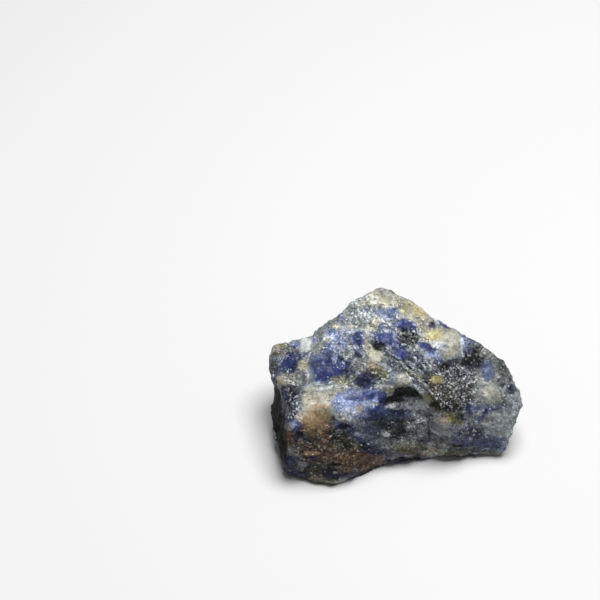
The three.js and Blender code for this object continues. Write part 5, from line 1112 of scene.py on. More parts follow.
Lgo 0.08 0.6 0.5 19.73 1.43 16.74 20.69 0.15 16.06 21.46 -1.2 15.16
Ld 0.09 0.7 0.5 20.99 1.94 16.5 22.17 0.5 15.39 22.72 -0.99 14.64
Lw 0.08 0.7 0.5 20.08 0.39 16.38 20.67 -0.42 15.79
w 20.82 -1.66 15.22 0.26 0.22 0 1.4 0.95 0.35
kt 21.9 -0.65 15.16 0.8 1.2 20 2.9 0.5 0.35
pk 21.21 -2.49 14.64 0.6 0.4 -10 1.8 0.8 0.35
dr 20.81 -2.12 14.98 0.4 0.24 0 1.5 0.6 0.35
i 22.95 -2.99 13.56 1.06 0.74 -25 2.5 0.95 0.75
w 23.56 -2.72 13.44 0.32 0.22 0 1.5 0.97 0.35
w 21.98 -2.81 14.07 0.22 0.16 0 1.3 0.9 0.35
w 22.42 -3.32 13.63 0.28 0.16 -30 1.4 0.8 0.35
di 22.19 -3.86 13.47 0.52 0.32 0 1.7 0.7 0.35
gc 17.65 -4.82 14.67 2.29 1.99 0 3.4 0.85 0.35
g 16.86 -4.09 15.35 1.2 1 0 2.1 0.6 0.35
go 17.84 -5.9 13.79 1.39 0.8 0 2.8 0.6 0.35
gk 19.09 -3.55 15.35 1 0.6 -30 2.2 0.5 0.35
w 20.93 -4.65 13.59 0.24 0.12 30 1.3 0.8 0.35
k 19.68 -4.69 14.23 0.24 0.48 -20 1.6 0.5 0.35
go -23.43 5.03 16.89 1.61 1.01 15 4.4 0.8 0.35
yc -23.03 5.58 17.05 1.01 0.48 10 3.1 0.6 0.35
oc -23.62 3.22 16.9 1.21 0.6 0 3.2 0.8 0.35
c -24.04 4.75 16.75 0.61 0.61 0 2.3 0.5 0.35
cw -17.99 4.71 18.25 1.29 1.41 10 3.9 0.9 0.35
w -18.59 4.11 18.01 0.6 0.6 0 2 0.8 0.35
l -20.1 5.44 17.63 0.81 0.4 -10 2.2 0.95 0.35
pi -20.5 4.91 17.45 0.6 0.2 -45 2 0.95 0.35
gk -21.61 3.88 17.37 1.21 0.6 0 3.6 0.6 0.35
w -16.78 3.68 18.45 0.4 0.2 30 1.8 0.7 0.35
ik -24.23 1.55 15.15 1.39 2.08 0 4.6 0.85 0.75
i -24.02 0.93 14.63 1.06 1.39 0 3.6 0.7 0.75
gk -24.22 2.4 16.16 0.8 0.48 0 2.4 0.7 0.35
w -24.23 1.25 14.73 0.2 0.16 0 1.3 0.85 0.6
w -23.92 0.34 14.53 0.2 0.16 0 1.3 0.85 0.6
w -24.43 0 13.71 0.2 0.16 0 1.6 0.85 0.6
w -23.31 0.55 15.63 0.2 0.16 0 1.4 0.85 0.6
w -24.64 0.95 13.73 0.2 0.16 0 1.5 0.85 0.6
w -23.61 1.35 15.8 0.2 0.16 0 1.4 0.85 0.6
w -24.95 2.17 14.19 0.2 0.16 0 1.5 0.85 0.6
w -24.02 2.08 16.06 0.2 0.16 0 1.4 0.85 0.6
w -23 -0.43 15.51 0.2 0.16 0 1.4 0.85 0.6
w -23.81 -0.81 14.15 0.2 0.16 0 1.7 0.85 0.6
s -22.4 1.08 16.82 1.1 1.54 0 3.4 0.8 0.75
kl -22.6 0.6 16.46 0.6 0.6 0 2.2 0.6 0.35
i -20.9 0.63 17.15 0.92 1.75 5 3.8 0.95 0.75
b -21.4 1.76 17.27 0.95 0.95 0 2.5 0.7 0.75
w -22.1 -0.02 16.53 0.28 0.28 0 1.4 0.8 0.35
wk -23.01 1.73 16.72 0.32 0.24 0 1.5 0.7 0.35
k -22.01 2.58 17.28 0.8 0.36 0 2.3 0.6 0.35
cy -18.4 -0.44 17.72 1.4 1.2 0 4 0.9 0.35
cy -18 -1.18 17.78 0.8 0.6 0 2.2 0.6 0.35
k -19.39 -1.66 17.12 0.8 0.6 0 2.4 0.6 0.35
Lw 0.1 0.9 0.5 -18.89 0 17.54 -18.2 -1.35 17.67
Lw 0.09 0.9 0.5 -18.39 0.28 17.67 -17.59 0.79 18 -16.89 1.44 18.34
p -19.69 0.06 17.33 0.24 0.8 0 2.6 0.7 0.35
s -19.6 2.17 17.42 0.66 0.66 0 2.2 0.5 0.75
co -22.59 -2.17 15.76 1.4 1.12 0 4.6 0.85 0.35
c -23.41 -0.46 14.95 0.6 0.4 0 3.3 0.6 0.35
oc -21.58 -4.32 16.48 1.59 0.87 0 4.3 0.9 0.35
gc -20.58 -5.37 16.74 1.19 0.59 0 3.7 0.6 0.35
ct -20.59 -2.81 16.75 1 0.8 0 2.9 0.85 0.35
go -21.18 -3.58 16.56 0.8 0.48 0 2.7 0.5 0.35
w -21.79 -2.41 16.28 0.18 0.32 -10 1.8 0.8 0.35
d -23.8 -1.96 13.91 0.24 0.6 0 4 0.7 0.35
gk -18.6 -3.14 17.26 0.91 1.39 0 3.4 0.8 0.35
lk -18.4 -5.11 17.33 0.87 1.19 0 3.5 0.85 0.75
kp -19 -6.65 17.55 0.59 0.59 0 2.8 0.7 0.35
Lw 0.08 0.9 0.5 -18.6 -2.16 17.37 -17.7 -3.47 17.46 -17.51 -5.32 17.57 -17.02 -6.97 17.9 -18.01 -7.63 17.75
l -17.22 -5.4 17.65 0.28 0.67 0 2.3 0.8 0.35
w -17.7 -3.34 17.47 0.28 0.2 -30 1.5 0.8 0.35
s -15.2 0.71 18.68 2.42 1.76 0 4.8 0.85 0.75
sk -16.2 -0.18 18.46 1.54 1.32 0 4.4 0.5 0.75
s -13.4 1.52 19.28 1.54 0.88 0 3.6 0.85 0.75
bi -13.03 -2.35 18.16 2.58 1.74 0 4.7 0.9 0.75
b -14.83 -3.83 18 1.87 1.17 0 5 0.85 0.75
i -13.23 -2.56 18.08 1.6 1.01 0 3.6 0.8 0.75
i -11.45 -3.01 18.43 1.37 0.68 -8 3.2 0.85 0.75
b -14.02 -1.38 18.28 2.35 1.17 -10 4.7 0.85 0.75
b -15.6 -0.01 18.57 1.18 0.94 0 2.9 0.6 0.75
bs -15.23 -4.87 17.96 1.87 0.79 0 4.8 0.8 0.75
i -14.82 -1.73 18.22 1.37 0.46 0 2.9 0.8 0.35
l -12.22 0.07 19.36 0.48 1.59 4 3.4 0.95 0.25
wl -12.31 0.94 19.59 0.28 0.88 0 2.2 0.8 0.35
Lwl 0.14 0.8 0.5 -12.4 2.55 19.93 -12.21 1.13 19.69 -12.03 -0.39 19.27 -12.23 -1.31 18.78
l -15.42 -2.58 17.96 0.72 0.36 42 2.1 0.95 0.35
wl -15.22 -2.36 18.02 0.32 0.2 42 1.5 0.7 0.35
w -14.25 -1.16 18.34 0.3 0.22 0 1.5 0.95 0.35
l -12.04 -1.98 18.48 0.26 0.24 0 1.4 1 0.35
l -11.24 -0.91 19.23 0.24 0.48 20 1.7 1 0.35
l -12.63 -1.58 18.49 0.26 0.18 0 1.3 1 0.35
w -17.01 -2.29 17.65 0.2 0.18 0 1.3 1 0.35
l -13.84 -3.97 18.15 0.24 0.16 0 1.5 0.7 0.35
l -16.22 -3.87 17.75 0.24 0.4 -20 1.9 0.6 0.35
ks -9.85 -0.09 20.1 1.19 0.99 0 2.7 0.7 0.35
ds -9.87 -2.29 19.25 1.07 0.79 0 2.8 0.8 0.35
is -10.65 -1.24 19.29 1.14 0.69 0 2.6 0.7 0.75
w -10.44 -0.14 19.86 0.24 0.32 0 1.5 0.8 0.35
s -9.07 -1.42 19.77 0.66 0.52 0 1.9 0.6 0.35
di -8.5 -3.56 19.16 0.99 0.99 0 2.3 0.85 0.35
i -7.92 -4.57 18.8 0.91 0.68 0 2.2 0.8 0.75
g -9.69 -3.96 18.72 0.79 0.4 0 2 0.5 0.35
oc -10.68 -4.74 18.11 1.98 0.67 0 3.3 0.8 0.35
co -9.5 -5.6 17.87 1.19 0.59 0 2.5 0.7 0.35
o -11.67 -4.32 18.23 0.99 0.36 0 2.8 0.6 0.35
cw -12.28 -6.31 17.62 0.99 0.28 6 2.4 0.9 0.35
Lw 0.12 0.9 0.5 -13.46 -5.71 17.84 -12.66 -5.04 17.99
Lw 0.08 0.9 0.5 -12.08 -5.7 17.83 -10.88 -5.49 17.75 -9.31 -5.45 18
w -11.09 -6.27 17.58 0.51 0.18 10 1.7 0.8 0.35
gs -14.85 -6.05 18.07 1.38 0.4 0 3.5 0.8 0.35
l -15.83 -5.63 17.91 0.59 0.28 0 2.3 0.6 0.35
gc -14.86 -7.91 17.92 2.56 1.26 0 5.2 0.85 0.35
cg -17.03 -8.86 17.64 1.38 1.18 0 2.2 0.8 0.35
c -14.08 -8.74 17.5 1.57 0.79 0 3.6 0.7 0.35
w -14.07 -6.96 17.9 1.78 0.32 3 3.7 0.8 0.35
d -16.72 -9.07 17.49 0.22 0.18 0 1.2 0.9 0.35
ot -16.44 -9.19 17.42 0.47 0.31 0 1.5 0.6 0.35
w -15.84 -7.28 17.96 0.26 0.2 0 1.4 0.8 0.35
gk -18.6 -8.74 17.51 0.59 0.98 0 2.7 0.7 0.35
ct -16.25 -10.37 16.68 1.77 0.67 0 3.7 0.8 0.35
ty -14.87 -10.23 16.82 1.18 0.79 0 2.5 0.8 0.35
ct -13.49 -9.8 16.92 0.59 0.59 0 1.8 0.7 0.35
yt -16.06 -11.61 16.29 2.35 0.98 0 3.7 0.6 0.75
ot -14.68 -11.2 16.43 0.98 0.47 -10 2.2 0.85 0.35
d -15.17 -11.29 16.38 0.47 0.24 -10 1.6 0.7 0.35
tc -17.62 -11.4 16.06 0.98 0.79 0 2.3 0.6 0.35
ct -18.6 -11.72 15.24 0.79 0.59 0 1.8 0.8 0.35
kc -19.59 -11.34 15.4 0.79 0.79 0 1.8 0.6 0.35
id -21.17 -7.44 16.08 1.82 2.05 0 5.3 0.9 0.75
i -21.76 -9.34 14.65 1.14 2.04 0 7 0.8 0.75
d -20.58 -6.47 16.78 0.87 0.71 0 2.5 0.9 0.35
k -19.39 -10.03 16.59 0.79 1.97 0 3.1 0.6 0.35
k -18.8 -9.81 16.94 0.47 0.98 0 2 0.6 0.35
wl -22.17 -5.62 15.84 0.28 0.18 -20 1.6 0.85 0.6
wl -21.57 -6.78 16.08 0.28 0.18 -30 1.5 0.85 0.6
wl -21.07 -6.87 16.34 0.18 0.16 0 1.3 0.85 0.6
wl -22.26 -7.2 15.52 0.2 0.16 0 1.6 0.85 0.6
wl -22.17 -7.66 14.85 0.24 0.32 0 1.7 0.85 0.6
wl -21.56 -9.16 15.63 0.28 0.18 0 1.8 0.85 0.6
wl -22.47 -7.81 13.54 0.28 0.18 0 1.9 0.85 0.6
wl -20.97 -9.79 15.73 0.22 0.26 0 1.4 0.85 0.6
wl -21.97 -9.21 13.62 0.32 0.18 0 2.6 0.85 0.6
wl -21.16 -10.62 14.89 0.22 0.18 0 1.4 0.85 0.6
wl -19.98 -8.21 16.92 0.59 0.18 40 2.1 0.85 0.6
wl -20.38 -9.29 16.36 0.22 0.39 0 1.9 0.85 0.6
wl -21.77 -7.71 15.64 0.18 0.18 0 1.3 0.85 0.6
wl -20.77 -8.42 16.28 0.2 0.18 0 1.3 0.85 0.6
wl -19.59 -9.33 16.99 0.2 0.31 0 1.6 0.85 0.6
wl -19.78 -10.57 16.02 0.28 0.2 0 1.3 0.85 0.6
wl -20.57 -10.43 15.57 0.2 0.16 0 1.3 0.85 0.6
wl -20.18 -11.19 15.24 0.24 0.2 0 1.3 0.85 0.6
wl -21.56 -10.89 14.02 0.24 0.18 0 1.5 0.85 0.6
wl -19.39 -11.07 15.69 0.2 0.2 0 1.2 0.85 0.6
Lw 0.09 0.9 0.5 -18.9 -9.49 17.17 -18.7 -10.28 16.57 -18.21 -11.1 16.02
d -19.19 -10.13 16.56 0.2 0.28 0 1.3 0.8 0.35
d -18.7 -10.71 16.17 0.18 0.2 0 1.2 0.8 0.35
d -23.83 -2.54 10.08 1.11 2.62 3 8.3 0.98 0.25
d -23.71 -6.78 8.8 1.3 2.81 3 9 0.98 0.25
d -23.09 -10.89 7.43 1.12 2.59 6 9 0.98 0.25
d -22.37 -14.2 6.39 0.8 1.99 6 9 0.98 0.25
di -22.47 -7.86 13 0.48 1.59 0 6 0.7 0.35
dk -22.99 -8.6 9.64 0.4 0.24 0 2.6 0.6 0.35
l -9.34 -9.02 16.35 3.15 1.58 0 4.8 0.6 0.75
wl -9.36 -10.77 15.94 1.57 0.59 -6 2.7 0.7 0.35
lb -6.18 -8.12 16.82 3.16 1.78 12 4.7 0.8 0.75
bl -3.79 -8.07 16.18 1.86 1.63 10 3.8 0.7 0.75
b -5.98 -7.78 17.04 1.4 0.47 22 2.6 0.6 0.35
b -7.95 -8.33 16.77 1.16 0.42 15 2.3 0.5 0.35
sb -8.52 -6.82 17.01 1.3 0.43 10 2.3 0.6 0.35
i -4.99 -7.17 17.54 0.91 0.54 20 2 0.7 0.35
b -6.98 -9.18 16.24 1.16 0.33 15 2.4 0.5 0.35
lw -10.72 -9.73 15.97 1.18 0.39 -8 2.8 0.7 0.35
w -11.3 -7.71 17.1 0.47 0.24 -20 1.6 0.85 0.35
w -9.72 -7.81 16.78 0.36 0.22 30 1.5 0.9 0.35
w -12.7 -8.91 16.96 0.35 0.22 0 1.5 0.85 0.35
w -8.13 -6.53 17.28 0.67 0.22 20 1.7 0.9 0.35
w -6.94 -6.18 17.48 0.32 0.18 -20 1.4 0.8 0.35
wl -5.39 -8.17 16.88 0.47 0.2 25 1.6 0.8 0.35
l -5.19 -8.9 16.22 0.99 0.47 15 2.2 0.7 0.35
gw -5.2 -9.34 15.83 0.99 0.51 10 2.1 0.7 0.35
cy -7.38 -10.42 15.56 1.18 0.67 0 2.4 0.85 0.35
pc -7.39 -11.32 15.09 0.87 0.28 -5 2 0.8 0.35
wk -8.97 -11.26 15.61 0.98 0.35 -5 2.1 0.7 0.35
k -10.35 -11.95 14.91 1.57 0.35 -8 3 0.8 0.35
k -6.01 -11.5 14.7 0.79 0.2 0 2.2 0.8 0.35
gk -1.98 -3.44 19.61 0.79 0.67 -20 2 0.7 0.35
kc -6.91 -2.75 19.45 1.59 0.79 0 3.1 0.9 0.35
tk -7.7 -3.12 19.27 0.79 0.48 0 2 0.5 0.35
c -4.92 -1.8 20.18 0.79 0.59 -20 2 0.7 0.35
w -5.03 -2.47 19.88 0.44 0.24 0 1.5 0.8 0.35
cw -6.52 -3.58 19.18 0.79 0.28 0 2 0.5 0.35
o -3.16 -3.88 19.21 1.11 0.71 -30 2.4 0.95 0.35
yo -3.65 -3.31 19.47 0.71 0.36 -15 1.9 0.9 0.35
od -2.39 -4.68 18.91 0.59 0.36 -30 1.8 0.9 0.35
ds -5.15 -4.41 18.77 1.19 0.44 -10 2.8 0.9 0.35
d -3.77 -4.73 18.83 0.79 0.3 -20 2 0.85 0.35
Lcw 0.08 0.85 0.5 -3.37 -4.64 18.87 -2.4 -5.16 18.71 -1.42 -5.85 18.43
cw -1.81 -5.04 18.87 0.47 0.18 -15 1.6 0.95 0.35
Lcw 0.07 0.7 0.5 -2.4 -5.16 18.71 -1.62 -5.67 18.53
i -6.93 -5.11 18.21 1.82 1.36 0 2.8 0.92 0.75
di -8.21 -4.39 18.89 0.79 0.67 0 2.1 0.85 0.35
i -5.57 -6.37 17.83 1.14 0.91 0 2.9 0.8 0.75
i -6.36 -6.74 17.51 0.91 0.5 0 2.5 0.8 0.35
s -4.96 -5.46 18.3 0.43 0.43 0 1.5 0.6 0.35
ls -6.93 -5.74 17.73 0.59 0.28 0 1.7 0.4 0.35
l -6.14 -5.25 18.07 0.2 0.16 0 1.2 0.6 0.35
kl -2.61 -7.03 17.24 0.99 0.59 10 2.2 0.6 0.35
wk -3.59 -6.41 17.87 1.07 0.51 0 2.3 0.8 0.35
lk -4.19 -7.37 17.17 0.79 0.59 0 1.8 0.7 0.75
pi -1.13 -5.77 18.64 0.39 0.87 10 2.1 0.9 0.35
p -1.62 -6.51 17.84 0.39 0.28 0 1.4 0.7 0.35
i -2.59 -7.92 15.85 1.05 1 0 2.3 0.92 0.75
b -3.19 -7.51 16.59 0.7 0.61 0 1.9 0.75 0.75
l -4.2 -8.1 16.51 0.51 0.51 0 1.6 0.7 0.75
ps -0.42 -4.78 19.17 0.47 0.79 0 1.9 0.8 0.35
ck 0.74 -5.53 19.11 1.66 1.3 -15 3.2 0.85 0.35
c 0.53 -6.13 18.74 0.87 0.59 0 2.1 0.6 0.35
k -0.02 -3.42 20.17 0.79 0.99 0 2.3 0.6 0.35
kc 1.35 -4.06 19.99 0.79 0.59 -30 1.9 0.7 0.35
sk -0.79 -2.72 20.29 0.87 0.65 -20 2.2 0.7 0.75
Loc 0.19 0.85 0.5 -1.99 -7.48 16.12 -1.02 -6.85 17.34 0.13 -6.72 18.36 1.69 -6.94 18.6
k 1.3 -6.58 18.76 0.59 0.28 -20 1.7 0.6 0.35
d 0.61 -6.63 16.07 1.9 1.31 12 3 0.98 0.35
d 3.14 -6.94 16.85 1.46 0.63 -25 4.9 0.98 0.35
Ld 0.17 0.97 0.5 3.32 -7.09 17.16 4.25 -8.16 17.31 5.45 -8.35 16.93
d -1.28 -7.62 15.4 0.91 0.59 15 2 0.97 0.35
ds -2.78 -8.46 15.15 0.99 0.36 8 2 0.9 0.35
k 2.8 -7.36 14.96 1.78 0.44 -8 3 0.9 0.35
kw 2.99 -7.15 15.35 0.59 0.2 -12 1.7 0.85 0.35
kg 4.57 -7.99 14.63 1.78 0.59 -5 3.8 0.7 0.35
kw -0.67 -8.3 14.23 0.99 0.44 0 2.3 0.9 0.35
w -1.28 -8.35 14.58 0.4 0.18 0 1.4 0.7 0.35
k 0.82 -7.95 14.29 0.99 0.4 0 2 0.7 0.35
kg 3.21 -8.13 13.89 1.78 0.59 0 2.7 0.6 0.35
sk 3.34 -2.83 20.98 1.96 1.09 -25 4.3 0.7 0.75
s 2.34 -3.54 20.59 1.09 0.65 -40 2.9 0.6 0.75
Lwc 0.1 0.95 0.5 0.6 -2.27 20.68 1.56 -3.42 20.31 2.52 -4.42 20.09
Ld 0.08 0.95 0.5 1.19 -2.24 20.79 2.14 -3.46 20.5 3.3 -4.54 20.21
Lw 0.07 0.95 0.5 1.77 -2.43 20.85 2.92 -3.75 20.67 4.09 -4.55 20.23
Ld 0.08 0.9 0.5 2.37 -2.32 21.02 3.51 -3.72 20.78 4.69 -4.48 20.14
Lcw 0.11 0.95 0.5 2.13 -4.17 20.11 3.29 -5.19 19.76 4.46 -6.05 19.24 5.62 -7.11 18.64
Lod 0.07 0.85 0.5 1.54 -4.46 19.84 2.7 -5.49 19.5 3.85 -6.7 19.07
Lw 0.09 0.95 0.5 2.3 -5.62 19.34 3.26 -6.81 18.89 4.23 -7.85 18.29 5.22 -8.43 17.61
Lp 0.1 0.95 0.5 3.28 -5.91 19.37 3.85 -6.7 19.07 4.42 -7.62 18.61
Lw 0.06 0.9 0.5 2.89 -5.52 19.53 4.05 -6.69 19.06 5.21 -7.82 18.25 6.44 -8.23 16.95
Ld 0.09 0.95 0.5 3.87 -5.73 19.47 5.04 -6.72 18.8 6.2 -7.92 18.06
Lkw 0.08 0.95 0.5 4.48 -5.56 19.29 5.63 -6.73 18.81 6.81 -7.75 17.88 7.83 -8.39 16.53
Ld 0.08 0.85 0.5 5.06 -5.62 19.35 6.22 -6.9 18.71 7.22 -7.59 17.71
Lkw 0.07 0.85 0.5 5.62 -7.11 18.64 6.6 -8.16 17.75 7.43 -8.69 16.29
y 2.51 -4.68 19.93 0.51 0.39 -30 1.6 0.85 0.35
yc 4.28 -5.4 19.52 0.51 0.22 -35 1.7 0.85 0.35
oy 5.46 -8.28 16.56 0.71 0.28 -20 2.7 0.8 0.35
od 6.66 -8.37 16.22 0.79 0.59 -20 2.7 0.7 0.35
Lw 0.07 0.9 0.5 4.16 -1.65 21.46 5.5 -2.77 21.21 6.89 -3.39 20.43
wk 5.89 -3.53 20.58 0.99 0.18 5 2 0.9 0.35
l 7.73 -1.92 21.03 0.59 0.44 0 2.1 0.7 0.35
Lw 0.07 0.85 0.5 7.1 -2.75 20.9 8.33 -2.98 19.7
s 5.29 -4.39 20.05 1.09 0.43 -10 2.2 0.6 0.35
ds 7.92 -2.69 20.26 0.99 0.32 -20 2.6 0.8 0.35
w 6.7 -3.78 19.98 0.32 0.16 0 1.4 0.8 0.35
ks 10.6 -3.03 18.01 2.78 1.79 -10 4.8 0.6 0.35
dk 8.45 -7.24 17.03 2.76 1.97 0 6.3 0.6 0.35
d 9.36 -2.64 19.33 1.07 0.48 -5 2.7 0.97 0.35
ds 11.44 -0.91 19.24 1.19 0.48 10 2.7 0.9 0.35
dk 7.11 -4.2 19.26 0.99 0.47 0 2.8 0.8 0.35
dr 6.04 -5.58 19.59 0.67 0.59 0 1.9 0.85 0.35
dr 6.42 -6.86 18.66 0.79 0.59 -20 1.9 0.6 0.35
tk 7.84 -6.92 17.85 0.79 0.39 0 2.1 0.5 0.35
sk 13.28 -2.92 16.43 1.31 1.1 0 2.7 0.7 0.75
ks 13.09 -1.12 18.01 1 0.6 0 2.6 0.6 0.35
k 12.02 -4.14 16.29 0.99 0.8 0 2.5 0.5 0.35
i 14.76 -4.21 15.33 0.64 0.87 0 2.1 0.95 0.75
ks 13.81 -5.97 14.46 0.99 0.99 0 2 0.6 0.35
yo 7.86 -5.42 18.84 1.15 0.75 0 3 0.97 0.75
y 7.35 -5.33 19.19 0.47 0.32 0 2.2 0.95 0.35
y 8.27 -5.39 18.52 0.43 0.32 0 1.8 0.85 0.35
yt 9.1 -5.25 17.93 0.51 0.36 0 1.9 0.8 0.35
d 9.84 -7.23 14.97 0.67 0.44 0 2.1 0.9 0.35
d 7.65 -9 15.45 1.38 0.79 10 3.2 0.95 0.35
d 6.85 -8.49 16.2 0.59 0.36 -20 2.3 0.85 0.35
od 9.71 -8.95 13.92 1.58 0.59 0 3 0.85 0.35
d 12.59 -7.92 13.07 0.68 0.56 0 1.8 0.95 0.35
od 11.56 -7.5 14.08 1.19 0.79 0 2.7 0.6 0.35
d 10.94 -8.53 13.45 0.99 0.48 0 2.2 0.8 0.35
w 9.46 -3.67 18.27 0.22 0.18 0 1.4 0.95 0.5
w 10.29 -2.48 18.73 0.22 0.18 0 1.3 0.95 0.5
w 10.99 -4.35 16.81 0.22 0.18 0 1.3 0.95 0.5
w 9.91 -5.68 17.09 0.22 0.18 0 1.4 0.95 0.5
w 12.2 -5.72 15.07 0.22 0.18 0 1.3 0.95 0.5
w 13.28 -3.08 16.31 0.22 0.18 0 1.3 0.95 0.5
w 9.09 -5.54 17.81 0.22 0.18 0 1.4 0.95 0.5
w 12.83 -4.44 15.73 0.22 0.18 0 1.3 0.95 0.5
w 9.51 -6.84 16.01 0.22 0.18 0 1.4 0.95 0.5
w 8.45 -7.83 16.51 0.22 0.18 0 1.5 0.95 0.5
w 11.8 -5.64 15.27 0.22 0.18 0 1.3 0.95 0.5
w 13.82 -5.16 15.05 0.22 0.18 0 1.2 0.95 0.5
w 8.66 -6.83 17.16 0.22 0.18 0 1.4 0.95 0.5
w 10.55 -7.41 14.57 0.22 0.18 0 1.2 0.95 0.5
w 9.5 -8.21 14.87 0.22 0.18 0 1.5 0.95 0.5
w 11.57 -6.71 14.68 0.22 0.18 0 1.3 0.95 0.5
w 13.2 -6.51 14.17 0.22 0.18 0 1.2 0.95 0.5
gs 15.81 -6.61 13.68 0.99 0.99 0 2.1 0.6 0.35
ps 15.42 -6.85 13.36 0.72 0.88 0 2 0.8 0.35
w 15.7 -6.5 13.87 0.18 0.2 0 1.2 0.9 0.35
w 14.81 -7.02 13.4 0.24 0.32 0 1.4 0.9 0.35
w 16.23 -6.87 13.08 0.16 0.2 0 1.2 0.8 0.35
i 14.31 -7.79 12.62 0.55 1.01 0 1.9 0.92 0.35
pi 14.41 -8.31 12.01 0.44 0.6 0 1.7 0.9 0.35
i 17.8 -7.28 11.45 0.73 0.83 0 2.1 0.9 0.75
si 16.73 -8.05 10.23 1.1 0.66 0 2.8 0.85 0.75
wk 16.55 -7.77 11.86 0.88 0.26 15 2.4 0.9 0.35
w 16.06 -8.07 11.44 0.36 0.16 20 1.6 0.9 0.35
w 17.06 -7.18 12.25 0.28 0.14 0 1.4 0.8 0.35
is 19.54 -6.55 11.54 0.92 0.46 10 1.8 0.9 0.35
i 20.53 -6.24 11.94 0.69 0.41 15 1.7 0.85 0.35
ls 18.29 -6.61 12.2 0.6 0.28 0 1.8 0.7 0.35
d 21.33 -5.72 12.4 0.48 0.44 0 1.6 0.97 0.35
dg 21.76 -5.99 11.81 0.6 0.48 0 1.7 0.85 0.35
w 21.04 -5.56 12.73 0.3 0.2 0 1.3 0.95 0.35
w 21.65 -5.84 12.07 0.18 0.16 0 1.2 0.8 0.35
k 22.78 -4.42 13.05 0.8 0.6 0 2.1 0.5 0.35
k 23.4 -5.29 11.93 1.2 1.2 0 2.4 0.5 0.35
lk 23.64 -6.32 10.39 0.6 1 -20 2 0.7 0.75
pk 23.24 -6.61 10.11 0.4 0.6 0 1.6 0.4 0.35
g 22.15 -5.17 12.69 0.8 0.6 0 1.9 0.5 0.35
go 19.56 -7.28 10.56 1.4 0.68 0 2.4 0.7 0.35
cg 18.76 -7.53 10.24 0.88 0.36 0 1.9 0.8 0.35
d 18.71 -7.96 9.35 0.36 0.16 -10 1.4 0.9 0.35
g 20.78 -7.69 9.82 1.6 1.2 0 2.8 0.5 0.35
gk 20.45 -8.62 7.86 2.8 2 0 4.7 0.6 0.35
gk 22.07 -7.93 8.28 1.2 1.6 0 2.5 0.5 0.35
yo 10.34 -9.62 12.58 0.99 0.67 -10 2.4 0.9 0.75
oy 11.57 -9.85 11.65 1.19 0.6 -20 2.4 0.85 0.35
go 8.53 -10.54 12.13 1.39 0.99 0 2.7 0.8 0.35
g 9.55 -10.83 11.27 1.59 0.79 0 3.2 0.6 0.35
od 12.79 -9.88 11.09 0.79 0.48 0 2 0.7 0.35
yo 13.01 -9.99 10.62 0.4 0.2 0 1.7 0.6 0.35
d 12.58 -9.14 11.9 0.72 0.4 -10 1.8 0.9 0.35
d 13.4 -9.3 11.34 0.6 0.28 0 1.9 0.8 0.35
go 7.95 -10.85 11.59 1.78 1.39 0 3.2 0.5 0.35
Lkw 0.08 0.7 0.5 6.62 -11.09 10.07 7.86 -11.03 9.1 9.28 -11.19 8.37
Lk 0.09 0.9 0.5 13.25 -10.2 9.66 14.05 -9.57 10.14 15.29 -8.83 10.2 16.33 -8.64 9.7
Lk 0.08 0.8 0.5 10.98 -10.91 10.46 12.18 -10.43 10.82 13.21 -9.83 10.74
sk 14.28 -9.77 9.47 1.32 0.53 10 3 0.6 0.35
Lkw 0.08 0.9 0.5 11.81 -11.09 9.62 12.63 -10.55 9.76 13.24 -10.13 9.87
ip 15.06 -9.52 6.77 2.53 0.92 0 5.9 0.85 0.75
s 13.21 -10.59 6.48 2.64 0.88 0 7.3 0.7 0.75
i 16.23 -9.19 7.59 0.92 0.69 0 2.8 0.9 0.75
d 14.99 -9.54 7.85 0.4 0.32 0 1.8 0.8 0.35
is 17.79 -9.43 4.83 1.39 0.92 0 3.4 0.8 0.75
s 20.26 -9.48 3.97 2.21 0.89 5 4.1 0.85 0.75
sl 21.64 -9.23 4.6 0.89 0.89 30 2.5 0.7 0.75
sk 19.37 -9.1 5.68 1.55 0.66 0 3.3 0.6 0.75
w 14.59 -9.79 7.59 0.3 0.22 0 1.8 0.97 0.5
w 15.68 -9.33 6.55 0.2 0.32 0 1.6 0.97 0.5
w 14.8 -9.65 5.85 0.2 0.24 0 1.5 0.97 0.5
w 13.93 -10.36 8.09 0.2 0.14 0 1.5 0.97 0.5
w 16.84 -9.4 5.57 0.16 0.2 0 1.3 0.97 0.5
w 13.56 -10.49 7.42 0.2 0.14 0 1.6 0.97 0.5
w 12.28 -11.26 8.06 0.18 0.12 0 1.4 0.97 0.5
w 13.43 -10.41 6.27 0.16 0.12 0 1.4 0.97 0.5
w 13.07 -10.61 8.92 0.18 0.14 0 1.3 0.97 0.5
w 17.68 -9.21 6.72 0.18 0.14 0 1.3 0.97 0.5
w 18.49 -9.03 6.81 0.2 0.16 0 1.4 0.97 0.5
w 19.85 -9.01 6.08 0.22 0.16 0 1.4 0.97 0.5
w 21.17 -9 5.86 0.26 0.18 0 1.4 0.97 0.5
w 20.31 -9.16 5.04 0.22 0.16 0 1.3 0.97 0.5
w 15.99 -9.23 8.1 0.16 0.12 0 1.3 0.97 0.5
w 11.24 -11.45 8.67 0.16 0.1 0 1.2 0.97 0.5
sk 9.7 -11.2 8.08 2.41 0.88 0 6.5 0.7 0.75
k 7.93 -10.88 7.72 0.8 0.24 -10 4.7 0.7 0.35
ko 8.88 -10.91 4.7 2.41 0.68 0 5.5 0.8 0.35
tk 7.36 -10.34 3.43 1.61 0.48 5 3.9 0.6 0.35
Lk 0.1 0.7 0.5 7.04 -10.38 5.93 8.82 -10.89 6.05 10.77 -11.22 6.59
Lkc 0.09 0.7 0.5 6.99 -10.51 2.7 8.92 -11.02 3.76 11.34 -10.87 3.74
ok 13.01 -10.69 2.91 3.22 0.48 0 8.8 0.7 0.35
ok 18.36 -9.64 2.15 2.02 0.44 0 4.7 0.7 0.35
d 11.87 -11.04 5.01 0.8 0.2 0 2.9 0.95 0.35
d 13.08 -10.81 5.05 0.4 0.2 0 1.9 0.9 0.35
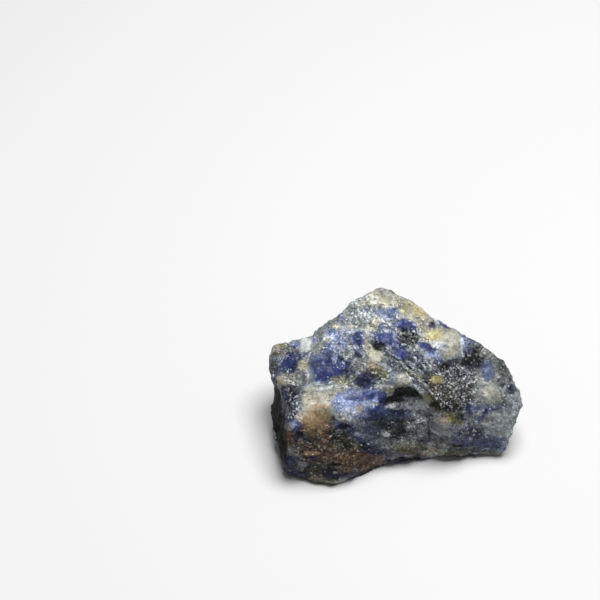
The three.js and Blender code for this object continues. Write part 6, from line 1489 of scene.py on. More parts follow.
d 11.48 -10.36 1.6 1.61 0.2 0 7.8 0.6 0.35
dk 15.54 -10.05 1.55 1.21 0.4 0 3.2 0.8 0.35
Lkc 0.06 0.6 0.5 14.33 -10.1 1.45 15.12 -10.01 1.96 16.08 -9.93 2.8
k 16.76 -9.88 1.66 1.21 0.28 0 3.1 0.5 0.35
s 17.05 -9.7 3.61 1.33 0.44 0 3.5 0.6 0.35
b -4.61 -10.37 14.91 2.09 0.79 8 3.5 0.85 0.75
s -1.78 -9.29 13.71 1.96 0.65 0 3.7 0.8 0.75
id 0.63 -8.92 13.14 2.74 0.41 -2 4.2 0.85 0.35
lw -6.01 -11.34 14.82 0.59 0.16 5 1.7 0.8 0.35
k 4.21 -8.72 13.06 1.59 0.6 0 2.8 0.7 0.35
kw 4.43 -9.16 12.07 0.79 0.99 0 2.2 0.6 0.35
l 4.82 -8.94 12.57 0.79 0.24 0 2.1 0.7 0.35
sk 0.65 -9.44 12.21 2.62 0.35 0 4.1 0.8 0.35
ds -2.56 -10.57 12.17 2.38 0.59 0 4.6 0.85 0.35
d 1.06 -9.93 11.15 1.59 0.52 0 2.9 0.92 0.35
d -2.13 -10.89 10.74 1.59 0.52 -10 3.5 0.9 0.35
sd -5.58 -11.87 12.75 1.3 0.87 0 3.1 0.8 0.75
s -7.4 -12.26 14.37 1.73 0.65 -6 3.4 0.7 0.75
gk -4.48 -11.35 12.76 0.4 0.22 0 1.7 0.9 0.35
d 1.31 -10.64 9.25 1.39 0.68 0 3 0.95 0.35
d -0.47 -11 8.3 1 0.4 0 2.6 0.95 0.35
d 2.94 -10.66 8.06 0.6 0.32 -20 1.9 0.8 0.35
wk -2.08 -11.15 8.93 1.11 0.4 -16 2.8 0.97 0.35
kw -2.81 -11.28 9.98 0.36 0.2 0 1.6 0.9 0.35
kw -7.98 -12.62 13.59 0.59 0.26 -35 1.9 0.9 0.35
k -7.17 -12.86 12.53 0.51 0.2 -40 1.6 0.8 0.35
kl -7.35 -13.14 11.21 0.99 0.3 -15 3 0.9 0.35
kl -6.14 -13.01 10.16 0.79 0.28 -22 2.3 0.9 0.35
wl -7.96 -13.24 11.92 0.39 0.18 -20 1.5 0.8 0.35
kw 2.47 -10.1 10.44 0.99 0.32 -25 2.4 0.9 0.35
kw 4.06 -9.6 11.07 0.99 0.68 0 2.4 0.7 0.35
kw 5.26 -10.5 10 0.6 0.6 -20 1.9 0.7 0.35
kl 3.04 -9.2 12.12 0.79 0.4 0 2.2 0.6 0.35
kw 5.13 -10.57 8.27 0.8 0.32 -15 2.9 0.9 0.35
k 3.91 -10.4 8.98 0.52 0.6 30 2.1 0.85 0.35
w 5.45 -10.54 10.04 0.2 0.18 0 1.3 0.9 0.35
w 2.5 -10.46 9.35 0.32 0.2 0 1.5 0.8 0.35
w 4.28 -10.08 10.12 0.28 0.16 -20 1.3 0.8 0.35
w 3.48 -9.75 10.47 0.32 0.14 -20 1.4 0.8 0.35
d 4.66 -10.05 10.54 0.48 0.2 -20 1.7 0.8 0.35
d 3.17 -9.52 10.99 0.6 0.24 -10 1.8 0.8 0.35
d 6.28 -10.82 9.16 0.32 0.4 -30 1.8 0.85 0.35
w 5.98 -10.28 11.84 0.2 0.16 0 1.3 0.7 0.35
ds -9.36 -12.78 13.78 0.79 0.59 0 2.2 0.7 0.35
i -6.71 -13.56 8.99 0.68 1.23 30 3 0.97 0.75
i -5.77 -13.43 7.02 0.69 0.69 25 2.6 0.95 0.75
id -4.42 -12.99 5.29 1.15 0.55 -20 2.8 0.92 0.35
s -4.89 -12.78 8.09 0.87 0.87 0 3.7 0.6 0.75
dg -3.41 -12.66 5.21 1 0.4 0 2.5 0.8 0.35
is -2.64 -12.29 6.31 0.92 0.46 -10 2.2 0.6 0.35
kg -3.68 -12.14 7.95 1.19 0.68 0 3.1 0.85 0.35
k -2.24 -11.9 6.77 1.8 0.8 0 3.4 0.7 0.35
kw -3.87 -12.24 7.61 0.36 0.22 0 1.6 0.9 0.35
k -1.04 -11.29 7.28 1 0.4 0 2.5 0.6 0.35
pi -2.41 -12.6 5.02 0.8 0.4 -10 2.4 0.85 0.35
ok -0.61 -12.11 5.48 1.2 0.6 0 2.4 0.6 0.35
cw 1.16 -11.3 7.1 0.36 0.26 0 1.5 0.97 0.35
kc 1.19 -11.58 6.09 0.36 0.4 0 1.6 0.95 0.35
kc 2.35 -11 7.55 0.4 0.24 15 1.5 0.95 0.35
ct 3.79 -11.24 6.31 0.6 0.22 10 2 0.95 0.35
ct 2.87 -11.5 6.45 0.32 0.22 0 1.5 0.9 0.35
d 5.31 -10.82 6.28 0.32 0.4 0 1.8 0.85 0.35
ot 3.03 -11.47 5.04 1.8 1 0 4 0.7 0.35
ro 4.02 -11.29 5.45 0.8 0.4 0 2.5 0.5 0.35
t 5.74 -10.67 3.51 1.01 0.6 20 3 0.6 0.35
tc 3.5 -11.41 3.29 0.8 0.24 10 3.1 0.9 0.35
tc 5.73 -10.67 3.66 0.4 0.14 0 1.8 0.7 0.35
to 1.63 -11.98 4.42 0.8 0.4 0 2.2 0.6 0.35
ot 7.3 -10.38 4.7 1 0.6 0 2.8 0.5 0.35
d 2.96 -11.38 1.68 2.01 0.32 0 7 0.97 0.35
d -0.71 -12.36 2.09 1.61 0.32 8 4.5 0.95 0.35
kc -0.13 -12.29 2.88 0.88 0.18 4 2.7 0.95 0.35
kc 4.59 -11.1 1.69 0.4 0.12 0 1.8 0.7 0.35
dk -1.56 -12.57 3.57 0.8 0.32 0 2.8 0.7 0.35
t -16.45 -13.05 14.97 2.35 1.18 0 3.9 0.7 0.35
ty -16.84 -12.78 15.25 1.57 0.59 0 2.9 0.6 0.35
t -16.05 -13.96 13.34 1.77 0.98 0 3.3 0.8 0.35
tr -14.48 -14.17 12.98 0.59 0.98 0 2.2 0.6 0.35
o -15.66 -14.66 12.05 0.98 0.59 0 2 0.5 0.35
ct -18.21 -12.31 15.02 0.98 0.59 0 2.3 0.6 0.35
w -20.57 -12.24 14.05 0.51 0.28 -40 1.7 0.8 0.35
kl -19.59 -12.18 14.58 0.79 0.39 0 1.8 0.8 0.35
wk -20.97 -12.8 13.05 0.47 0.22 -10 1.7 0.85 0.35
i -19.98 -12.82 13.52 1.13 0.54 15 2.5 0.9 0.35
i -19 -12.98 13.86 0.68 0.45 0 1.7 0.85 0.35
s -21.56 -11.68 13.72 0.65 0.65 0 2.4 0.7 0.75
ib -21.16 -13.13 12.39 1.13 0.59 0 2.6 0.85 0.75
id -21.96 -11.85 12.72 0.45 0.91 0 4 0.8 0.35
pk -18.6 -13.34 13.52 0.79 0.51 0 1.8 0.8 0.35
rp -18.11 -13.91 12.98 0.47 0.31 0 1.5 0.9 0.35
d -19.19 -14.03 12.43 0.9 0.28 10 2.4 0.95 0.35
d -19.59 -14.22 11.85 0.59 0.59 0 2 0.7 0.35
is -17.62 -14.72 11.52 1.45 0.63 -25 3.2 0.92 0.75
ds -18.41 -14.45 12.11 0.59 0.39 -25 1.7 0.8 0.35
d -17.03 -14.89 11.12 0.47 0.24 -25 1.6 0.85 0.35
ro -21.17 -13.84 11.41 0.79 0.67 0 2 0.8 0.35
od -20.97 -14.8 10.12 0.99 0.79 0 2.3 0.92 0.35
o -19.19 -15.15 9.92 0.99 0.59 0 2.3 0.6 0.35
tc -18.8 -14.8 11.02 0.55 0.26 -35 1.8 0.95 0.35
rd -13.69 -13.39 13.57 0.59 0.71 0 2.1 0.92 0.35
wc -13.99 -13.39 13.87 0.26 0.22 0 1.4 0.9 0.35
r -14.67 -14.37 12.61 0.63 0.67 0 1.8 0.8 0.35
rd -14.68 -14.13 13.09 0.43 0.26 0 1.5 0.92 0.35
wc -14.77 -14.77 11.74 0.24 0.18 0 1.3 0.9 0.35
dg -12.5 -12.26 14.08 1.1 0.87 0 2.3 0.9 0.35
d -12.51 -11.99 14.66 0.59 0.39 0 1.8 0.7 0.35
ck -10.93 -12.09 14.3 0.98 0.47 0 2.2 0.9 0.35
g -12.12 -11.68 15.2 0.59 0.79 0 2.1 0.6 0.35
k -9.56 -12.64 13.91 1.18 0.35 0 2.8 0.8 0.35
Li 0.27 0.97 0.5 -12.01 -13.19 12.88 -11.52 -12.88 13.21 -10.73 -12.67 13.17 -9.84 -12.99 12.65
s -9.15 -13.27 12.26 1.21 0.65 0 3 0.7 0.75
ds -8.53 -13.62 10.85 0.99 0.47 0 2.5 0.7 0.35
kl -8.94 -13.48 11.6 0.59 0.28 -20 1.7 0.6 0.35
d -11.71 -13.79 11.77 1.77 0.87 0 3.6 0.9 0.35
od -10.7 -14.15 9.66 1.78 0.91 0 3 0.85 0.35
d -9.9 -14.47 8.83 1.19 0.4 0 2.4 0.85 0.35
d -12.29 -14.47 10.64 1.18 0.47 0 2.6 0.8 0.35
d -8.92 -13.92 10 0.79 0.4 0 2.1 0.7 0.35
kw -12.1 -13.99 11.58 0.2 0.16 0 1.3 0.85 0.6
kw -12.7 -13.68 12.42 0.2 0.16 0 1.3 0.85 0.6
kw -11.31 -13.53 11.95 0.2 0.16 0 1.3 0.85 0.6
kw -13.09 -14.22 11.55 0.2 0.16 0 1.2 0.85 0.6
kw -10.71 -13.64 11.18 0.2 0.16 0 1.3 0.85 0.6
kw -11.71 -13.36 12.5 0.2 0.16 0 1.2 0.85 0.6
kw -12.5 -13.15 13 0.2 0.16 0 1.2 0.85 0.6
kw -13.49 -13.93 12.41 0.2 0.16 0 1.3 0.85 0.6
kw -10.12 -13.3 11.69 0.2 0.16 0 1.2 0.85 0.6
cw -9.52 -13.74 10.7 0.51 0.2 -5 1.7 0.95 0.35
w -10.6 -14.58 9.17 0.2 0.16 0 1.2 0.8 0.35
c -8.51 -14.4 8.75 0.79 0.22 15 2.1 0.95 0.35
c -9.11 -14.09 9.6 0.24 0.16 0 1.3 0.8 0.35
o -8.12 -14.08 9.28 0.79 0.4 0 2.1 0.6 0.35
r -16.44 -15.46 9.97 2.36 0.79 0 4.8 0.6 0.35
rt -10.88 -15.63 7.46 2.77 0.99 -4 6.1 0.7 0.35
r -8.07 -14.94 6.04 1.99 0.99 -8 4.7 0.7 0.35
t -16.82 -15.68 8.37 1.78 0.28 -3 3.7 0.95 0.35
tc -17.42 -15.54 8.56 0.79 0.14 -3 2.1 0.7 0.35
rd -13.67 -15.66 9.6 0.99 0.39 0 2.2 0.6 0.35
rd -18.01 -15.32 9.07 1.18 0.28 0 2.9 0.6 0.35
r -4.19 -13.38 3.6 1.4 0.88 0 3.4 0.85 0.35
rp -3.17 -12.96 3.41 0.8 0.6 0 2.4 0.8 0.35
rd -8.89 -14.83 7.44 0.99 0.24 -15 2.4 0.7 0.35
rd -7.6 -14.22 3.05 1.6 0.4 10 4 0.6 0.35
r -6.05 -13.95 5.64 1.39 0.4 -15 4 0.7 0.35
ct -15.45 -15.49 10.16 0.37 0.18 -45 1.4 0.97 0.5
ct -14.27 -15.48 10.15 0.37 0.2 0 1.5 0.97 0.5
ct -14.46 -15.65 9.77 0.28 0.14 0 1.4 0.97 0.5
ct -13.28 -15.77 9.28 0.41 0.18 -35 1.4 0.97 0.5
ct -19.19 -15.71 7.7 0.4 0.16 -20 1.6 0.97 0.5
ct -11.88 -16.06 7.87 0.38 0.18 20 1.6 0.97 0.5
ct -11.08 -15.78 7.27 0.34 0.16 -30 1.6 0.97 0.5
ct -10.08 -15.02 7.66 0.18 0.36 30 1.5 0.97 0.5
ct -14.64 -16.29 6.71 0.32 0.14 30 1.6 0.97 0.5
ct -13.05 -16.3 6.11 0.24 0.14 0 1.4 0.97 0.5
ct -11.86 -16.01 6.22 0.59 0.12 0 1.9 0.97 0.5
ct -12.05 -16.55 5.09 0.36 0.14 0 1.6 0.97 0.5
ct -10.26 -16.46 5.07 0.48 0.16 0 1.6 0.97 0.5
ct -13.85 -16.46 6 0.28 0.14 0 1.5 0.97 0.5
ct -8.88 -14.97 6.99 0.28 0.18 0 1.4 0.97 0.5
ct -9.68 -15.31 6.62 0.18 0.14 0 1.3 0.97 0.5
ct -8.27 -14.99 6.28 0.56 0.14 0 2 0.97 0.5
ct -15.25 -15.74 9.4 0.18 0.28 0 1.4 0.97 0.5
ct -10.67 -16.05 5.81 0.28 0.12 0 1.3 0.97 0.5
ik -20.38 -15.61 8.34 1.45 1.14 0 3.1 0.85 0.75
k -18.8 -15.82 7.07 0.59 0.28 0 1.8 0.6 0.35
is -21.37 -15.86 6.51 1.14 0.91 0 3 0.8 0.75
i -21.99 -14.73 2.73 1.15 1.38 0 6.2 0.92 0.75
i -19.79 -15.39 2.58 2.07 0.6 -4 6.5 0.85 0.75
d -18.6 -16.07 6.37 0.99 0.24 -10 2.3 0.95 0.35
kw -18.8 -16.02 5.48 0.87 0.52 -10 2.9 0.9 0.35
kg -19 -15.95 4.62 0.99 0.4 0 2.9 0.7 0.35
w -18.8 -15.94 3.84 0.36 0.14 0 1.7 0.8 0.35
d -19.19 -15.62 2.66 1.2 0.2 0 3.9 0.9 0.35
s -18.59 -15.77 1.79 1.1 0.31 -15 3.2 0.8 0.35
pi -16.62 -15.86 6.93 0.83 0.48 0 2.6 0.92 0.35
ds -20.58 -16.01 5.46 0.6 0.2 0 2.1 0.8 0.35
k -21.59 -15.2 1.74 0.8 0.28 0 2.9 0.5 0.35
dg -16.21 -15.84 4.65 1.59 0.6 0 4.2 0.85 0.35
od -15.61 -16.23 3.58 1.59 0.8 0 3.2 0.8 0.35
k -14.43 -16.5 4.81 0.6 0.28 0 2.1 0.5 0.35
d -12.85 -16.31 5.39 0.87 0.32 0 2.9 0.92 0.35
d -13.03 -16.35 4.03 1.39 0.4 0 3.4 0.85 0.35
kw -12.23 -16.51 3.78 0.36 0.2 0 1.5 0.9 0.35
dr -10.25 -16.68 4.11 0.99 0.28 0 2.7 0.6 0.35
kc -14.84 -16.27 6.68 0.4 0.14 0 1.7 0.6 0.35
i -11.03 -16.77 2.81 2.98 0.55 2 5.6 0.97 0.35
i -8.19 -14.99 1.8 1.61 0.46 18 4.4 0.9 0.35
rp -16 -16.73 2.01 0.88 0.4 0 2.3 0.97 0.35
r -16.1 -16.68 1.95 0.4 0.18 0 1.7 0.9 0.35
gk -14.81 -16.97 1.99 0.48 0.24 0 1.8 0.95 0.35
g -11.01 -16.83 1.2 1.4 0.36 10 3.8 0.92 0.35
k -14 -17.14 1.14 2 0.28 0 4 0.85 0.35
do -17.6 -16.05 2.13 0.8 0.4 0 2.3 0.8 0.35
kt -16.8 -16.6 0.93 1 0.28 -15 2.6 0.6 0.35
d -12.6 -17.2 0.53 1.4 0.18 0 3.6 0.8 0.35
sk -19.59 -15.5 1.16 1.32 0.26 -10 4.4 0.7 0.35
g -22 -15.02 0.9 0.8 0.28 0 2.9 0.5 0.35
cg -15.78 3.48 18.96 1.4 0.88 10 3.5 0.85 0.35
w -18.19 4.91 18.16 1.09 0.89 0 3.2 1 0.2
wc -17.99 3.98 18.14 1.01 0.52 0 2.7 0.9 0.35
gk -15.99 2 18.76 1.2 0.48 20 3.4 0.7 0.35
w -16.79 2.47 18.41 0.48 0.16 30 2 0.9 0.35
w -17.39 2.02 18.16 0.32 0.16 30 1.6 0.9 0.35
w -16.99 0.95 18.28 0.16 0.36 -20 1.8 0.9 0.35
w -17.79 0.61 17.91 0.2 0.14 0 1.4 0.8 0.35
sk -16 1.02 18.64 1.1 0.88 20 2.8 0.7 0.75
s -14.6 0.95 18.71 1.32 0.88 10 3.1 0.8 0.75
b -13.22 -1.51 18.42 3.05 1.41 15 4.6 0.92 0.75
b -15.03 -3.5 17.93 1.87 1.17 0 5 0.92 0.75
i -12.24 -2.49 18.3 1.37 0.69 -5 3.2 0.75 0.75
b -10.85 -1.99 18.93 0.94 0.94 0 2.6 0.7 0.75
i -11.26 -2.96 18.51 0.91 0.55 0 2.4 0.8 0.35
bs -13.25 -3.98 18.15 1.64 0.56 0 4.7 0.7 0.35
w -18.19 5.06 18.17 0.81 0.6 0 2.6 0.9 0.2
Lwl 0.31 0.95 0.5 -11.89 3.81 20.35 -12.1 2.45 20.04 -12.35 1.17 19.65 -12.42 -0.12 19.26 -12.63 -1.23 18.7
wl -11.61 1.87 20.06 1 0.4 20 2.8 0.8 0.35
ls -11 2.91 20.42 0.8 0.6 0 2.2 0.6 0.75
wl -13 2.06 19.57 0.48 0.24 30 2.1 0.8 0.35
kl -13.8 1.92 19.14 0.8 0.4 0 2.6 0.6 0.35
wl -14.51 -1.17 18.35 0.38 0.24 30 1.6 0.95 0.4
wl -15.51 -2.04 18.11 0.2 0.48 -10 1.6 0.9 0.4
wl -15.02 -2.49 18.01 0.2 0.4 0 1.6 0.9 0.4
l -16.02 -3.61 17.76 0.2 0.36 0 1.8 0.9 0.35
wl -13.81 0.13 18.7 0.16 0.32 -20 1.6 0.8 0.35
wl -15.43 -5.24 17.92 0.44 0.16 10 1.9 0.9 0.35
wl -16.42 -4.98 17.79 0.28 0.2 0 1.6 0.9 0.35
w -12.86 -4.67 18.15 0.28 0.16 0 1.3 0.8 0.35
l -11.84 -1.72 18.64 0.18 0.28 0 1.3 0.9 0.35
l -10.45 -1.67 19.17 0.16 0.32 0 1.4 0.9 0.35
go -10.48 -4.83 18.06 1.78 0.83 0 3 0.95 0.35
gc -8.91 -4.65 18.59 0.79 0.59 0 2 0.6 0.35
w -11.87 -4.97 18.07 0.24 0.12 20 1.3 0.8 0.35
w -10.88 -4.56 18.21 0.2 0.12 0 1.2 0.8 0.35
w -9.9 -5.26 17.94 0.28 0.12 20 1.3 0.8 0.35
w -12.36 -6.51 17.55 0.43 0.16 30 1.7 0.97 0.35
w -11.49 -6.33 17.67 0.36 0.14 30 1.5 0.97 0.35
w -10.7 -7.21 17.14 0.36 0.16 0 1.5 0.9 0.35
w -12.08 -5.81 17.8 0.24 0.12 0 1.3 0.8 0.35
kg -19.39 -3.45 17 0.8 1.39 0 3.6 0.85 0.35
sk -19.19 -5.2 17.15 0.78 1.09 0 3.3 0.8 0.75
pk -19.79 -6.57 17.18 0.59 0.59 0 2.8 0.6 0.35
w -18.2 -5.65 17.46 0.47 0.26 20 2.3 0.95 0.35
w -17.61 -4.72 17.5 0.24 0.18 0 1.5 0.9 0.35
kl -18.6 -2.41 17.35 0.28 0.8 10 2.5 0.8 0.35
w -18.99 -1.21 17.37 0.2 0.36 0 1.6 0.8 0.35
sg -24.02 1.44 15.27 0.97 1.55 0 3.9 0.85 0.75
ds -24.43 0.88 14.1 0.6 0.6 0 2.7 0.7 0.35
w -22.9 0.24 15.96 0.2 0.16 0 1.4 0.9 0.35
w -24.02 1.94 15.91 0.16 0.16 0 1.3 0.8 0.35
w -22.4 0.49 16.58 0.16 0.14 0 1.2 0.9 0.35
w -23.41 -0.46 14.95 0.16 0.18 0 1.7 0.8 0.35
g -23.21 2.41 16.88 1 0.6 0 2.6 0.5 0.35
b -21.6 1.56 17.19 1.18 1.42 0 3.3 0.7 0.75
sb -22.2 0.02 16.49 1.32 0.88 0 3 0.7 0.75
gk -9.25 -0.18 20.19 1.19 0.8 0 2.6 0.75 0.35
kw -8.87 -1.64 19.72 0.71 0.52 10 1.9 0.65 0.35
kg -9.48 -3.14 19.15 0.99 0.67 0 2.4 0.7 0.35
w -9.85 -0.5 19.96 0.2 0.2 0 1.3 0.8 0.35
w -8.88 -2.25 19.5 0.28 0.14 0 1.4 0.85 0.35
w -8.18 -1.49 19.85 0.18 0.24 0 1.3 0.8 0.35
w -10.25 -0.87 19.62 0.16 0.24 0 1.3 0.8 0.35
gk -10.19 4.01 21.01 1.2 0.8 0 2.6 0.5 0.35
kl -8.99 4.12 21.18 0.6 1 0 1.9 0.6 0.35
w -9.62 2.03 20.47 0.4 0.22 0 1.8 0.8 0.35
l -8.8 3.4 20.78 0.48 0.4 0 1.7 0.7 0.35
w -11.32 0.92 19.91 0.2 0.32 0 1.5 0.8 0.35
sb -11.11 -9.06 16.4 1.3 0.65 8 2.7 0.6 0.75
sl -8.93 -7.83 16.8 1.3 0.65 15 3.1 0.6 0.75
lw -9.51 -6.44 17.18 0.79 0.28 15 1.8 0.85 0.35
w -10.3 -6.15 17.41 0.32 0.14 0 1.4 0.8 0.35
lw -7.96 -9.21 16.27 0.99 0.39 10 2.1 0.7 0.35
b -9.73 -8.61 16.49 0.93 0.33 12 2.1 0.7 0.35
w -8.92 -7.36 16.87 0.2 0.32 30 1.5 0.9 0.35
w -10.12 -7.96 16.8 0.2 0.14 0 1.3 0.9 0.35
w -7.56 -8.31 16.74 0.32 0.16 20 1.4 0.9 0.35
wl -6.38 -9.02 16.36 0.59 0.24 15 1.7 0.8 0.35
cl -7.98 -10.51 15.81 1.38 0.59 5 3 0.7 0.35
wl -9.36 -10.6 16.05 0.79 0.31 0 1.8 0.7 0.35
sb -6.96 -8.16 16.75 0.87 0.26 20 2 0.7 0.35
w -11.12 -9.72 16.1 0.39 0.16 20 1.6 0.8 0.35
w -12.38 -8.92 16.83 0.2 0.24 0 1.3 0.8 0.35
gk -2.61 -6.4 17.87 0.99 0.79 0 2 0.9 0.35
kp -2.6 -7.07 17.14 0.99 0.47 10 2.2 0.7 0.35
kw -2.01 -6.09 18.11 0.59 0.2 -30 1.6 0.8 0.35
cw -2.69 -5.25 18.6 0.67 0.16 -28 1.7 0.9 0.35
cw -1.91 -5.86 18.33 0.59 0.14 -32 1.6 0.85 0.35
od -3.16 -3.88 19.21 0.99 0.87 -30 2.2 0.9 0.35
oy -3.75 -3.4 19.42 0.59 0.4 -20 1.7 0.8 0.35
od -2.67 -4.85 18.8 0.51 0.24 -30 1.6 0.7 0.35
og -4.16 -4.23 19.01 0.59 0.4 0 1.8 0.6 0.35
ps -0.42 -4.87 19.12 0.4 0.59 0 1.7 0.7 0.35
cg 0.74 -5.44 19.16 0.99 0.99 -10 2.3 0.8 0.35
kc 1.7 -6.31 18.94 0.99 0.59 -15 2.3 0.8 0.35
wc 1.13 -5.26 19.39 0.51 0.59 -10 1.7 0.7 0.35
g -0.25 -6.2 18.52 0.79 0.59 20 2 0.7 0.35
og -1.21 -6.92 16.98 0.79 0.59 35 2.4 0.85 0.35
go -0.06 -6.77 18.15 1.18 0.32 8 3.9 0.8 0.35
d 1.41 -6.37 16.08 2.38 0.87 -4 3.5 0.98 0.25
d -0.98 -7.39 15.58 1.39 0.79 16 2.5 0.98 0.25
d -0.18 -7.7 14.89 1.58 0.48 6 2.9 0.95 0.25
d 4.28 -8.07 16.92 1.38 0.47 -24 5 0.95 0.25
is -3.29 -7.96 16.06 0.77 0.91 10 2.1 0.85 0.75
ig -2.58 -8.54 14.94 1.14 0.36 8 2.4 0.7 0.35
d -2.19 -8.07 15.42 0.79 0.4 10 2 0.9 0.3
kw -0.57 -8.43 14.05 1.19 0.3 4 2.6 0.85 0.35
kg 3.6 -7.96 14.29 2.18 0.79 -6 4.1 0.7 0.35
k 1.42 -8.07 14.12 0.99 0.48 0 1.8 0.6 0.35
kg 4.82 -8.9 12.68 1.79 0.99 -4 3.4 0.8 0.35
g 5.95 -8.66 14.19 0.99 0.99 0 2.8 0.6 0.35
kg 6.93 -10.14 12.88 1.19 0.79 0 2.4 0.6 0.35
tg 5.04 -8.37 17.1 0.79 0.28 -38 3 0.8 0.35
ok 6.06 -8.19 16.62 0.79 0.79 -20 2.8 0.7 0.35
kt 4.62 -7.87 18.31 0.2 0.79 46 1.8 0.8 0.35
Lwk 0.06 0.9 0.5 3.46 -6.31 19.22 4.42 -7.47 18.75 5.21 -8.09 17.96
Lck 0.07 0.8 0.5 2.32 -4.75 19.86 3.67 -5.75 19.49 5.04 -6.72 18.8 6.2 -7.92 18.06
Ld 0.05 0.8 0.5 3.29 -5.37 19.66 4.45 -6.47 19.11 5.61 -7.65 18.36
Lwk 0.05 0.8 0.5 2.91 -4.5 20.17 4.28 -5.45 19.46 5.63 -6.73 18.81
Loy 0.1 0.85 0.5 1.93 -4.33 19.98 2.9 -4.99 19.83 4.07 -5.67 19.4
sk -4.79 8.06 24.87 1.1 0.44 0 3.1 0.85 0.35
sk -3.01 7.67 25.27 1.76 0.53 -6 3.4 0.8 0.35
s -1.02 7.18 25.2 1.1 0.88 -40 2.1 0.85 0.75
ks -0.23 6.26 24.43 0.8 0.6 -45 1.8 0.8 0.35
sd -1.63 6.77 24.91 0.66 0.31 -25 1.6 0.6 0.35
gl -4.19 7.23 24.3 1.2 0.28 -5 2.6 0.8 0.35
w -4.98 8.13 24.64 0.28 0.16 0 1.5 0.9 0.35
w -3.79 8.13 25.21 0.2 0.14 0 1.2 0.8 0.35
w -2.02 7.48 25.58 0.16 0.22 0 1.3 0.8 0.35
w -0.81 8.17 25.9 0.16 0.32 30 1.5 0.8 0.35
w -1.58 9.56 26.21 0.12 0.36 -10 1.5 0.7 0.35
w -3.6 6.75 24.07 0.6 0.16 -30 1.9 0.9 0.35
w -2.41 6.03 23.81 0.48 0.14 -38 1.5 0.9 0.35
sg -2.42 4.86 23 1.32 0.88 0 2.7 0.8 0.75
kl -3.44 3.86 22.6 0.8 0.8 0 2.2 0.7 0.35
ks -0.86 3.59 22.88 0.8 0.8 -20 2.2 0.75 0.35
w -1.95 3.93 22.82 0.68 0.2 -42 2 0.95 0.35
w -1.42 5.28 23.29 0.48 0.16 -40 1.7 0.8 0.35
b -0.9 1.91 22.33 1.17 1.17 -20 2.6 0.8 0.75
s -2.49 2.06 22.45 0.87 0.87 -10 2.3 0.7 0.75
ls -1.72 0.58 21.7 0.99 0.6 -35 2.2 0.7 0.75
p -4.26 2.7 22.22 0.6 0.48 0 1.9 0.7 0.35
l -4.77 1.78 21.88 0.32 0.48 20 1.7 0.7 0.35
kg -5.66 2.13 21.81 0.8 1.39 -10 3 0.8 0.35
gk -6.03 3.67 22.22 0.8 0.8 0 2.1 0.7 0.35
kl -8.79 4.52 21.63 0.8 0.68 0 1.9 0.8 0.35
g -9.4 3.19 20.71 0.6 0.8 0 2.1 0.7 0.35
sb -7.61 3.33 21.43 1.1 1.01 0 3.4 0.8 0.75
i -7.04 1.99 21.38 1.01 0.69 0 2.4 0.8 0.75
w -6.46 1.05 21.07 0.24 0.28 0 1.3 0.8 0.35
w -8.34 1.39 20.85 0.48 0.32 0 1.6 0.9 0.35
l -9.04 1.08 20.6 0.6 0.32 0 2.2 0.7 0.35
w -1.91 0.69 21.74 0.38 0.1 -42 1.5 0.9 0.5
w -1.43 0.26 21.58 0.38 0.1 -42 1.5 0.9 0.5
w -0.94 -0.17 21.45 0.38 0.1 -42 1.6 0.9 0.5
w -0.46 -0.62 21.36 0.38 0.1 -42 1.5 0.9 0.5
w 0.03 -1.01 21.19 0.38 0.1 -42 1.5 0.9 0.5
w -2.32 -0.02 21.35 0.38 0.1 -42 1.5 0.9 0.5
w -1.84 -0.54 21.27 0.38 0.1 -42 1.6 0.9 0.5
w -1.36 -1.11 21.24 0.38 0.1 -42 1.6 0.9 0.5
w -0.88 -1.57 21.09 0.38 0.1 -42 1.4 0.9 0.5
w -0.18 -1.89 20.85 0.38 0.1 -42 1.4 0.9 0.5
w 0.61 -1.53 21.05 0.38 0.1 -42 1.5 0.9 0.5
w -1.12 0.55 21.73 0.38 0.1 -42 1.5 0.9 0.5
d -1.73 0 21.45 0.4 0.12 -42 1.6 0.85 0.5
d -1.15 -0.63 21.36 0.4 0.12 -42 1.6 0.85 0.5
d -0.57 -1.15 21.22 0.4 0.12 -42 1.6 0.85 0.5
d -2.04 0.33 21.57 0.4 0.12 -42 1.5 0.85 0.5
d -1.56 -1.44 20.95 0.4 0.12 -42 1.5 0.85 0.5
d 0.02 -1.53 21.04 0.4 0.12 -42 1.4 0.85 0.5
d -0.73 0.22 21.62 0.4 0.12 -42 1.5 0.85 0.5
d -0.15 -0.27 21.45 0.4 0.12 -42 1.5 0.85 0.5
sk -1.16 -0.95 21.3 1.96 1.31 -42 4.1 0.55 0.75
w 1.47 2.1 22.84 0.3 0.14 -40 1.3 0.9 0.5
w 2.58 2.73 23.19 0.3 0.14 -40 1.3 0.9 0.5
w 2.06 1.54 22.56 0.3 0.14 -40 1.3 0.9 0.5
w 2.97 2.12 22.82 0.3 0.14 -40 1.4 0.9 0.5
w 1.76 1.12 22.29 0.3 0.14 -40 1.3 0.9 0.5
w 3.25 1.46 22.51 0.3 0.14 -40 1.4 0.9 0.5
w 0.79 2.9 23.16 0.3 0.14 -40 1.4 0.9 0.5
w 1.17 1.47 22.36 0.3 0.14 -40 1.3 0.9 0.5
w 2.43 0.46 22.12 0.3 0.14 -40 1.4 0.9 0.5
w 3.52 0.38 22.2 0.3 0.14 -40 1.4 0.9 0.5
w 3.09 3.25 23.38 0.3 0.14 -40 1.4 0.9 0.5
w 0.49 2.35 22.73 0.3 0.14 -40 1.4 0.9 0.5
sk -1.62 7.79 25.72 1.54 0.66 -10 3.3 0.9 0.75
gk -3.59 8.36 25.42 1.2 0.32 -5 2.5 0.8 0.35
sk -2.42 7.17 25.21 2.2 0.66 -15 3.8 0.75 0.75
g -0.02 7.14 24.95 0.6 1 10 2.1 0.7 0.35
ks -2.18 -3.77 19.39 0.79 0.99 0 2.3 0.8 0.35
ok -3.76 -3.87 19.21 0.99 0.79 -20 2.2 0.8 0.35
cy 2.63 8.63 25.15 2 1 -22 3.5 0.75 0.35
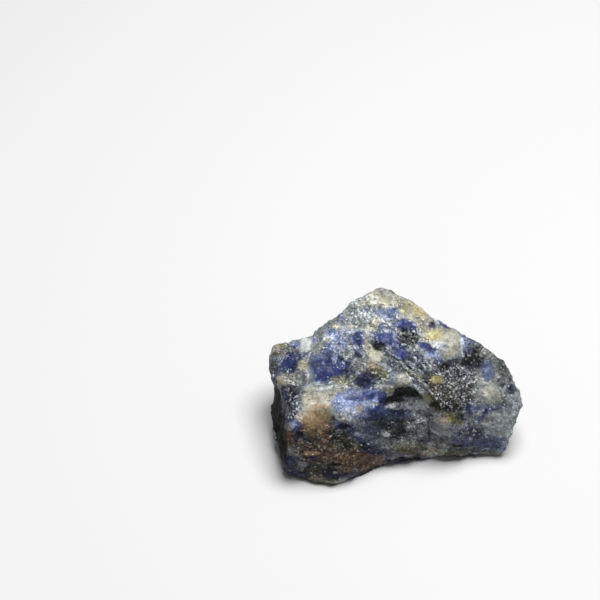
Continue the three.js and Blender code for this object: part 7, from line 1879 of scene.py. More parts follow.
yc 1.6 7.71 24.94 0.8 1 30 2.3 0.7 0.75
oc 1.01 8.64 25.71 0.6 1.2 35 2.4 0.6 0.35
yc 4.84 7.7 24.1 1.6 0.8 -28 3.7 0.7 0.75
tc 3.89 10.23 25.25 1 0.32 -25 2.6 0.6 0.35
c 6.39 6.36 23.75 1.6 0.6 -25 4.1 0.6 0.35
wy 4.26 8.58 24.35 1.4 0.48 -20 3.2 0.7 0.35
cy -3.36 10.48 26.42 1.6 0.68 -10 3.3 0.5 0.35
w -4.57 10.15 26.19 1 0.28 -40 2.6 0.6 0.35
y 7.29 2.78 22.28 1.19 0.6 0 2.9 0.9 0.3
yc 8.55 3.84 22.04 1.2 0.8 0 3.3 0.9 0.75
yw 6.94 3.91 22.54 0.8 0.52 0 2.3 0.8 0.75
w 8.66 1.48 21.62 0.99 0.6 -12 2.4 0.95 0.3
cw 10.75 2.89 21.02 1.4 1.6 0 3.4 0.8 0.35
cg 11.09 0.92 20.19 1.39 1 0 2.9 0.8 0.35
w 9.23 0.26 20.89 0.8 0.6 0 2.3 0.7 0.35
l 7.16 -0.9 21.53 0.99 0.59 -25 2.9 0.85 0.75
ls 7.74 -1.4 21.2 0.79 0.48 -20 2.3 0.8 0.35
sb 6.21 0.55 22.02 1.09 0.52 -35 2.7 0.7 0.35
is 7.4 0.15 21.59 0.91 0.37 -30 2.4 0.8 0.35
lw 5.95 -1.13 21.78 0.79 0.48 -30 2.5 0.8 0.35
w 6.11 -2.23 21.5 0.67 0.2 -15 1.8 0.8 0.35
ds 15.36 4.61 19.23 1.41 0.6 -38 3.9 0.85 0.35
kg 16.6 4.18 18.22 1.21 0.4 -38 2.1 0.8 0.35
w 15.77 4.23 18.75 0.2 0.14 0 1.3 0.8 0.35
w 17 3.74 17.81 0.26 0.12 -38 1.2 0.8 0.35
sk 13.84 2.95 19.51 0.66 0.97 10 2.6 0.8 0.75
wl 13.25 3.77 20.11 0.32 0.6 10 1.9 0.8 0.35
i 15 2.87 18.43 0.69 0.46 0 2.1 0.8 0.35
ds 15.22 1.21 18.14 1 1.2 0 2.9 0.5 0.35
gc 18.38 2.82 17.32 1.41 0.4 -38 4.2 0.85 0.35
gk 19.55 1.83 16.91 1 0.48 -38 2.5 0.85 0.35
gs 18.72 1.37 16.81 0.8 0.48 -30 2.8 0.7 0.35
s 18.18 -1.07 16.49 0.97 1.41 8 3 0.8 0.75
is 18.12 -2.37 15.99 0.92 0.6 0 2.5 0.85 0.75
si 17.61 -0.25 16.78 0.44 0.88 0 2.4 0.7 0.35
kp 18.81 -0.57 16.54 0.32 0.8 0 2 0.5 0.35
go 20.89 0.03 15.9 1 1.6 25 3.6 0.92 0.35
kg 21.87 -1.26 14.93 0.8 1.2 20 2.7 0.8 0.35
gc 20.04 -0.61 15.99 0.4 0.8 20 2.2 0.6 0.35
w 20.62 -1.62 15.31 0.28 0.16 0 1.4 0.9 0.35
ok 22.46 -2.37 14.06 0.6 0.6 0 1.8 0.5 0.35
d 21.35 0.8 15.95 0.16 0.6 30 1.9 0.6 0.35
d 22.12 -0.36 15.14 0.16 0.6 20 2 0.6 0.35
gk 20.32 -3.27 15.05 1.2 0.8 -20 3 0.85 0.35
pk 20.79 -2.54 14.84 0.4 0.28 0 1.8 0.7 0.35
d 21.32 -2.74 14.47 0.24 0.14 0 1.3 0.7 0.35
w 21.92 -2.82 14.11 0.22 0.16 0 1.3 0.9 0.35
i 23.06 -2.86 13.57 0.69 0.69 0 2 0.8 0.75
w 22.65 -2.67 13.81 0.24 0.16 0 1.3 0.85 0.35
cg 17.46 -3.91 15.45 1.99 2.39 -24 3.3 0.7 0.9
cg 18.87 -5.06 14.05 2.19 1.2 -24 3.2 0.75 0.9
gc 16.42 -5.51 14.54 1.19 1.59 0 2.9 0.7 0.9
cg 19.9 -5.66 12.93 1.2 0.6 -20 2.5 0.6 0.9
c 17.44 -5.33 14.35 1.19 0.8 -10 2.3 0.4 0.9
g 16.22 -5.53 14.57 0.8 1.19 0 2.4 0.6 0.35
w 20.73 -4.22 14.02 0.2 0.12 -40 1.3 0.8 0.35
ok 7.22 -7.76 17.6 1.77 1.58 -10 3.6 0.6 0.35
rk 6.62 -6.97 18.49 0.79 0.79 0 1.9 0.6 0.35
tk 8.44 -8.19 16.32 0.99 0.79 0 3.4 0.5 0.35
ks 13.08 -2.1 17.3 1.59 1.2 0 3.4 0.6 0.35
ks 9.98 -3.1 18.37 1.59 0.79 0 3.1 0.5 0.35
kg 11.61 -4.43 16.3 1.59 0.99 0 2.9 0.5 0.35
ks -20.97 -10.74 15.03 1.18 1.77 0 3.5 0.6 0.8
is -19.98 -12.82 13.52 1.13 0.68 15 2.5 0.9 0.6
k -21.56 -9.16 15.63 0.79 1.18 0 4.3 0.6 0.8
kw -21.16 -11.19 14.35 0.59 0.79 0 2.6 0.5 0.8
is -21.16 -13.02 12.56 1.36 0.68 0 2.9 0.8 0.7
gk -1.98 -3.62 19.52 0.99 1.19 0 2.5 0.8 0.7
ks -1.41 -4.99 18.96 0.79 0.79 0 2.1 0.6 0.7
oy 10.34 -9.67 12.5 0.99 0.59 -10 2.4 0.8 0.7
yo 7.86 -5.54 18.79 1.07 0.71 0 3 0.6 0.8
yg 7.03 -6.13 19.03 0.59 0.39 0 1.7 0.6 0.8
g 3.78 -7.88 14.8 1.58 0.59 -6 3.6 0.5 0.8
kg 1.47 -10.09 10.73 1.79 0.99 0 3.2 0.4 0.8
gk 3.49 -10.28 9.75 1.39 1.19 -10 2.3 0.6 0.8
cg 17.86 -4.33 15.02 2.79 2.19 -30 3.7 0.6 1
gk 19.49 -3.79 15.02 1 0.6 -30 2.2 0.5 0.8
gc 20.1 -5.29 13.41 1.2 0.8 -10 2.6 0.7 0.9
k 17.23 -5.7 14.16 0.8 0.6 0 2 0.5 0.8
g 16.26 -3.78 15.6 0.8 1 0 2 0.6 0.8
gc 17.86 -6.32 13.07 1.39 0.6 0 2.9 0.7 0.8
w 19.07 -4.34 14.73 0.32 0.12 -30 1.3 0.7 0.35
w 17.46 -3.6 15.7 0.16 0.12 0 1.2 0.7 0.35
w 16.44 -4.78 14.92 0.16 0.14 0 1.2 0.7 0.35
k 18.26 -4.73 14.58 0.48 0.2 20 1.5 0.4 0.35
gs -1.42 7.61 25.61 1.6 0.72 -15 2.5 0.8 0.8
ks -3.2 7.91 25.32 1.4 0.52 -8 2.9 0.7 0.8
gs -0.22 6.76 24.77 0.8 1 -30 2.3 0.7 0.8
kl -4.39 7.61 24.62 1 0.32 -5 2.3 0.7 0.6
w -2.61 8.11 25.68 0.2 0.12 0 1.3 0.8 0.35
w -1.22 7.24 25.28 0.14 0.24 30 1.2 0.8 0.35
w -3.99 7.92 25.02 0.2 0.12 0 1.2 0.8 0.35
is 6.59 0.08 21.8 1.83 0.59 -35 3.9 0.85 0.6
s 7.77 -0.67 21.29 0.87 0.57 -30 2.7 0.8 0.7
lk 6.74 -1.25 21.62 0.79 0.4 -25 2.5 0.7 0.7
k 5.57 -0.49 21.97 0.59 0.4 -30 2 0.6 0.8
w 8 -0.07 21.23 0.2 0.12 -30 1.3 0.8 0.35
is -20.18 -12.83 13.39 1.58 0.77 12 3 0.95 0.6
ks -21.36 -11.62 13.95 0.79 0.79 0 2.7 0.7 0.8
id -18.8 -13.19 13.65 0.9 0.54 0 2 0.8 0.7
k -19.98 -12.25 14.36 0.79 0.39 0 1.9 0.7 0.8
w -20.77 -12.16 13.97 0.39 0.2 -40 1.5 0.8 0.35
sk 21.25 -9.43 4.21 1.33 0.89 25 3.3 0.85 0.7
s 19.87 -9.55 3.75 1.33 0.66 0 3.6 0.7 0.8
k 22.05 -9.02 4.67 0.4 0.6 0 2 0.6 0.8
gw -18.19 5.06 18.17 1.13 1.01 0 3.3 0.6 0.6
gk -10.38 5.37 21.61 1.6 0.8 10 3.8 0.6 0.8
lk -11.58 4.37 20.64 1.2 1 0 2.8 0.5 0.8
sk -12.97 5.56 20.55 1.1 0.66 0 2.6 0.6 0.8
cg -4.78 9.06 25.71 1.6 0.8 -20 2.6 0.9 0.5
cy -1.39 8.9 26.02 2 0.92 -28 4 0.85 0.5
c -3 8.39 25.68 0.8 0.4 -28 2.1 0.8 0.35
Lw 0.09 0.95 0.5 -6.52 11.47 25.16 -5.17 9.56 25.75 -3.79 8.57 25.5 -2.42 7.67 25.56
k -5.76 9.35 25 0.2 0.14 0 1.4 0.5 0.35
w -4.39 8.79 25.57 0.18 0.12 0 1.2 0.7 0.35
gk -3.97 9.7 26.07 0.4 0.2 -20 1.5 0.4 0.35
gk -9.19 4.59 21.56 1 0.8 0 2.1 0.75 0.6
kl -10.19 3.84 20.89 0.8 1 0 2.4 0.7 0.6
gw -9.42 1.72 20.51 0.8 0.6 0 2.6 0.7 0.6
gw -8.86 -0.23 20.25 0.6 0.48 0 1.8 0.8 0.5
ks -10.76 7.02 21.64 0.8 0.6 0 2.4 0.6 0.6
cg 5.68 2.35 22.44 0.99 0.8 -20 2.6 0.85 0.4
y 6.27 2.18 22.33 0.8 0.4 0 2.3 0.6 0.35
gc 8.79 -0.52 20.84 0.99 0.79 -20 2.6 0.8 0.5
k 7.32 -1.98 21.23 0.79 0.59 0 2.3 0.6 0.6
lk -0.3 2.46 22.62 0.48 1.19 10 2.5 0.75 0.5
w -0.09 3.14 23.06 0.16 0.32 0 1.4 0.8 0.35
cw 2.55 5.86 24.4 0.8 0.4 -25 2.2 0.8 0.35
cw 0.97 6.17 24.37 0.6 0.48 0 2 0.85 0.5
b 1.12 4.28 23.88 1.64 0.85 0 3.8 0.85 0.5
i 2.6 4.21 23.95 0.92 0.78 -10 2.3 0.8 0.5
lw 3.63 4.99 24.01 0.28 0.6 10 1.9 0.8 0.35
bp -3.47 2.47 22.32 1.17 0.94 0 2.9 0.8 0.6
b 1.03 -0.71 21.33 0.94 1.17 0 2.5 0.85 0.6
lb 0.23 -1.1 21.17 0.59 0.79 0 2.1 0.6 0.6
cg -5.86 1.65 21.59 0.6 0.8 0 2 0.85 0.5
p 7.1 5.67 23.32 0.44 0.4 0 1.5 0.8 0.35
dk 2.26 1.46 22.51 1.19 0.79 -30 2.2 0.8 0.5
dg -2.31 0.62 21.67 0.6 0.4 -40 1.7 0.7 0.35
w 1.47 1.91 22.72 0.24 0.12 -40 1.3 0.85 0.5
w 2.15 1.15 22.32 0.24 0.12 -40 1.3 0.85 0.5
w 2.86 1.75 22.67 0.24 0.12 -40 1.3 0.85 0.5
w 2.55 0.58 22.17 0.24 0.12 -40 1.3 0.85 0.5
w 3.32 1.04 22.37 0.24 0.12 -40 1.3 0.85 0.5
w 1.76 2.6 23.21 0.24 0.12 -40 1.3 0.85 0.5
w 0.8 2.19 22.73 0.24 0.12 -40 1.3 0.85 0.5
w 1.18 1.11 22.18 0.24 0.12 -40 1.3 0.85 0.5
w 3.16 2.57 22.95 0.24 0.12 -40 1.3 0.85 0.5
d -22.98 -11.07 7.63 1 4.79 4 9 1 0.4
d -22.38 -14.25 6.15 0.6 2.39 6 9 1 0.4
tc -19.59 -11.34 15.4 1.18 0.79 0 2.1 0.6 0.6
kg -20.77 -12.55 13.52 0.98 0.98 0 2.4 0.9 0.5
k -21.36 -13.05 12.3 0.71 0.79 0 2.6 0.8 0.5
kw -19.59 -12.18 14.58 0.98 0.59 0 2 0.8 0.5
is -19.59 -13.06 13.2 0.91 0.5 12 2.2 0.9 0.4
rt -18.11 -13.66 13.29 0.59 0.79 0 1.8 0.85 0.4
rk -18.6 -12.71 14.29 0.39 0.47 0 1.5 0.5 0.6
sd -17.82 -14.6 11.83 1.3 0.48 -20 2.5 0.85 0.5
kg -20.38 -15.48 8.79 1.28 0.79 0 2.8 0.85 0.5
kw -19.98 -15.76 7.91 0.59 0.28 0 1.8 0.5 0.35
ro -7.66 -14.86 5.34 1.59 1.19 10 3.8 0.8 0.6
og -14.81 -17.04 1.57 3.79 0.48 -2 7.1 0.85 0.5
kg -13.1 -10.46 16.48 0.71 1.18 0 2.6 0.8 0.5
gk -7.99 -12.33 14.45 1.57 0.79 -10 2.9 0.85 0.5
ot -15.66 -11.6 16.29 2.75 2.35 0 4.5 0.6 0.7
t -16.84 -13.18 14.53 1.96 1.37 0 3.4 0.6 0.7
tc -16.05 -9.37 17.33 1.97 0.98 0 2.9 0.5 0.7
od -14.88 -11.39 16.34 0.59 0.31 0 1.8 0.7 0.8
i -10.92 -12.72 13.11 1.36 0.63 -5 3 0.9 0.4
kg -11.51 -13.58 12.01 0.79 0.59 0 2 0.8 0.5
kw -8.92 -13.79 10.45 0.67 0.28 -10 2 0.6 0.35
lw -8.16 -9.61 16.12 1.18 0.98 -20 3 0.7 0.6
wl -7.59 -11.05 15.37 1.18 0.71 -20 3.6 0.7 0.6
cl -6.78 -9.84 15.79 0.98 0.59 -20 2 0.5 0.6
ks -6.39 -12 13.78 1.97 0.98 -20 4.1 0.7 0.6
sd -5.57 -12.01 12.31 1.74 0.87 -20 3.7 0.6 0.6
bs -4.41 -10.3 14.83 2.33 1.02 0 4.9 0.85 0.6
b -5 -11.07 14.22 1.86 0.6 0 4.1 0.6 0.35
l -3.79 -8.3 15.85 0.99 0.71 20 2.4 0.8 0.5
gk 7.98 -11.08 10.65 1.59 0.99 -20 4.1 0.8 0.5
Lw 0.06 0.8 0.5 6.42 -10.98 10.24 7.47 -10.9 9.07 8.66 -11.2 8.8 9.85 -11.33 8.83
og 4.04 -11.32 4.88 2.8 1.2 -5 6.3 0.85 0.6
kt 5.33 -10.8 3.35 1.21 0.52 0 3.6 0.6 0.6
og 7.41 -10.43 2.3 1.21 0.52 0 3.4 0.85 0.5
go 1.9 -11.91 2.8 1.61 0.32 5 5.2 0.8 0.5
ro -3.78 -13.29 3.18 1.4 0.72 -10 3.4 0.9 0.5
kg 2.57 -11.47 6.57 1 0.6 0 2.2 0.5 0.6
w 3.36 -11.24 6.92 0.24 0.1 0 1.4 0.7 0.35
w 1.15 -11.22 7.32 0.28 0.16 -20 1.4 0.8 0.35
oy 10.55 -9.65 12.33 1.59 0.91 -10 3.3 0.85 0.5
gt 8.75 -10.9 11.34 1.19 1.19 0 2.4 0.8 0.6
sk 17.05 -7.07 12.41 2.63 0.66 10 4.7 0.8 0.6
si 20.13 -6.18 12.03 1.1 0.53 0 2.2 0.7 0.6
k 23.03 -6.11 10.75 1.2 1.2 0 2.2 0.8 0.6
sk 21.67 -9.34 4.12 1.11 1.33 0 3.3 0.8 0.6
k 19.8 -8.12 9.11 2.2 2.4 0 3.7 0.45 0.8
kd 12.54 -10.79 3.95 2.61 0.48 0 5.5 0.8 0.5
ks 18.95 -9.66 2.33 1.61 0.48 0 3.8 0.85 0.5
ky 19.38 -7.72 9.85 0.8 0.8 20 1.9 0.5 0.6
ct -15.85 -9.68 17.08 2.95 0.98 0 3.9 0.85 0.9
cy -14.28 -9.85 16.98 1.38 0.79 0 2.6 0.6 0.9
ty -17.62 -11.4 16.06 1.18 0.98 0 2.5 0.7 0.9
t -16.06 -12.14 16.01 1.76 1.18 0 3 0.5 0.9
ot -14.1 -12.31 15.9 0.98 1.37 0 3.2 0.7 0.9
od -14.88 -11.39 16.34 0.67 0.35 10 1.9 0.75 0.9
o -14.48 -10.45 16.76 0.24 0.79 -10 2 0.45 0.9
t -17.43 -12.85 14.74 1.18 0.98 0 2.5 0.6 0.9
ot -16.64 -13.83 13.48 1.77 0.79 0 2.9 0.7 0.9
cg -13.1 -10.46 16.48 0.59 0.98 0 2.4 0.7 0.8
tg -19.39 -12.08 14.76 0.79 0.98 0 2 0.85 0.6
is -22.17 -8.32 13.22 0.59 1.83 0 6.8 0.8 0.5
kt -20.77 -15.49 8.51 1.38 0.99 0 3 0.6 0.6
i -19.98 -14.5 11.27 0.91 0.54 0 2.4 0.7 0.5
dk -17.62 -14.65 11.74 1.38 0.51 -20 2.6 0.9 0.5
rt -7.26 -14.67 5.42 1.59 1.59 10 3.5 0.95 0.5
od -14.8 -17.11 1.11 3.59 0.32 -2 6.8 0.8 0.5
k -24.64 2.01 14.66 0.6 1.61 0 4.8 0.7 0.6
s -23.41 -0.01 15.06 0.88 0.88 0 3.8 0.7 0.6
lw -16.18 4.53 19.02 0.6 1 20 2.7 0.6 0.8
l -12.22 0.07 19.36 0.48 1.79 -5 3.7 0.85 0.5
w -12.41 1.19 19.63 0.16 0.6 -5 2 0.8 0.35
w -12.03 -1.01 19.05 0.14 0.48 0 1.6 0.8 0.35
sg -16 1.02 18.64 1.1 1.1 0 2.8 0.85 0.7
gs -17 -0.23 18.22 0.6 1.2 0 3.5 0.7 0.7
cg -18 0.15 17.82 0.8 1.2 0 3.6 0.5 0.6
w -17.39 1.76 18.14 0.18 0.8 -20 2.6 0.8 0.35
sk -14.59 1.9 18.87 1.32 0.66 0 3 0.7 0.7
kg -21.17 -6.2 16.48 1.19 0.99 0 3.1 0.5 0.7
cy -4.31 -0.53 20.86 0.79 1.59 28 3 0.9 0.5
c -3.72 -1.47 20.4 0.59 0.79 20 1.9 0.8 0.6
w -5.08 0.53 21.18 0.32 0.6 35 1.7 0.7 0.35
tc -5.13 -2.74 19.74 1.19 0.59 -15 2.2 0.7 0.6
oy -3.36 -3.69 19.3 1.46 0.87 -28 2.8 0.95 0.5
o -2.58 -4.39 19.01 0.59 0.47 -28 1.8 0.8 0.6
od -2.39 -4.87 18.83 0.59 0.24 -20 1.8 0.7 0.6
y -3.75 -3.3 19.47 0.4 0.24 -28 1.5 0.6 0.35
gc -2.02 -6.99 17.34 1.18 0.87 20 2.5 0.95 0.6
tg -1.23 -6.49 17.96 0.79 0.59 20 2 0.7 0.6
wk -2.61 -6.4 17.87 0.59 0.2 25 1.6 0.6 0.35
is -2.79 -7.89 15.99 0.91 1.05 30 2.3 0.95 0.5
lk -0.42 -4.52 19.33 0.43 0.99 -10 2.1 0.75 0.5
lb -8.37 -10.09 16.08 1.38 0.98 -15 3.3 0.6 0.8
lc -7.38 -10.42 15.56 0.98 0.51 -15 2.2 0.7 0.7
bl -6.18 -8.12 16.82 2.09 0.93 8 3.5 0.8 0.7
b -4.99 -7.79 17.05 0.93 0.47 8 2 0.6 0.7
lb -10.13 -9.33 16.11 1.38 0.79 -10 2.7 0.5 0.8
ls -4.2 -8.1 16.51 0.99 0.59 15 2.1 0.7 0.7
w -7.35 -7.19 17.09 0.59 0.14 25 1.8 0.8 0.35
w -8.94 -8.06 16.76 0.47 0.12 25 1.8 0.7 0.35
kt 8.73 -10.52 12.12 1.78 1.58 0 3.1 0.8 0.7
k 8 -11.08 10.35 1.59 0.79 -20 4.1 0.8 0.6
is 18.15 -1.84 16.15 1.15 1.29 0 2.8 0.92 0.5
s 17.8 -0.47 16.73 0.79 1.1 0 2.8 0.7 0.6
kl 9.06 1.26 21.39 0.8 0.52 -15 2.1 0.8 0.5
Ls 0.08 0.8 0.5 8.67 1.9 21.77 9.47 1.6 21.38 10.29 1.45 20.79
lw 7.97 -0.75 21.2 0.79 0.59 -20 2.6 0.8 0.5
w 7.65 1.5 21.89 0.8 0.4 -10 2.1 0.6 0.6
ok 8.45 -7.67 16.63 2.37 1.78 0 6.2 0.5 0.8
og 10.99 -5.33 15.82 1.99 1.59 0 3.8 0.35 0.8
k 15.33 3.55 18.59 0.6 0.4 -30 2 0.6 0.35
ls -6.21 -11.43 14.81 1.18 0.39 -10 2.4 0.8 0.5
kw 2.02 -10.61 8.92 0.32 1 10 2.5 0.8 0.5
kw -0.17 -8.67 13.6 0.79 0.24 0 1.7 0.7 0.35
i -6.08 -13.68 7 1.05 1.05 -40 2.9 0.85 0.5
is -2.61 -12.65 4.9 1.15 0.6 0 2.9 0.7 0.6
r -3.77 -13.25 2.83 1.4 0.6 0 4.9 0.9 0.4
Lw 0.06 0.85 0.5 6.62 -11.07 10.16 7.67 -10.95 9 8.87 -11.2 8.69 10.06 -11.34 8.67
ct -16.25 -10.37 16.68 2.55 0.98 0 4.9 0.8 1.2
c -15.66 -9.27 17.51 2.56 0.79 0 3.5 0.6 1.2
kw -19.19 -10.8 15.98 0.67 1.57 0 2.5 0.8 0.8
wk -19.78 -11.58 15.09 0.59 0.79 0 1.9 0.6 0.8
od -14.88 -11.39 16.34 0.59 0.31 10 1.8 0.6 1
lk -12.9 -9.07 16.99 0.51 1.18 -10 2.8 0.7 0.9
kl -16.8 -1.21 18.1 0.6 1 0 2.5 0.6 0.9
Lw 0.06 0.7 0.5 -17.8 -2.32 17.54 -17.21 -3.14 17.55
Lw 0.06 0.7 0.5 -15.83 -5.51 17.89 -14.85 -6.31 18.06
g -18.48 -5.38 17.34 0.59 0.79 0 3.1 0.8 0.9
og -11.08 -4.56 18.21 1.58 0.79 10 3.5 0.8 0.9
gc -19.59 -4.83 17.03 0.79 0.79 0 2.7 0.7 0.9
gc -17.41 -4.78 17.56 0.79 0.79 0 2.7 0.6 0.9
gs -16.19 1.81 18.67 1 0.8 0 3 0.6 0.9
s -22.39 -1.55 15.83 1.1 0.57 0 3.6 0.6 0.9
b -15.42 -2.24 18.04 0.7 0.94 0 2.2 0.6 0.9
b -13.22 -1.69 18.32 1.41 0.94 0 2.7 0.6 0.9
kc -11.7 -7.69 17.23 0.99 0.51 10 2.3 0.7 0.8
cy -4.6 -0.39 20.86 1.91 0.69 -48 3.4 0.95 0.7
c -3.92 -1.11 20.6 0.79 0.6 -48 1.9 0.7 0.8
gk -5.9 -1.45 20.1 0.87 0.79 0 2.4 0.85 0.8
gs -2.52 -0.3 21.19 0.6 0.99 40 2.2 0.85 0.7
gk -3.5 0.61 21.5 0.4 0.28 0 1.4 0.5 0.8
tc -4.92 -2.19 20.01 0.99 0.52 -20 2.2 0.7 0.9
yo -3.36 -3.69 19.3 1.46 0.79 -28 2.8 0.95 0.8
y -3.75 -3.42 19.42 0.59 0.32 -28 1.7 0.7 0.8
o -2.46 -4.36 19.04 0.59 0.4 -28 1.8 0.8 0.8
lk -1.5 -5.99 18.29 0.55 0.79 -20 1.8 0.8 0.8
kc -2.22 -6.9 17.54 0.79 0.59 20 2 0.6 0.9
ck -0.93 -6.88 16.81 0.47 0.79 -20 2.4 0.85 0.8
kc 3.25 -7.45 18.43 0.59 0.47 -40 1.6 0.8 0.8
pk 3.66 -6.44 19.19 0.59 0.71 -20 1.9 0.8 0.8
oc 2.17 -6.54 18.9 0.79 0.51 0 1.8 0.8 0.8
og 6.63 -8.35 16.79 1.38 0.79 -30 4 0.85 0.8
cl -4.19 -9.02 15.47 0.99 0.55 20 2.5 0.85 0.8
cg -7.38 -10.31 15.61 0.79 0.67 -10 1.9 0.9 0.8
lc -8.65 -10.45 16.06 0.59 0.79 0 2.3 0.8 0.8
gs -7.31 -3.49 19.09 1.58 0.59 0 3 0.8 0.9
lb -5.97 -7.34 17.31 1.18 0.67 0 2.3 0.85 0.8
w -5.18 -6.88 17.69 0.39 0.12 25 1.4 0.8 0.35
w -6.56 -7.06 17.31 0.47 0.12 25 1.6 0.8 0.35
rt -7.19 -14.33 2.56 1.6 0.8 15 2.8 0.95 0.7
kt -20.38 -15.48 8.79 0.99 0.79 0 2.4 0.7 0.9
kg -1.76 -1.68 20.63 1.19 0.59 -30 2.5 0.6 0.9
sl -16.41 -1.33 18.23 0.74 1.53 -10 3.4 0.75 0.9
lb -15.14 -2.57 17.98 0.68 0.6 0 2 0.75 0.8
gs -16.69 -3.46 17.6 0.79 0.79 0 2.8 0.7 0.9
w -15.41 -2.04 18.11 0.18 0.14 0 1.2 0.85 0.35
w -14.61 -0.71 18.44 0.16 0.16 0 1.3 0.9 0.35
w -15.03 -3.5 17.93 0.14 0.14 0 1.3 0.8 0.35
gs -15.59 2.2 18.84 1.2 0.6 10 3.1 0.6 0.9
b -11.26 -2.96 18.51 1.17 0.7 10 2.8 0.7 0.8
o 7.62 -7.61 17.44 1.38 1.77 0 3.6 0.45 0.9
go 21.67 -1.14 15.1 0.8 1 20 2.5 0.7 0.9
yo 9.93 -10.13 12.27 0.79 0.79 0 2 0.8 0.9
ks 19.73 -6.25 11.92 1.2 0.4 5 2.3 0.8 0.8
kg 16.03 -7 12.93 1 0.4 0 2.2 0.8 0.8
k 16.69 -9.8 2.8 0.81 0.4 0 2.6 0.8 0.8
og 8.21 -10.46 2.47 1.01 0.52 0 3.6 0.8 0.8
d 9.71 -8.83 14.08 1.19 0.59 -20 2.8 0.6 0.8
kg 15.12 -1.99 16.59 1 0.8 0 2.1 0.7 0.9
k 11 -3.72 17.29 0.79 0.6 0 2.2 0.6 0.8
kl 15.54 3.5 18.35 0.68 0.8 -20 2.3 0.75 0.8
ls 18.18 -1.07 16.49 0.6 0.6 0 1.8 0.6 0.8
w 15.55 3.81 18.61 0.18 0.14 0 1.3 0.8 0.35
w 16.18 3.47 17.8 0.16 0.12 -38 1.2 0.8 0.35
k 8.74 -2.56 19.83 0.99 0.52 -10 2.2 0.7 0.8
bs -4.61 -10.65 14.64 2.09 1.16 0 4.5 0.65 0.8
ib -2.99 -8.02 15.84 0.91 0.91 30 2.1 0.9 0.8
rt -3.76 -13.2 2.65 1.4 0.56 0 4.9 1 0.6
gk 9.22 -11.19 9.57 2.19 0.79 -14 4.6 0.7 0.9
kg 9 -10.84 6.46 1.6 0.6 0 3.5 0.55 0.9
k 17.45 -6.53 13.01 1.39 0.6 0 2.9 0.5 0.9
id -21.76 -9.55 14.29 1.36 2.73 0 8.9 0.75 0.8
ct -19.19 -11.67 15.18 0.98 0.79 0 1.9 0.55 0.8
rd -21.56 -13.22 11.89 0.79 0.99 0 2.4 0.75 0.8
il -20.57 -12.3 13.98 1.13 0.68 0 2.6 0.6 0.8
rp -18.8 -13.19 13.65 0.69 0.69 0 1.7 0.45 0.8
c -18.02 -10.67 16.42 0.69 1.18 0 2.5 0.65 0.8
ct -15.66 -10.17 16.74 1.38 0.59 0 2.8 0.35 0.8
ro -15.07 -11.58 16.27 0.78 0.43 0 2 0.7 0.8
gl -12.91 -11.32 15.98 0.59 0.79 0 2.2 0.7 0.8
c -12.69 -8.6 17.07 0.79 0.79 0 2.3 0.3 0.8
lc -7.38 -10.07 15.75 1.18 0.79 0 2.4 0.6 0.8
i -21.77 -15.84 5.87 1.14 1.83 0 4.3 0.6 0.8
rt -8.26 -15.14 5.36 1.99 0.99 -8 4.7 0.55 0.9
rt -3.34 -12.98 2.2 1.2 0.52 0 3.7 0.7 0.8
yg -18 -0.95 17.82 0.8 0.8 0 2.4 0.45 0.8
sg -15.79 1.69 18.8 1.54 0.88 0 3.7 0.55 0.9
id -10.65 -1.62 19.12 0.91 0.69 0 2.3 0.6 0.8
is -9.48 -3.25 19.12 0.91 1.37 0 2.9 0.6 0.8
og -22.39 -1.25 15.8 1 0.6 0 3.4 0.6 0.8
g -16.62 -5.8 17.8 0.99 0.43 0 3.7 0.45 0.8
ok -11.68 -5.63 17.91 1.78 0.51 0 3.7 0.5 0.8
kt -18.6 -3.38 17.22 0.8 0.99 0 2.7 0.5 0.8
lk 17.99 -0.69 16.67 1 1 0 2.6 0.55 0.9
s 18.54 -2.16 15.9 0.88 0.53 0 2.4 0.4 0.8
gl 22 -3.43 13.75 0.6 0.52 0 1.9 0.8 0.8
dg 21.4 -2.72 14.45 0.52 0.48 0 1.7 0.7 0.8
kc 17.66 -4.35 15.04 1 0.8 0 2 0.5 0.9
ok 8.66 -7.68 16.34 1.78 1.19 0 4.5 0.4 0.9
rd 7.63 -6.99 17.92 1.18 0.79 0 2.6 0.45 0.9
ok 11.21 -2.58 18.11 0.79 0.4 0 1.9 0.5 0.8
id 9.57 -2.36 19.33 1.6 0.68 -8 3.6 0.6 0.8
di 15.22 1.41 18.22 1.8 1.4 20 3.8 0.4 0.9
d 12.46 -1.41 18.31 0.6 0.6 0 1.8 0.6 0.8
dk 14.33 -1.22 17.23 1 0.4 0 2.4 0.6 0.8
lk 13.84 2.95 19.51 0.6 1.2 0 3 0.5 0.8
gt 9.32 -10.3 12.46 0.69 0.59 0 1.8 0.8 0.8
dg 12.17 -9.34 11.97 0.69 0.79 0 2.1 0.6 0.8
dk 9.08 -8.84 14.68 0.99 0.79 0 2.4 0.7 0.8
d 10.15 -7.46 14.63 0.59 0.4 0 1.6 0.7 0.8
dk 11.97 -8.5 12.82 0.79 0.6 0 2.1 0.7 0.8
kw 17.04 -6.74 12.94 1 0.52 0 2.2 0.45 0.8
gc 19.38 -7.82 9.67 1.8 1.2 0 3 0.5 0.9
go 21.81 -7.07 10.03 1.2 2 20 4 0.4 0.9
gk 16.12 -8.46 10.09 0.6 0.5 0 1.8 0.5 0.8
ok 11.67 -11.49 8.11 1.59 0.8 0 4.1 0.35 0.9
kc 9.75 -11.13 7.1 1.4 0.5 0 4.2 0.4 0.9
id 15.59 -9.36 8.1 0.92 0.69 0 2.9 0.6 0.8
dk 16.72 -9.82 2.37 1.61 0.52 0 3.9 0.6 0.9
kl 22.31 -9.12 3.86 0.6 1.21 25 3.1 0.5 0.9
lb -6.58 -8.64 16.52 1.38 0.79 0 2.7 0.6 0.8
ls -5.6 -10.05 15.44 1.18 0.59 0 2.5 0.6 0.8
bs -2.79 -7.74 16.12 0.7 0.93 0 2.2 0.6 0.8
bs -4.2 -10.77 14.18 2.09 0.74 0 3.6 0.65 0.9
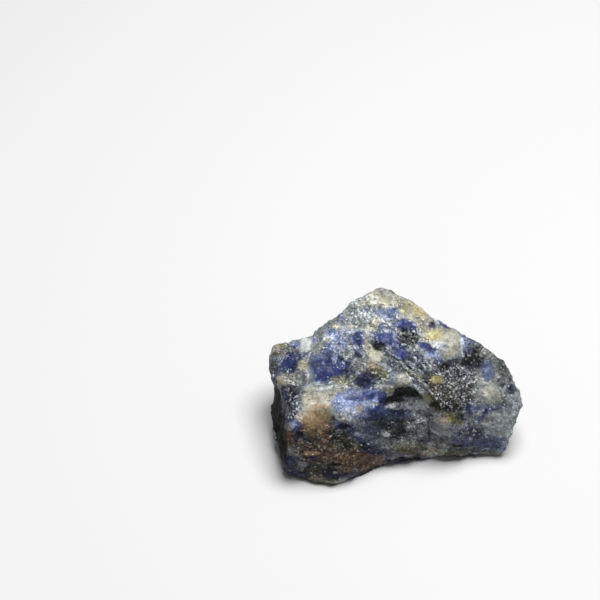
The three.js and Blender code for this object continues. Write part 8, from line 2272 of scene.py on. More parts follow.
sl -6.21 -11.36 14.84 0.87 0.35 0 2 0.6 0.8
si -2.14 -10.75 11.17 1.09 0.87 0 2.7 0.45 0.9
sg 1.82 -8.94 13.02 1.09 0.48 0 2.2 0.5 0.9
kg -6.99 -12.48 13.44 0.98 0.59 0 2.6 0.5 0.9
dg -4.57 -11.59 12.14 0.99 0.59 0 2.6 0.6 0.9
kc 3.36 -10.9 7.44 1.4 0.52 0 2.5 0.4 0.9
go 0.37 -11.29 6.97 1.2 0.6 0 2.7 0.5 0.9
i -6.09 -13.53 7.74 1.14 0.73 -40 3.3 0.6 0.9
is -4.01 -12.93 4.91 1.61 0.55 -15 3.5 0.6 0.9
kg 6.91 -10.28 4.59 0.8 0.6 0 2.5 0.6 0.8
k 5.56 -10.77 2.7 0.81 0.44 0 2.2 0.6 0.8
yo 5.67 -8.23 16.36 0.79 0.43 -20 3 0.6 0.8
dk 5.97 -9.86 12.56 0.59 0.48 0 1.9 0.6 0.8
dk 2.91 -10.43 9.01 0.6 0.6 0 2 0.5 0.8
kw 2.14 -10.85 7.98 0.5 0.32 0 1.7 0.6 0.8
yc 4.45 8.15 24.22 2.81 1.2 -28 5.7 0.3 0.9
ok 12.02 -4.76 15.79 3.38 2.78 0 5.1 0.28 0.9
tc -16.84 -12.43 15.74 1.96 1.37 0 3.6 0.25 0.9
b -13.03 -2.57 18.1 2.58 1.17 -5 4.7 0.45 0.8
cg -15.26 -8.32 17.92 2.75 1.18 0 6.2 0.3 0.9
dk 1.41 -6.76 15.63 2.38 0.79 0 3.5 0.3 0.9
ls -14.8 1.43 18.79 1.8 1 0 3.9 0.5 0.9
lg -13 1.83 19.53 1.6 0.6 0 3.8 0.45 0.9
gc -20.78 -3.69 16.68 2.78 0.99 0 6.9 0.35 0.9
Llw 0.29 0.7 0.5 -12.57 5.26 20.58 -12.2 2.71 20.05 -12.22 0.51 19.47 -12.43 -1.27 18.74
Lc 0.39 0.7 0.5 -5.83 3.64 22.26 -5.46 1.89 21.77 -5.08 0.53 21.18
cw -4.31 -0.91 20.67 0.99 0.79 -40 2.1 0.6 0.7
Ld 0.14 0.6 0.5 -4.88 0.51 21.2 -3.51 0.15 21.29 -2.12 0.23 21.5
b 1.03 -0.52 21.42 1.4 0.94 -10 2.8 0.5 0.8
b -2.09 2.1 22.42 1.64 0.94 -28 3.4 0.4 0.8
og -2.57 -4.08 19.14 1.38 0.79 -25 2.8 0.4 0.8
b -21.4 0.85 17.07 1.18 1.42 0 3.2 0.4 0.8
yc 3.64 8.22 24.43 2.4 1 -28 5.2 0.25 0.9
bs -13.22 -1.51 18.42 2.79 1.79 0 4.3 0.25 0.9
wg -14.86 -7.8 17.94 2.56 0.98 0 5.2 0.3 0.9
b -13.03 -2.79 18.05 2.11 0.94 -5 4.5 0.5 0.8
ok 12.2 -5.55 15.18 2.78 1.99 0 4.3 0.25 0.9
d 2.25 1.1 22.31 1.19 0.6 0 2.6 0.7 0.8
wc 0.37 6.25 24.43 1 0.5 -35 2 0.65 0.8
lw 1.57 6.25 24.44 1 0.4 -20 2.7 0.55 0.8
wl -8.99 4.7 21.74 1 0.48 0 2.1 0.65 0.8
c -1.81 8.04 25.75 1.2 0.6 -10 2.8 0.55 0.8
k 5.15 5.42 23.86 0.8 0.6 0 2.3 0.45 0.8
i 2.69 3.61 23.71 1.14 0.5 -15 2.6 0.55 0.8
s -6.65 2.1 21.56 0.66 0.88 0 2.2 0.45 0.8
b 5.6 0.23 22.07 1.17 0.61 -22 3 0.55 0.8
wc 8.87 1.73 21.65 1 0.6 -10 2.4 0.55 0.8
c 6.45 1.73 22.23 0.99 0.6 0 2.6 0.45 0.8
g -9.63 1.47 20.48 0.8 0.6 0 2.6 0.45 0.8
sk 18.18 -1.07 16.49 1.32 1.76 0 3.5 0.55 0.9
kg 17.46 -4.22 15.19 1 1 0 2 0.4 0.9
is 14.88 2.44 18.3 1.84 1.38 0 4.4 0.3 0.9
ds 14.34 -0.53 17.66 1.6 0.8 0 3.1 0.35 0.9
dk 21.4 -2.72 14.45 0.6 0.6 0 1.8 0.65 0.8
g 22.4 -3.72 13.46 0.52 0.44 0 1.7 0.8 0.7
dk 16.33 2.37 17.51 0.8 0.6 -30 3.4 0.5 0.8
dg 18.33 1.86 17.17 0.8 0.6 -30 2 0.6 0.8
dk 19.35 -2.21 15.66 0.8 0.48 0 2.5 0.5 0.8
tc 8.25 -6.77 17.69 0.59 0.47 0 1.8 0.55 0.8
kw 12.65 -3.77 16.17 1.19 0.8 0 2.5 0.35 0.8
dk 13.21 -6.18 14.4 0.7 0.6 0 1.7 0.6 0.8
d 8.67 -7.22 16.72 0.59 0.47 0 2.1 0.5 0.8
kw 15.52 -1.96 16.57 0.8 0.6 0 1.9 0.55 0.8
d 14.86 -4.3 15.29 0.6 0.6 0 1.8 0.6 0.8
o -4.15 -3.85 19.18 0.99 0.59 0 2.3 0.55 0.8
dg -4.17 -4.99 18.66 1.19 0.43 0 2.3 0.6 0.8
gt -1.8 -4.94 18.91 1.19 0.79 0 2.6 0.5 0.8
g -1.01 -4.63 19.15 0.59 0.79 0 1.9 0.65 0.8
k -0.22 -4.21 19.57 0.79 0.79 0 1.9 0.6 0.8
kg 1.54 -4.46 19.84 0.79 0.47 -20 2 0.55 0.8
kt -6.32 -3.6 19.2 0.99 0.59 0 2.3 0.6 0.8
ks -7.34 -6.67 17.28 1.98 0.51 12 3.3 0.4 0.8
b -7.95 -7.94 16.92 1.86 0.74 10 3.6 0.35 0.8
b -6.18 -8.66 16.54 1.4 0.56 15 2.7 0.5 0.8
cg -1.81 -7.16 16.95 0.79 0.59 28 2 0.7 0.8
b -2.79 -7.74 16.12 0.7 0.7 0 1.9 0.65 0.8
cg -0.07 -6.78 18.28 0.79 0.28 0 2 0.6 0.8
gl 2.61 -0.39 21.86 0.89 0.69 0 2.2 0.65 0.8
ds 3.36 -2.17 21.15 0.59 0.99 -10 2.4 0.6 0.8
dk 5.09 -3.64 20.7 0.59 0.39 0 1.6 0.6 0.8
dk 7.31 -3.22 20.25 0.59 0.59 0 1.9 0.5 0.8
ck 5.27 -4.79 19.9 0.99 0.36 -30 2.4 0.6 0.8
dk 8.13 -3.91 18.96 0.79 0.4 0 1.9 0.65 0.8
dk 3.28 -5.73 19.47 0.79 0.28 -35 1.9 0.6 0.8
lw 3.06 -6.93 18.74 0.59 0.59 0 1.7 0.55 0.8
cw -7.38 -10.24 15.65 0.79 0.59 0 1.9 0.45 0.8
sl -5.61 -11.26 14.73 1.3 0.39 0 3.2 0.55 0.8
od 7.1 -9.15 14.43 1.19 0.79 0 2.9 0.45 0.8
dk 2.02 -8.04 14.09 1.59 0.71 0 2.6 0.35 0.9
gw -0.23 5.48 23.79 1 0.8 -30 2.5 0.65 0.8
bs -0.62 6.89 24.92 0.94 0.94 -30 1.9 0.55 0.8
cg -2.61 7.73 25.5 0.8 0.8 0 2.1 0.45 0.8
k -0.98 9.4 26.08 0.8 1 -20 2.7 0.35 0.8
d -4.48 1 21.55 0.8 0.48 0 1.9 0.4 0.7
yc 6.28 2.42 22.37 1 0.6 0 2.6 0.55 0.8
cw 7.44 1.26 21.86 1.19 0.4 -10 3 0.45 0.8
k 5.98 6.06 23.77 0.8 0.44 0 2.1 0.4 0.8
gc -15.79 2.47 18.86 1.2 1 0 3.1 0.7 0.8
sg -16.8 0.02 18.25 0.66 1.32 0 3.8 0.65 0.8
lc -11.3 -7.8 17.06 0.59 0.39 0 1.8 0.5 0.8
kc -18.6 -11.29 15.64 0.59 0.79 0 1.8 0.45 0.8
ok -12.06 -4.22 18.13 1.19 0.36 0 3.7 0.45 0.8
k 11.15 -7.91 13.94 0.59 0.5 0 1.8 0.55 0.8
kg 18.79 -7.91 9.46 1.6 1 0 2.8 0.35 0.9
kc 9.38 -10.97 6.61 1.8 0.72 0 6.1 0.35 0.9
kl 17.87 -6.62 12.51 1.2 0.52 0 2.6 0.45 0.8
dk 21.36 -6.67 11.08 0.6 1.2 0 2.4 0.35 0.8
go 10.97 -10.68 10.8 1.79 0.71 0 3 0.3 0.9
od 8.49 -9.5 13.94 0.99 0.59 0 2.1 0.4 0.8
s 16.03 -7.95 11.91 0.88 0.66 0 2.4 0.35 0.8
is 14.32 -10.04 8.57 1.38 0.69 0 4.5 0.35 0.8
g 23.64 -6.59 10.09 0.8 1.4 -20 2.3 0.45 0.8
dk 16.9 -9.76 2.76 1.21 0.52 0 3.2 0.4 0.9
ct -17.62 -11.56 15.95 1.18 1.18 0 2.5 0.4 0.9
og -15.47 -11.59 16.28 0.78 0.59 0 2 0.4 0.9
Lwc 0.15 0.85 0.5 0.6 -2.27 20.68 1.75 -3.54 20.3 2.9 -4.74 19.99 4.07 -5.53 19.54 5.44 -6.12 19.31
Ld 0.12 0.8 0.5 0.2 -2.64 20.49 1.35 -3.88 20.08 2.51 -5.12 19.68
Lwk 0.13 0.8 0.5 2.56 -2.55 20.98 3.89 -4.08 20.59 5.46 -5.32 19.6
Ld 0.11 0.8 0.5 3.15 -2.37 21.07 4.49 -4.03 20.53 5.86 -4.97 19.81
Lwc 0.13 0.8 0.5 2.1 -5.78 19.24 3.26 -6.97 18.78 4.62 -7.99 18.15 5.84 -8.3 17.02
Ld 0.11 0.75 0.5 2.89 -5.52 19.53 4.24 -6.91 19 5.81 -7.94 18.09
Lkw 0.13 0.8 0.5 4.27 -5.86 19.32 5.62 -7.11 18.64 7.01 -8.01 17.58 8.03 -8.48 16.34
Ld 0.11 0.75 0.5 5.05 -6.1 19.28 6.42 -7.17 18.41 7.62 -7.78 17.33
Lwl 0.18 0.8 0.5 4.56 -0.98 21.91 5.91 -2.06 21.61 7.3 -2.55 20.98
Ld 0.1 0.8 0.5 -2.52 -0.11 21.28 -1.17 -1.19 21.26 0.21 -1.98 20.8
Lwl 0.09 0.8 0.5 -2.12 0.04 21.41 -0.76 -0.95 21.3 0.8 -1.84 20.95
kw -21.36 -12.34 13.28 0.79 0.59 0 2.1 0.5 0.8
rd -20.57 -14.43 10.89 0.79 0.59 0 1.9 0.55 0.8
tk -19.98 -15.42 9.03 1.18 0.59 0 2.7 0.45 0.8
or -16.44 -14.86 11.39 0.79 0.59 0 2.2 0.45 0.8
t -15.27 -10.69 16.59 1.37 0.59 0 3 0.5 0.8
r -8.05 -15.07 4.67 1.99 0.8 -5 6 0.5 0.9
tk -17.22 -15.69 8.13 1.58 0.4 0 3.2 0.4 0.8
i -20.98 -15.94 4.78 1.6 1.14 0 4.6 0.4 0.9
rk -16.8 -16.57 1.04 1.4 0.4 0 3.2 0.45 0.8
kt -10.81 -16.77 1.13 1.2 0.4 0 3.4 0.35 0.8
i -14.02 -16.61 3.11 1.37 0.55 0 2.6 0.45 0.8
kl -10.93 -12.47 13.72 1.18 0.43 -10 2.5 0.5 0.8
tk -16.83 -14.68 12.08 0.98 0.59 0 2.5 0.4 0.8
or -15.07 -11.58 16.27 0.98 0.51 0 2.3 0.5 0.8
lb -6.18 -8.66 16.54 1.38 0.63 10 2.7 0.65 0.8
lb -8.13 -7.22 17.01 1.58 0.59 10 3.6 0.45 0.8
bi -6.73 -5.72 17.71 0.93 0.7 0 2.1 0.55 0.8
b -2.8 -7.26 16.76 0.82 0.61 0 2 0.55 0.8
b -5.21 -10.67 14.95 1.39 0.65 0 2.8 0.65 0.8
od -3.96 -3.87 19.21 1.19 0.59 0 2.4 0.5 0.8
ot -2.19 -4.7 18.94 0.99 0.59 0 2.3 0.45 0.8
sk -0.22 -4.55 19.35 0.87 0.87 0 2 0.55 0.8
kd 1.54 -4.65 19.76 0.99 0.39 -20 2.3 0.45 0.8
dk -1.82 -6.26 18.01 0.79 0.43 0 1.8 0.55 0.8
gw -1.75 -1.39 20.9 1.39 0.52 -30 2.7 0.45 0.8
wg 2.8 -0.39 21.87 0.99 0.67 0 2.3 0.5 0.8
yo 5.91 -8.07 15.6 0.99 0.51 -20 3.2 0.6 0.8
ot 7.41 -8.18 17.18 0.99 0.79 0 2.3 0.35 0.8
ct 8.45 -6.56 17.75 0.79 0.59 0 2.1 0.5 0.8
is -5.96 -6.49 17.67 1.36 0.64 20 3.3 0.5 0.8
sl -7 -11.63 14.85 1.95 0.43 0 3.3 0.45 0.8
bs -4.4 -10.79 14.2 1.86 0.51 0 3.2 0.45 0.8
ck -0.62 7.85 25.65 0.8 0.48 -10 1.9 0.6 0.8
sl -0.82 6.28 24.12 1.1 0.57 -30 2.5 0.5 0.8
cw 1.17 6.28 24.4 0.8 0.36 -20 2.3 0.5 0.8
ls 0.52 4.35 23.81 0.6 0.44 0 2 0.5 0.8
i 2.48 3.38 23.66 1.14 0.41 -15 2.4 0.45 0.8
kw 1.08 2.08 22.73 0.6 0.6 0 1.7 0.4 0.8
d 3.25 1.46 22.51 0.6 0.52 0 1.8 0.45 0.8
wl -8.79 4.52 21.63 0.8 0.52 0 1.9 0.5 0.8
k -5.07 1.83 21.84 0.6 0.36 0 1.9 0.5 0.8
cw -0.6 8.57 25.93 0.8 0.44 -10 2.4 0.35 0.8
b -6.38 -8.46 16.62 1.4 0.65 10 2.7 0.4 0.8
b -5.4 -10.53 15.1 1.16 0.51 0 2.5 0.5 0.8
i -2.79 -8.11 15.65 0.68 0.59 0 1.7 0.35 0.8
r -3.34 -12.98 2.2 1.4 0.64 0 4.1 0.75 0.7
r -7.84 -14.89 4.45 1.99 0.8 -5 6 0.35 0.9
i -6.09 -13.53 7.74 1.03 0.64 -40 3.1 0.55 0.8
i -5.04 -13.21 5.55 0.92 0.5 -30 2.5 0.5 0.8
ib -2.79 -12.75 4.4 1.15 0.41 0 2.9 0.45 0.8
dk 2.22 -8.78 13.14 1.39 0.48 0 2.5 0.4 0.8
dk 5.59 -9.55 12.51 0.79 0.56 0 2.4 0.5 0.8
od 8.1 -9.6 13.75 1.38 0.71 0 2.5 0.35 0.8
dk 3.54 -10.5 8.19 0.8 0.56 0 2.1 0.45 0.8
kw 2.13 -10.79 8.21 0.5 0.4 0 1.7 0.45 0.8
do -0.17 -12.23 4.1 1.2 0.36 0 3.3 0.45 0.8
dk 6.29 -10.47 4.81 0.6 0.56 0 2.3 0.45 0.8
dk -1.91 -10.95 9.91 0.68 0.44 0 2.2 0.45 0.8
lk -6.01 -11.34 14.82 0.98 0.31 0 2.2 0.5 0.8
"""

# Ways the surface is broken, laid out the same: G granular, S smooth, F white flecks and painted glints,
# H lines lying flat, D slanting lines, K deeper in tone, P paler in tone, U swollen, N sunken.
# K is partly painted shade: the broad K rows over the lower front faces, the K rows in the hollow and the strong ones
# (up to 1.5) on the left facet near x = -24 to -22 darken where shade falls; elsewhere K is the mineral's deeper tone.
REGIONS = """
G 10.99 -5 16.05 5.16 4.57 0 7.1 0.88 0.35
G 6.08 -4.52 19.9 3.16 2.76 -30 6.9 0.45 0.35
G 2.66 2 22.8 2.19 1.59 0 3.7 0.8 0.35
G -21.37 -8.78 15.8 1.78 3.55 0 9 0.8 0.35
G -24.23 1.03 14.53 1.21 2.01 0 4.8 0.6 0.35
G 15.87 1.75 17.86 2.4 2 0 8.1 0.6 0.35
G 2.29 -10.37 9.85 4.77 2.39 0 7.8 0.15 0.35
G 14.87 -9.59 6.55 3.61 1.6 0 8.4 0.2 0.35
S -14.87 -8.48 17.8 3.54 1.57 0 6.8 0.9 0.35
S 8.56 -11 11.17 1.98 1.59 0 3.4 0.9 0.35
S 11.13 1.96 20.55 1.99 1.99 0 4 0.7 0.35
S 17.85 -4.96 14.54 2.39 2.19 0 3.5 0.5 0.35
S -2.98 9.77 26.28 2.6 1.6 -28 4.7 0.6 0.35
S 8.16 4.03 22.14 1.8 1.4 0 4 0.7 0.35
S -16.06 -13.32 14.69 2.35 1.37 0 3.9 0.7 0.35
S 20.44 -8.42 8.24 2.8 2.2 0 4.5 0.5 0.35
S -4.31 -1.08 20.57 1.19 1.19 0 2.3 0.6 0.35
S 3.8 -8.18 13.95 2.38 0.99 0 4.3 0.6 0.35
S -2.39 -10 13.61 3.56 0.79 0 8.1 0.5 0.35
S 18.24 -9.51 4 1.61 1.01 0 3.4 0.7 0.35
F -7.74 8.88 23.19 3.22 3.22 0 5.5 0.3 0.35
F -22.19 -1.66 15.95 2.8 5.99 0 9 0.6 0.35
F 11.2 -4.67 16.27 4.97 3.97 0 6.9 0.75 0.35
F 14.87 -9.59 6.55 3.61 1.6 0 8.4 0.4 0.35
F 0.66 0.85 21.99 5.96 3.97 0 8.4 0.3 0.35
F 4.49 -4.03 20.53 4.34 2.76 0 5.6 0.45 0.35
F -9.33 -8.46 16.61 5.13 1.97 0 7.3 0.15 0.35
F 2.7 -10.43 9.32 4.38 2.39 0 8.3 0.25 0.35
H -13.28 -15.92 9 10.85 5.13 0 9 0.9 0.35
H 0.65 -9.58 11.95 8.93 1.59 0 9 0.9 0.35
H 11.88 -11.01 4.82 11.03 2.41 0 9 0.9 0.35
H -0.23 -11.17 7.14 7.98 3.19 0 9 0.6 0.35
D 2.12 -4.55 19.93 5.13 1.78 -43 7.7 1 0.35
D -0.37 -1.13 21.2 3.17 1.59 -38 5.5 0.9 0.35
D -2.22 6.25 24.15 3.2 1 -35 4.5 0.6 0.35
D 5.81 -7.47 18.45 2.76 1.18 -45 4.6 0.8 0.35
K -3.28 -11.98 8.07 21.89 3.18 0 9 0.55 0.8
K -1.36 -9.58 12.84 6.74 1.59 0 9 0.75 0.8
K -13.27 -16.14 8.35 10.86 5.13 0 9 0.75 0.8
K 0.69 -10.7 9.63 5.97 2.78 0 9 0.75 0.8
K 14.93 -9.68 5.42 5.22 1.81 0 9 0.5 0.8
K 10.98 -5.86 15.52 4.76 3.97 0 7.7 0.65 0.8
K -13.23 -1.9 18.26 2.78 1.79 0 5 0.25 0.8
K -6.93 -5.74 17.73 2.37 1.78 0 3.7 0.5 0.8
K 15.85 1.44 17.9 2.4 2.4 0 4.8 0.5 0.8
K 0.61 -6.89 15.77 5.94 2.38 0 7.3 0.5 0.8
K -22.16 -7.57 15.04 2.77 3.96 0 9 0.45 0.8
K -23.81 -6.68 8.08 1.61 9.24 4 9 0.7 0.8
K -19.19 -15.78 3.35 5.18 2.79 0 9 0.5 0.8
K -7.3 -14.34 7.77 4.36 2.38 0 7.5 0.45 0.8
K 2.26 1.98 22.83 2.38 1.79 0 3.9 0.5 0.8
K -0.38 -1.72 20.97 2.38 1.58 0 3.7 0.4 0.8
K -3.7 0.88 21.68 1.99 1.19 0 3 0.4 0.8
K -24.22 0.81 14.47 1.41 2.01 0 6.9 0.5 0.8
K 4.53 -2.45 21.16 1.98 1.98 0 3.5 0.3 0.8
K 7.69 -9.22 14.51 1.98 1.19 0 4.3 0.5 0.8
P 20.45 -8.62 7.86 2.8 2.2 0 4.7 0.45 0.8
P -4.78 9.66 26.1 2.8 1.6 -20 5.5 0.35 0.8
P -8.73 9.11 22.96 2.82 2.41 0 4.9 0.2 0.8
P -18.19 5.06 18.17 1.81 1.81 0 4.7 0.2 0.8
P 11.17 3.18 21.01 2 1.6 0 3.7 0.2 0.8
P -15.26 -8.06 17.93 3.15 1.38 0 6.9 0.1 0.8
K -21.8 0.69 16.95 1.8 2 0 4.1 0.5 0.8
K -7.67 -0.5 20.25 0.79 0.79 0 2.1 0.4 0.8
K -10.07 -2.46 19.15 1.19 1.19 0 3 0.15 0.8
K -2.97 -4.26 19.04 2.37 1.19 -20 4 0.25 0.8
K -9.72 -7.6 16.84 1.38 0.99 0 3 0.3 0.8
K 5.65 -5.36 19.65 0.99 1.58 -30 2.9 0.5 0.8
K 2.02 -0.15 21.89 1.78 0.99 -10 3.5 0.4 0.8
K 14.75 -0.59 17.43 4.39 1.8 0 6.8 0.55 0.8
K 20.9 0.23 15.97 1.6 2.41 25 4.9 0.05 0.8
K 11.56 -8.19 13.36 3.57 1.59 0 5.8 0.55 0.8
K -11.26 -2.96 18.51 0.99 0.6 0 2.6 0.4 0.8
K -7.33 -6.13 17.58 1.58 1.19 0 2.8 0.3 0.8
K -0.99 -7.09 15.99 1.58 0.99 0 2.9 0.3 0.8
K -2.78 -4.26 19.05 1.19 0.79 -20 2.5 0.4 0.8
P -4.78 7.96 24.7 5.2 2.4 -8 9 0.75 0.8
P -12.17 5.69 21 2.81 1.61 15 4.9 0.6 0.8
P -4.82 4.46 22.56 3.59 1.2 0 6.1 0.4 0.8
P 2.69 3.42 23.62 1.99 2.78 0 4.3 0.25 0.8
P -3.4 -6.75 17.66 1.18 0.79 0 2.4 0.5 0.8
P 3.81 -8.39 13.59 3.17 2.38 0 4.5 0.7 0.8
P 3.88 -9.93 10.25 1.99 2.78 0 4.4 0.6 0.8
P -17.23 -10.48 16.51 2.36 1.57 0 4.4 0.45 0.8
P -1.63 -11.71 6.55 2.4 1.2 0 4.5 0.6 0.8
P 17.86 -4.48 14.89 2.99 2.59 -25 3.9 0.15 0.8
P 24.01 -4.93 12.13 1.4 1.6 0 3 0.6 0.8
P 22.14 -9.19 6.08 2.01 2.81 0 6.3 0.5 0.8
P 0.93 -5.85 19.02 1.58 1.18 0 3.1 0.3 0.8
S 7.86 -5.42 18.84 1.38 0.99 0 3.5 1 0.35
S -14.86 -8.03 17.89 2.76 1.38 0 5.5 0.9 0.35
S -2.98 9.77 26.28 2.8 1.6 -10 5 0.7 0.35
S 3.23 8.26 24.68 2.8 1.6 -28 6.1 0.7 0.35
S -7.62 3.08 21.4 1.2 1.4 0 4 0.8 0.35
S -18.39 4.9 18.06 1.61 1.41 0 8 0.6 0.35
S -23.39 -4.99 12.19 1.8 6 0 9 0.9 0.35
S -22.98 -11.54 7.57 1.59 5.18 0 9 0.9 0.35
S -13.23 -2.56 18.08 2.78 1.59 0 5.6 0.5 0.35
F 11.61 -4.57 16.17 3.97 3.18 0 5.7 0.78 0.35
F -21.17 -8.41 15.97 1.58 3.55 0 9 0.6 0.35
F 3.69 -10.27 9.74 2.79 2.39 0 3.5 0.3 0.35
F -15.25 -15.85 8.92 6.31 2.76 0 9 0.1 0.35
K -24.04 -2.87 9.25 1.21 3.23 3 9 1.5 0.8
K -23.82 -6.69 7.48 1.41 3.22 3 9 1.5 0.8
K -23.19 -11.15 7.11 1 2.79 6 9 1.5 0.8
K -22.59 -13.38 4.83 0.8 2 6 9 1.2 0.8
K 9.36 -2.64 19.33 1.59 0.79 -5 3.6 1.2 0.8
K 14.35 -0.01 17.99 1.8 1.2 0 3.4 1.2 0.8
K 16.46 1.23 17.54 1.6 1.2 0 3.5 1.1 0.8
K 8.67 -9.01 14.87 2.37 0.99 0 4.5 1.3 0.8
K 12.18 -8.01 13.17 1.59 0.79 0 2.8 1.3 0.8
K 0.61 -6.63 16.07 1.98 1.19 10 3.1 1.2 0.8
K 3.15 -6.92 16.68 1.58 0.79 -20 5.2 1.2 0.8
K -1.58 -7.69 15.48 0.99 0.59 15 2.2 1.1 0.8
K -3.89 1.07 21.77 1.39 0.79 -8 2.6 1 0.8
K -7.67 -0.71 20.18 0.99 0.6 -20 2.3 0.9 0.8
K -8.11 -3.96 19.01 1.19 0.99 0 2.6 0.5 0.8
K -5.14 -4.3 18.8 1.58 0.59 -10 3 1 0.8
K -10.67 -3.16 18.73 0.79 0.59 0 2.3 0.6 0.8
K 1.06 -9.93 11.15 1.99 0.79 0 3.4 1.1 0.8
K -2.13 -10.89 10.74 1.79 0.79 -8 3.8 1 0.8
K 1.31 -10.7 9.02 1.59 0.8 0 3.3 1.1 0.8
K -0.46 -11.01 8.17 1.2 0.6 0 2.9 1 0.8
K 6.05 -5.33 19.62 1.18 0.79 0 3.5 0.9 0.8
K 2.56 -2.34 21.04 0.99 0.79 -30 2.4 0.9 0.8
K 1.35 -4.25 19.9 0.59 0.59 0 1.7 0.7 0.8
K 21.41 -2.54 14.54 0.6 0.4 -10 1.9 0.4 0.8
K 23.04 -3.17 13.46 1 0.68 -25 2.4 0.9 0.8
K -10.72 -12.77 12.87 1.38 0.51 0 2.9 1.1 0.8
K -11.71 -13.73 11.88 1.77 0.98 0 3.2 0.8 0.8
K -10.7 -14.28 9.52 1.98 0.99 0 3.2 0.7 0.8
K -6.3 -13.6 8.13 0.99 1.19 25 3 1 0.8
K -4.02 -12.85 5.13 1.6 0.6 -15 3.5 0.9 0.8
K 2.96 -11.38 1.68 2.42 0.4 0 8.2 1.1 0.8
K -0.71 -12.36 2.09 1.81 0.4 8 4.9 1 0.8
K -19.19 -14.13 12.34 0.98 0.59 0 2.5 0.8 0.8
K -21.18 -15.83 4.03 1.59 1.19 0 4.5 0.8 0.8
K -11.03 -16.74 2.95 2.59 0.6 2 5 0.9 0.8
K -13.23 -16.32 4 1.59 0.6 0 3.8 0.8 0.8
K 14.81 -9.61 7.47 1.8 0.8 0 5.6 0.8 0.8
K 12.67 -10.92 5.02 1.8 0.4 0 5.2 1 0.8
K 10.94 -8.53 13.45 2.38 0.59 0 3.9 1 0.8
K -20.58 -6.47 16.78 0.99 0.79 0 2.7 0.5 0.8
K -21.57 -7.68 15.76 1.38 1.98 0 4.1 0.35 0.8
K -7.13 -5.29 18.11 1.58 1.19 0 2.6 0.8 0.8
K -1.79 -7.88 15.39 0.99 0.59 10 2.3 0.9 0.8
K -21 0.77 17.16 0.8 1.6 0 3.6 0.7 0.8
P -1.78 -3.47 19.65 0.79 0.79 -20 2 0.6 0.8
P -2.61 -6.99 17.34 1.18 0.79 10 2.5 0 0.8
P -0.04 -5.47 18.89 1.58 1.18 -15 3 0.4 0.8
P 2.99 -7.22 15.24 1.98 0.59 -8 3.2 0.7 0.8
P -0.77 -8.34 14.27 1.19 0.48 0 2.6 0.7 0.8
P -24.22 2.33 16.08 0.8 0.6 0 2.4 0.6 0.8
P -23.2 -1.16 15.12 1.2 1 0 3.5 0.6 0.8
P -21.58 -4.59 16.48 1.59 0.79 0 3.9 0.6 0.8
P -9.64 0.09 20.21 1.39 1.39 0 3 0.5 0.8
P -9.7 -5.57 17.84 1.98 0.79 0 3.4 0.6 0.8
P -15.22 -2.25 18.05 0.8 0.6 42 2.1 0.6 0.8
P 14.06 3.39 19.63 1.2 1.4 15 3.3 0.6 0.8
P 14.95 4.73 19.39 1.21 0.8 -35 3.5 0.4 0.8
P 17.99 2.89 17.24 1.61 0.6 -40 2.5 0.5 0.8
P 13.91 -1.68 17.15 1.2 0.8 -30 2.6 0.6 0.8
P -19.59 -11.34 15.4 1.57 1.57 0 2.5 0.7 0.8
P -18.21 -12.31 15.02 1.96 0.98 0 3.7 0.7 0.8
P -10.35 -11.95 14.91 2.75 0.79 -6 4.5 0.8 0.8
P -2.08 -11.15 8.93 1.39 0.6 -16 3.3 0.9 0.8
P -6.94 -13.04 10.8 1.78 0.59 -18 3.5 0.8 0.8
P 3.66 -9.56 11.03 1.79 1.59 0 3.4 0.8 0.8
P 5.34 -10.51 8.2 1.4 0.8 0 4.3 0.8 0.8
P 1.37 -11.4 6.8 1 1 0 2.3 0.7 0.8
P 3.39 -11.39 6.18 1.4 0.8 0 3.3 0.6 0.8
P 8.49 -10.77 4.54 2.81 1 0 6.2 1.1 0.8
P 7.8 -10.43 2.61 2.42 0.81 0 7.3 1 0.8
P -3.26 -12.05 7.55 1.59 0.8 0 3.8 0.8 0.8
P 0.8 -11.59 5.8 2 0.8 0 4.2 0.5 0.8
P 9.14 -10.69 11.71 1.78 0.99 0 3.1 0.7 0.8
P -16.82 -15.67 8.41 1.98 0.4 -3 4 1 0.8
P -18.8 -16.02 5.48 1.19 0.79 -10 3.6 0.9 0.8
P -15.45 -15.54 10.07 1.77 0.79 0 3.4 0.5 0.8
P -11.88 -16.12 7.73 1.78 0.79 0 4.2 0.5 0.8
P -9.68 -15.27 6.73 1.98 0.79 -5 4 0.5 0.8
P -3.57 -13.21 3.09 1.4 0.8 0 3.4 0.5 0.8
P -16 -16.73 2.01 1.2 0.6 0 2.8 0.8 0.8
P -11.01 -16.83 1.2 1.8 0.6 10 4.5 0.8 0.8
P -14.2 -17.18 1 2.4 0.48 0 4.6 0.6 0.8
P 18.76 -7.53 10.24 1.8 0.8 0 2.8 0.2 0.8
P 15.61 -6.72 13.52 1.19 0.99 0 2.3 0.4 0.8
P 21.8 -3.14 14.01 1 0.6 0 2.5 0.5 0.8
P 19.35 -9.04 5.91 2.01 1 0 4 0.4 0.8
P 21.88 -8.44 7.66 1.6 2.4 0 3.2 0.3 0.8
P -19.98 -12.52 14.07 1.57 0.79 0 2.7 0.6 0.8
P -21.16 -10.76 14.76 1.18 0.99 0 3.4 0.6 0.8
P 9.5 -8.21 14.87 1.19 0.59 0 3.8 0.8 0.8
P 13.25 -3.83 15.95 0.8 0.8 0 2.1 0.5 0.8
P 9.7 -5.8 17.21 2.38 1.58 0 5.2 0.2 0.8
S -14.82 -1.84 18.19 3.18 2.79 0 5.3 0.8 0.35
S -6.57 -8.45 16.61 3.55 1.97 10 5.3 0.7 0.35
S -1.68 2.57 22.5 1.99 1.39 -20 3.9 0.6 0.35
S 1.92 4.66 24.06 1.59 0.8 -10 3.1 0.7 0.35
S 1.23 -0.38 21.56 1.59 1.19 -20 3 0.5 0.35
S -20.8 0.72 17.2 1 1.8 0 3.9 0.7 0.35
S -6.93 -5.27 18.09 1.78 1.38 0 2.8 0.7 0.35
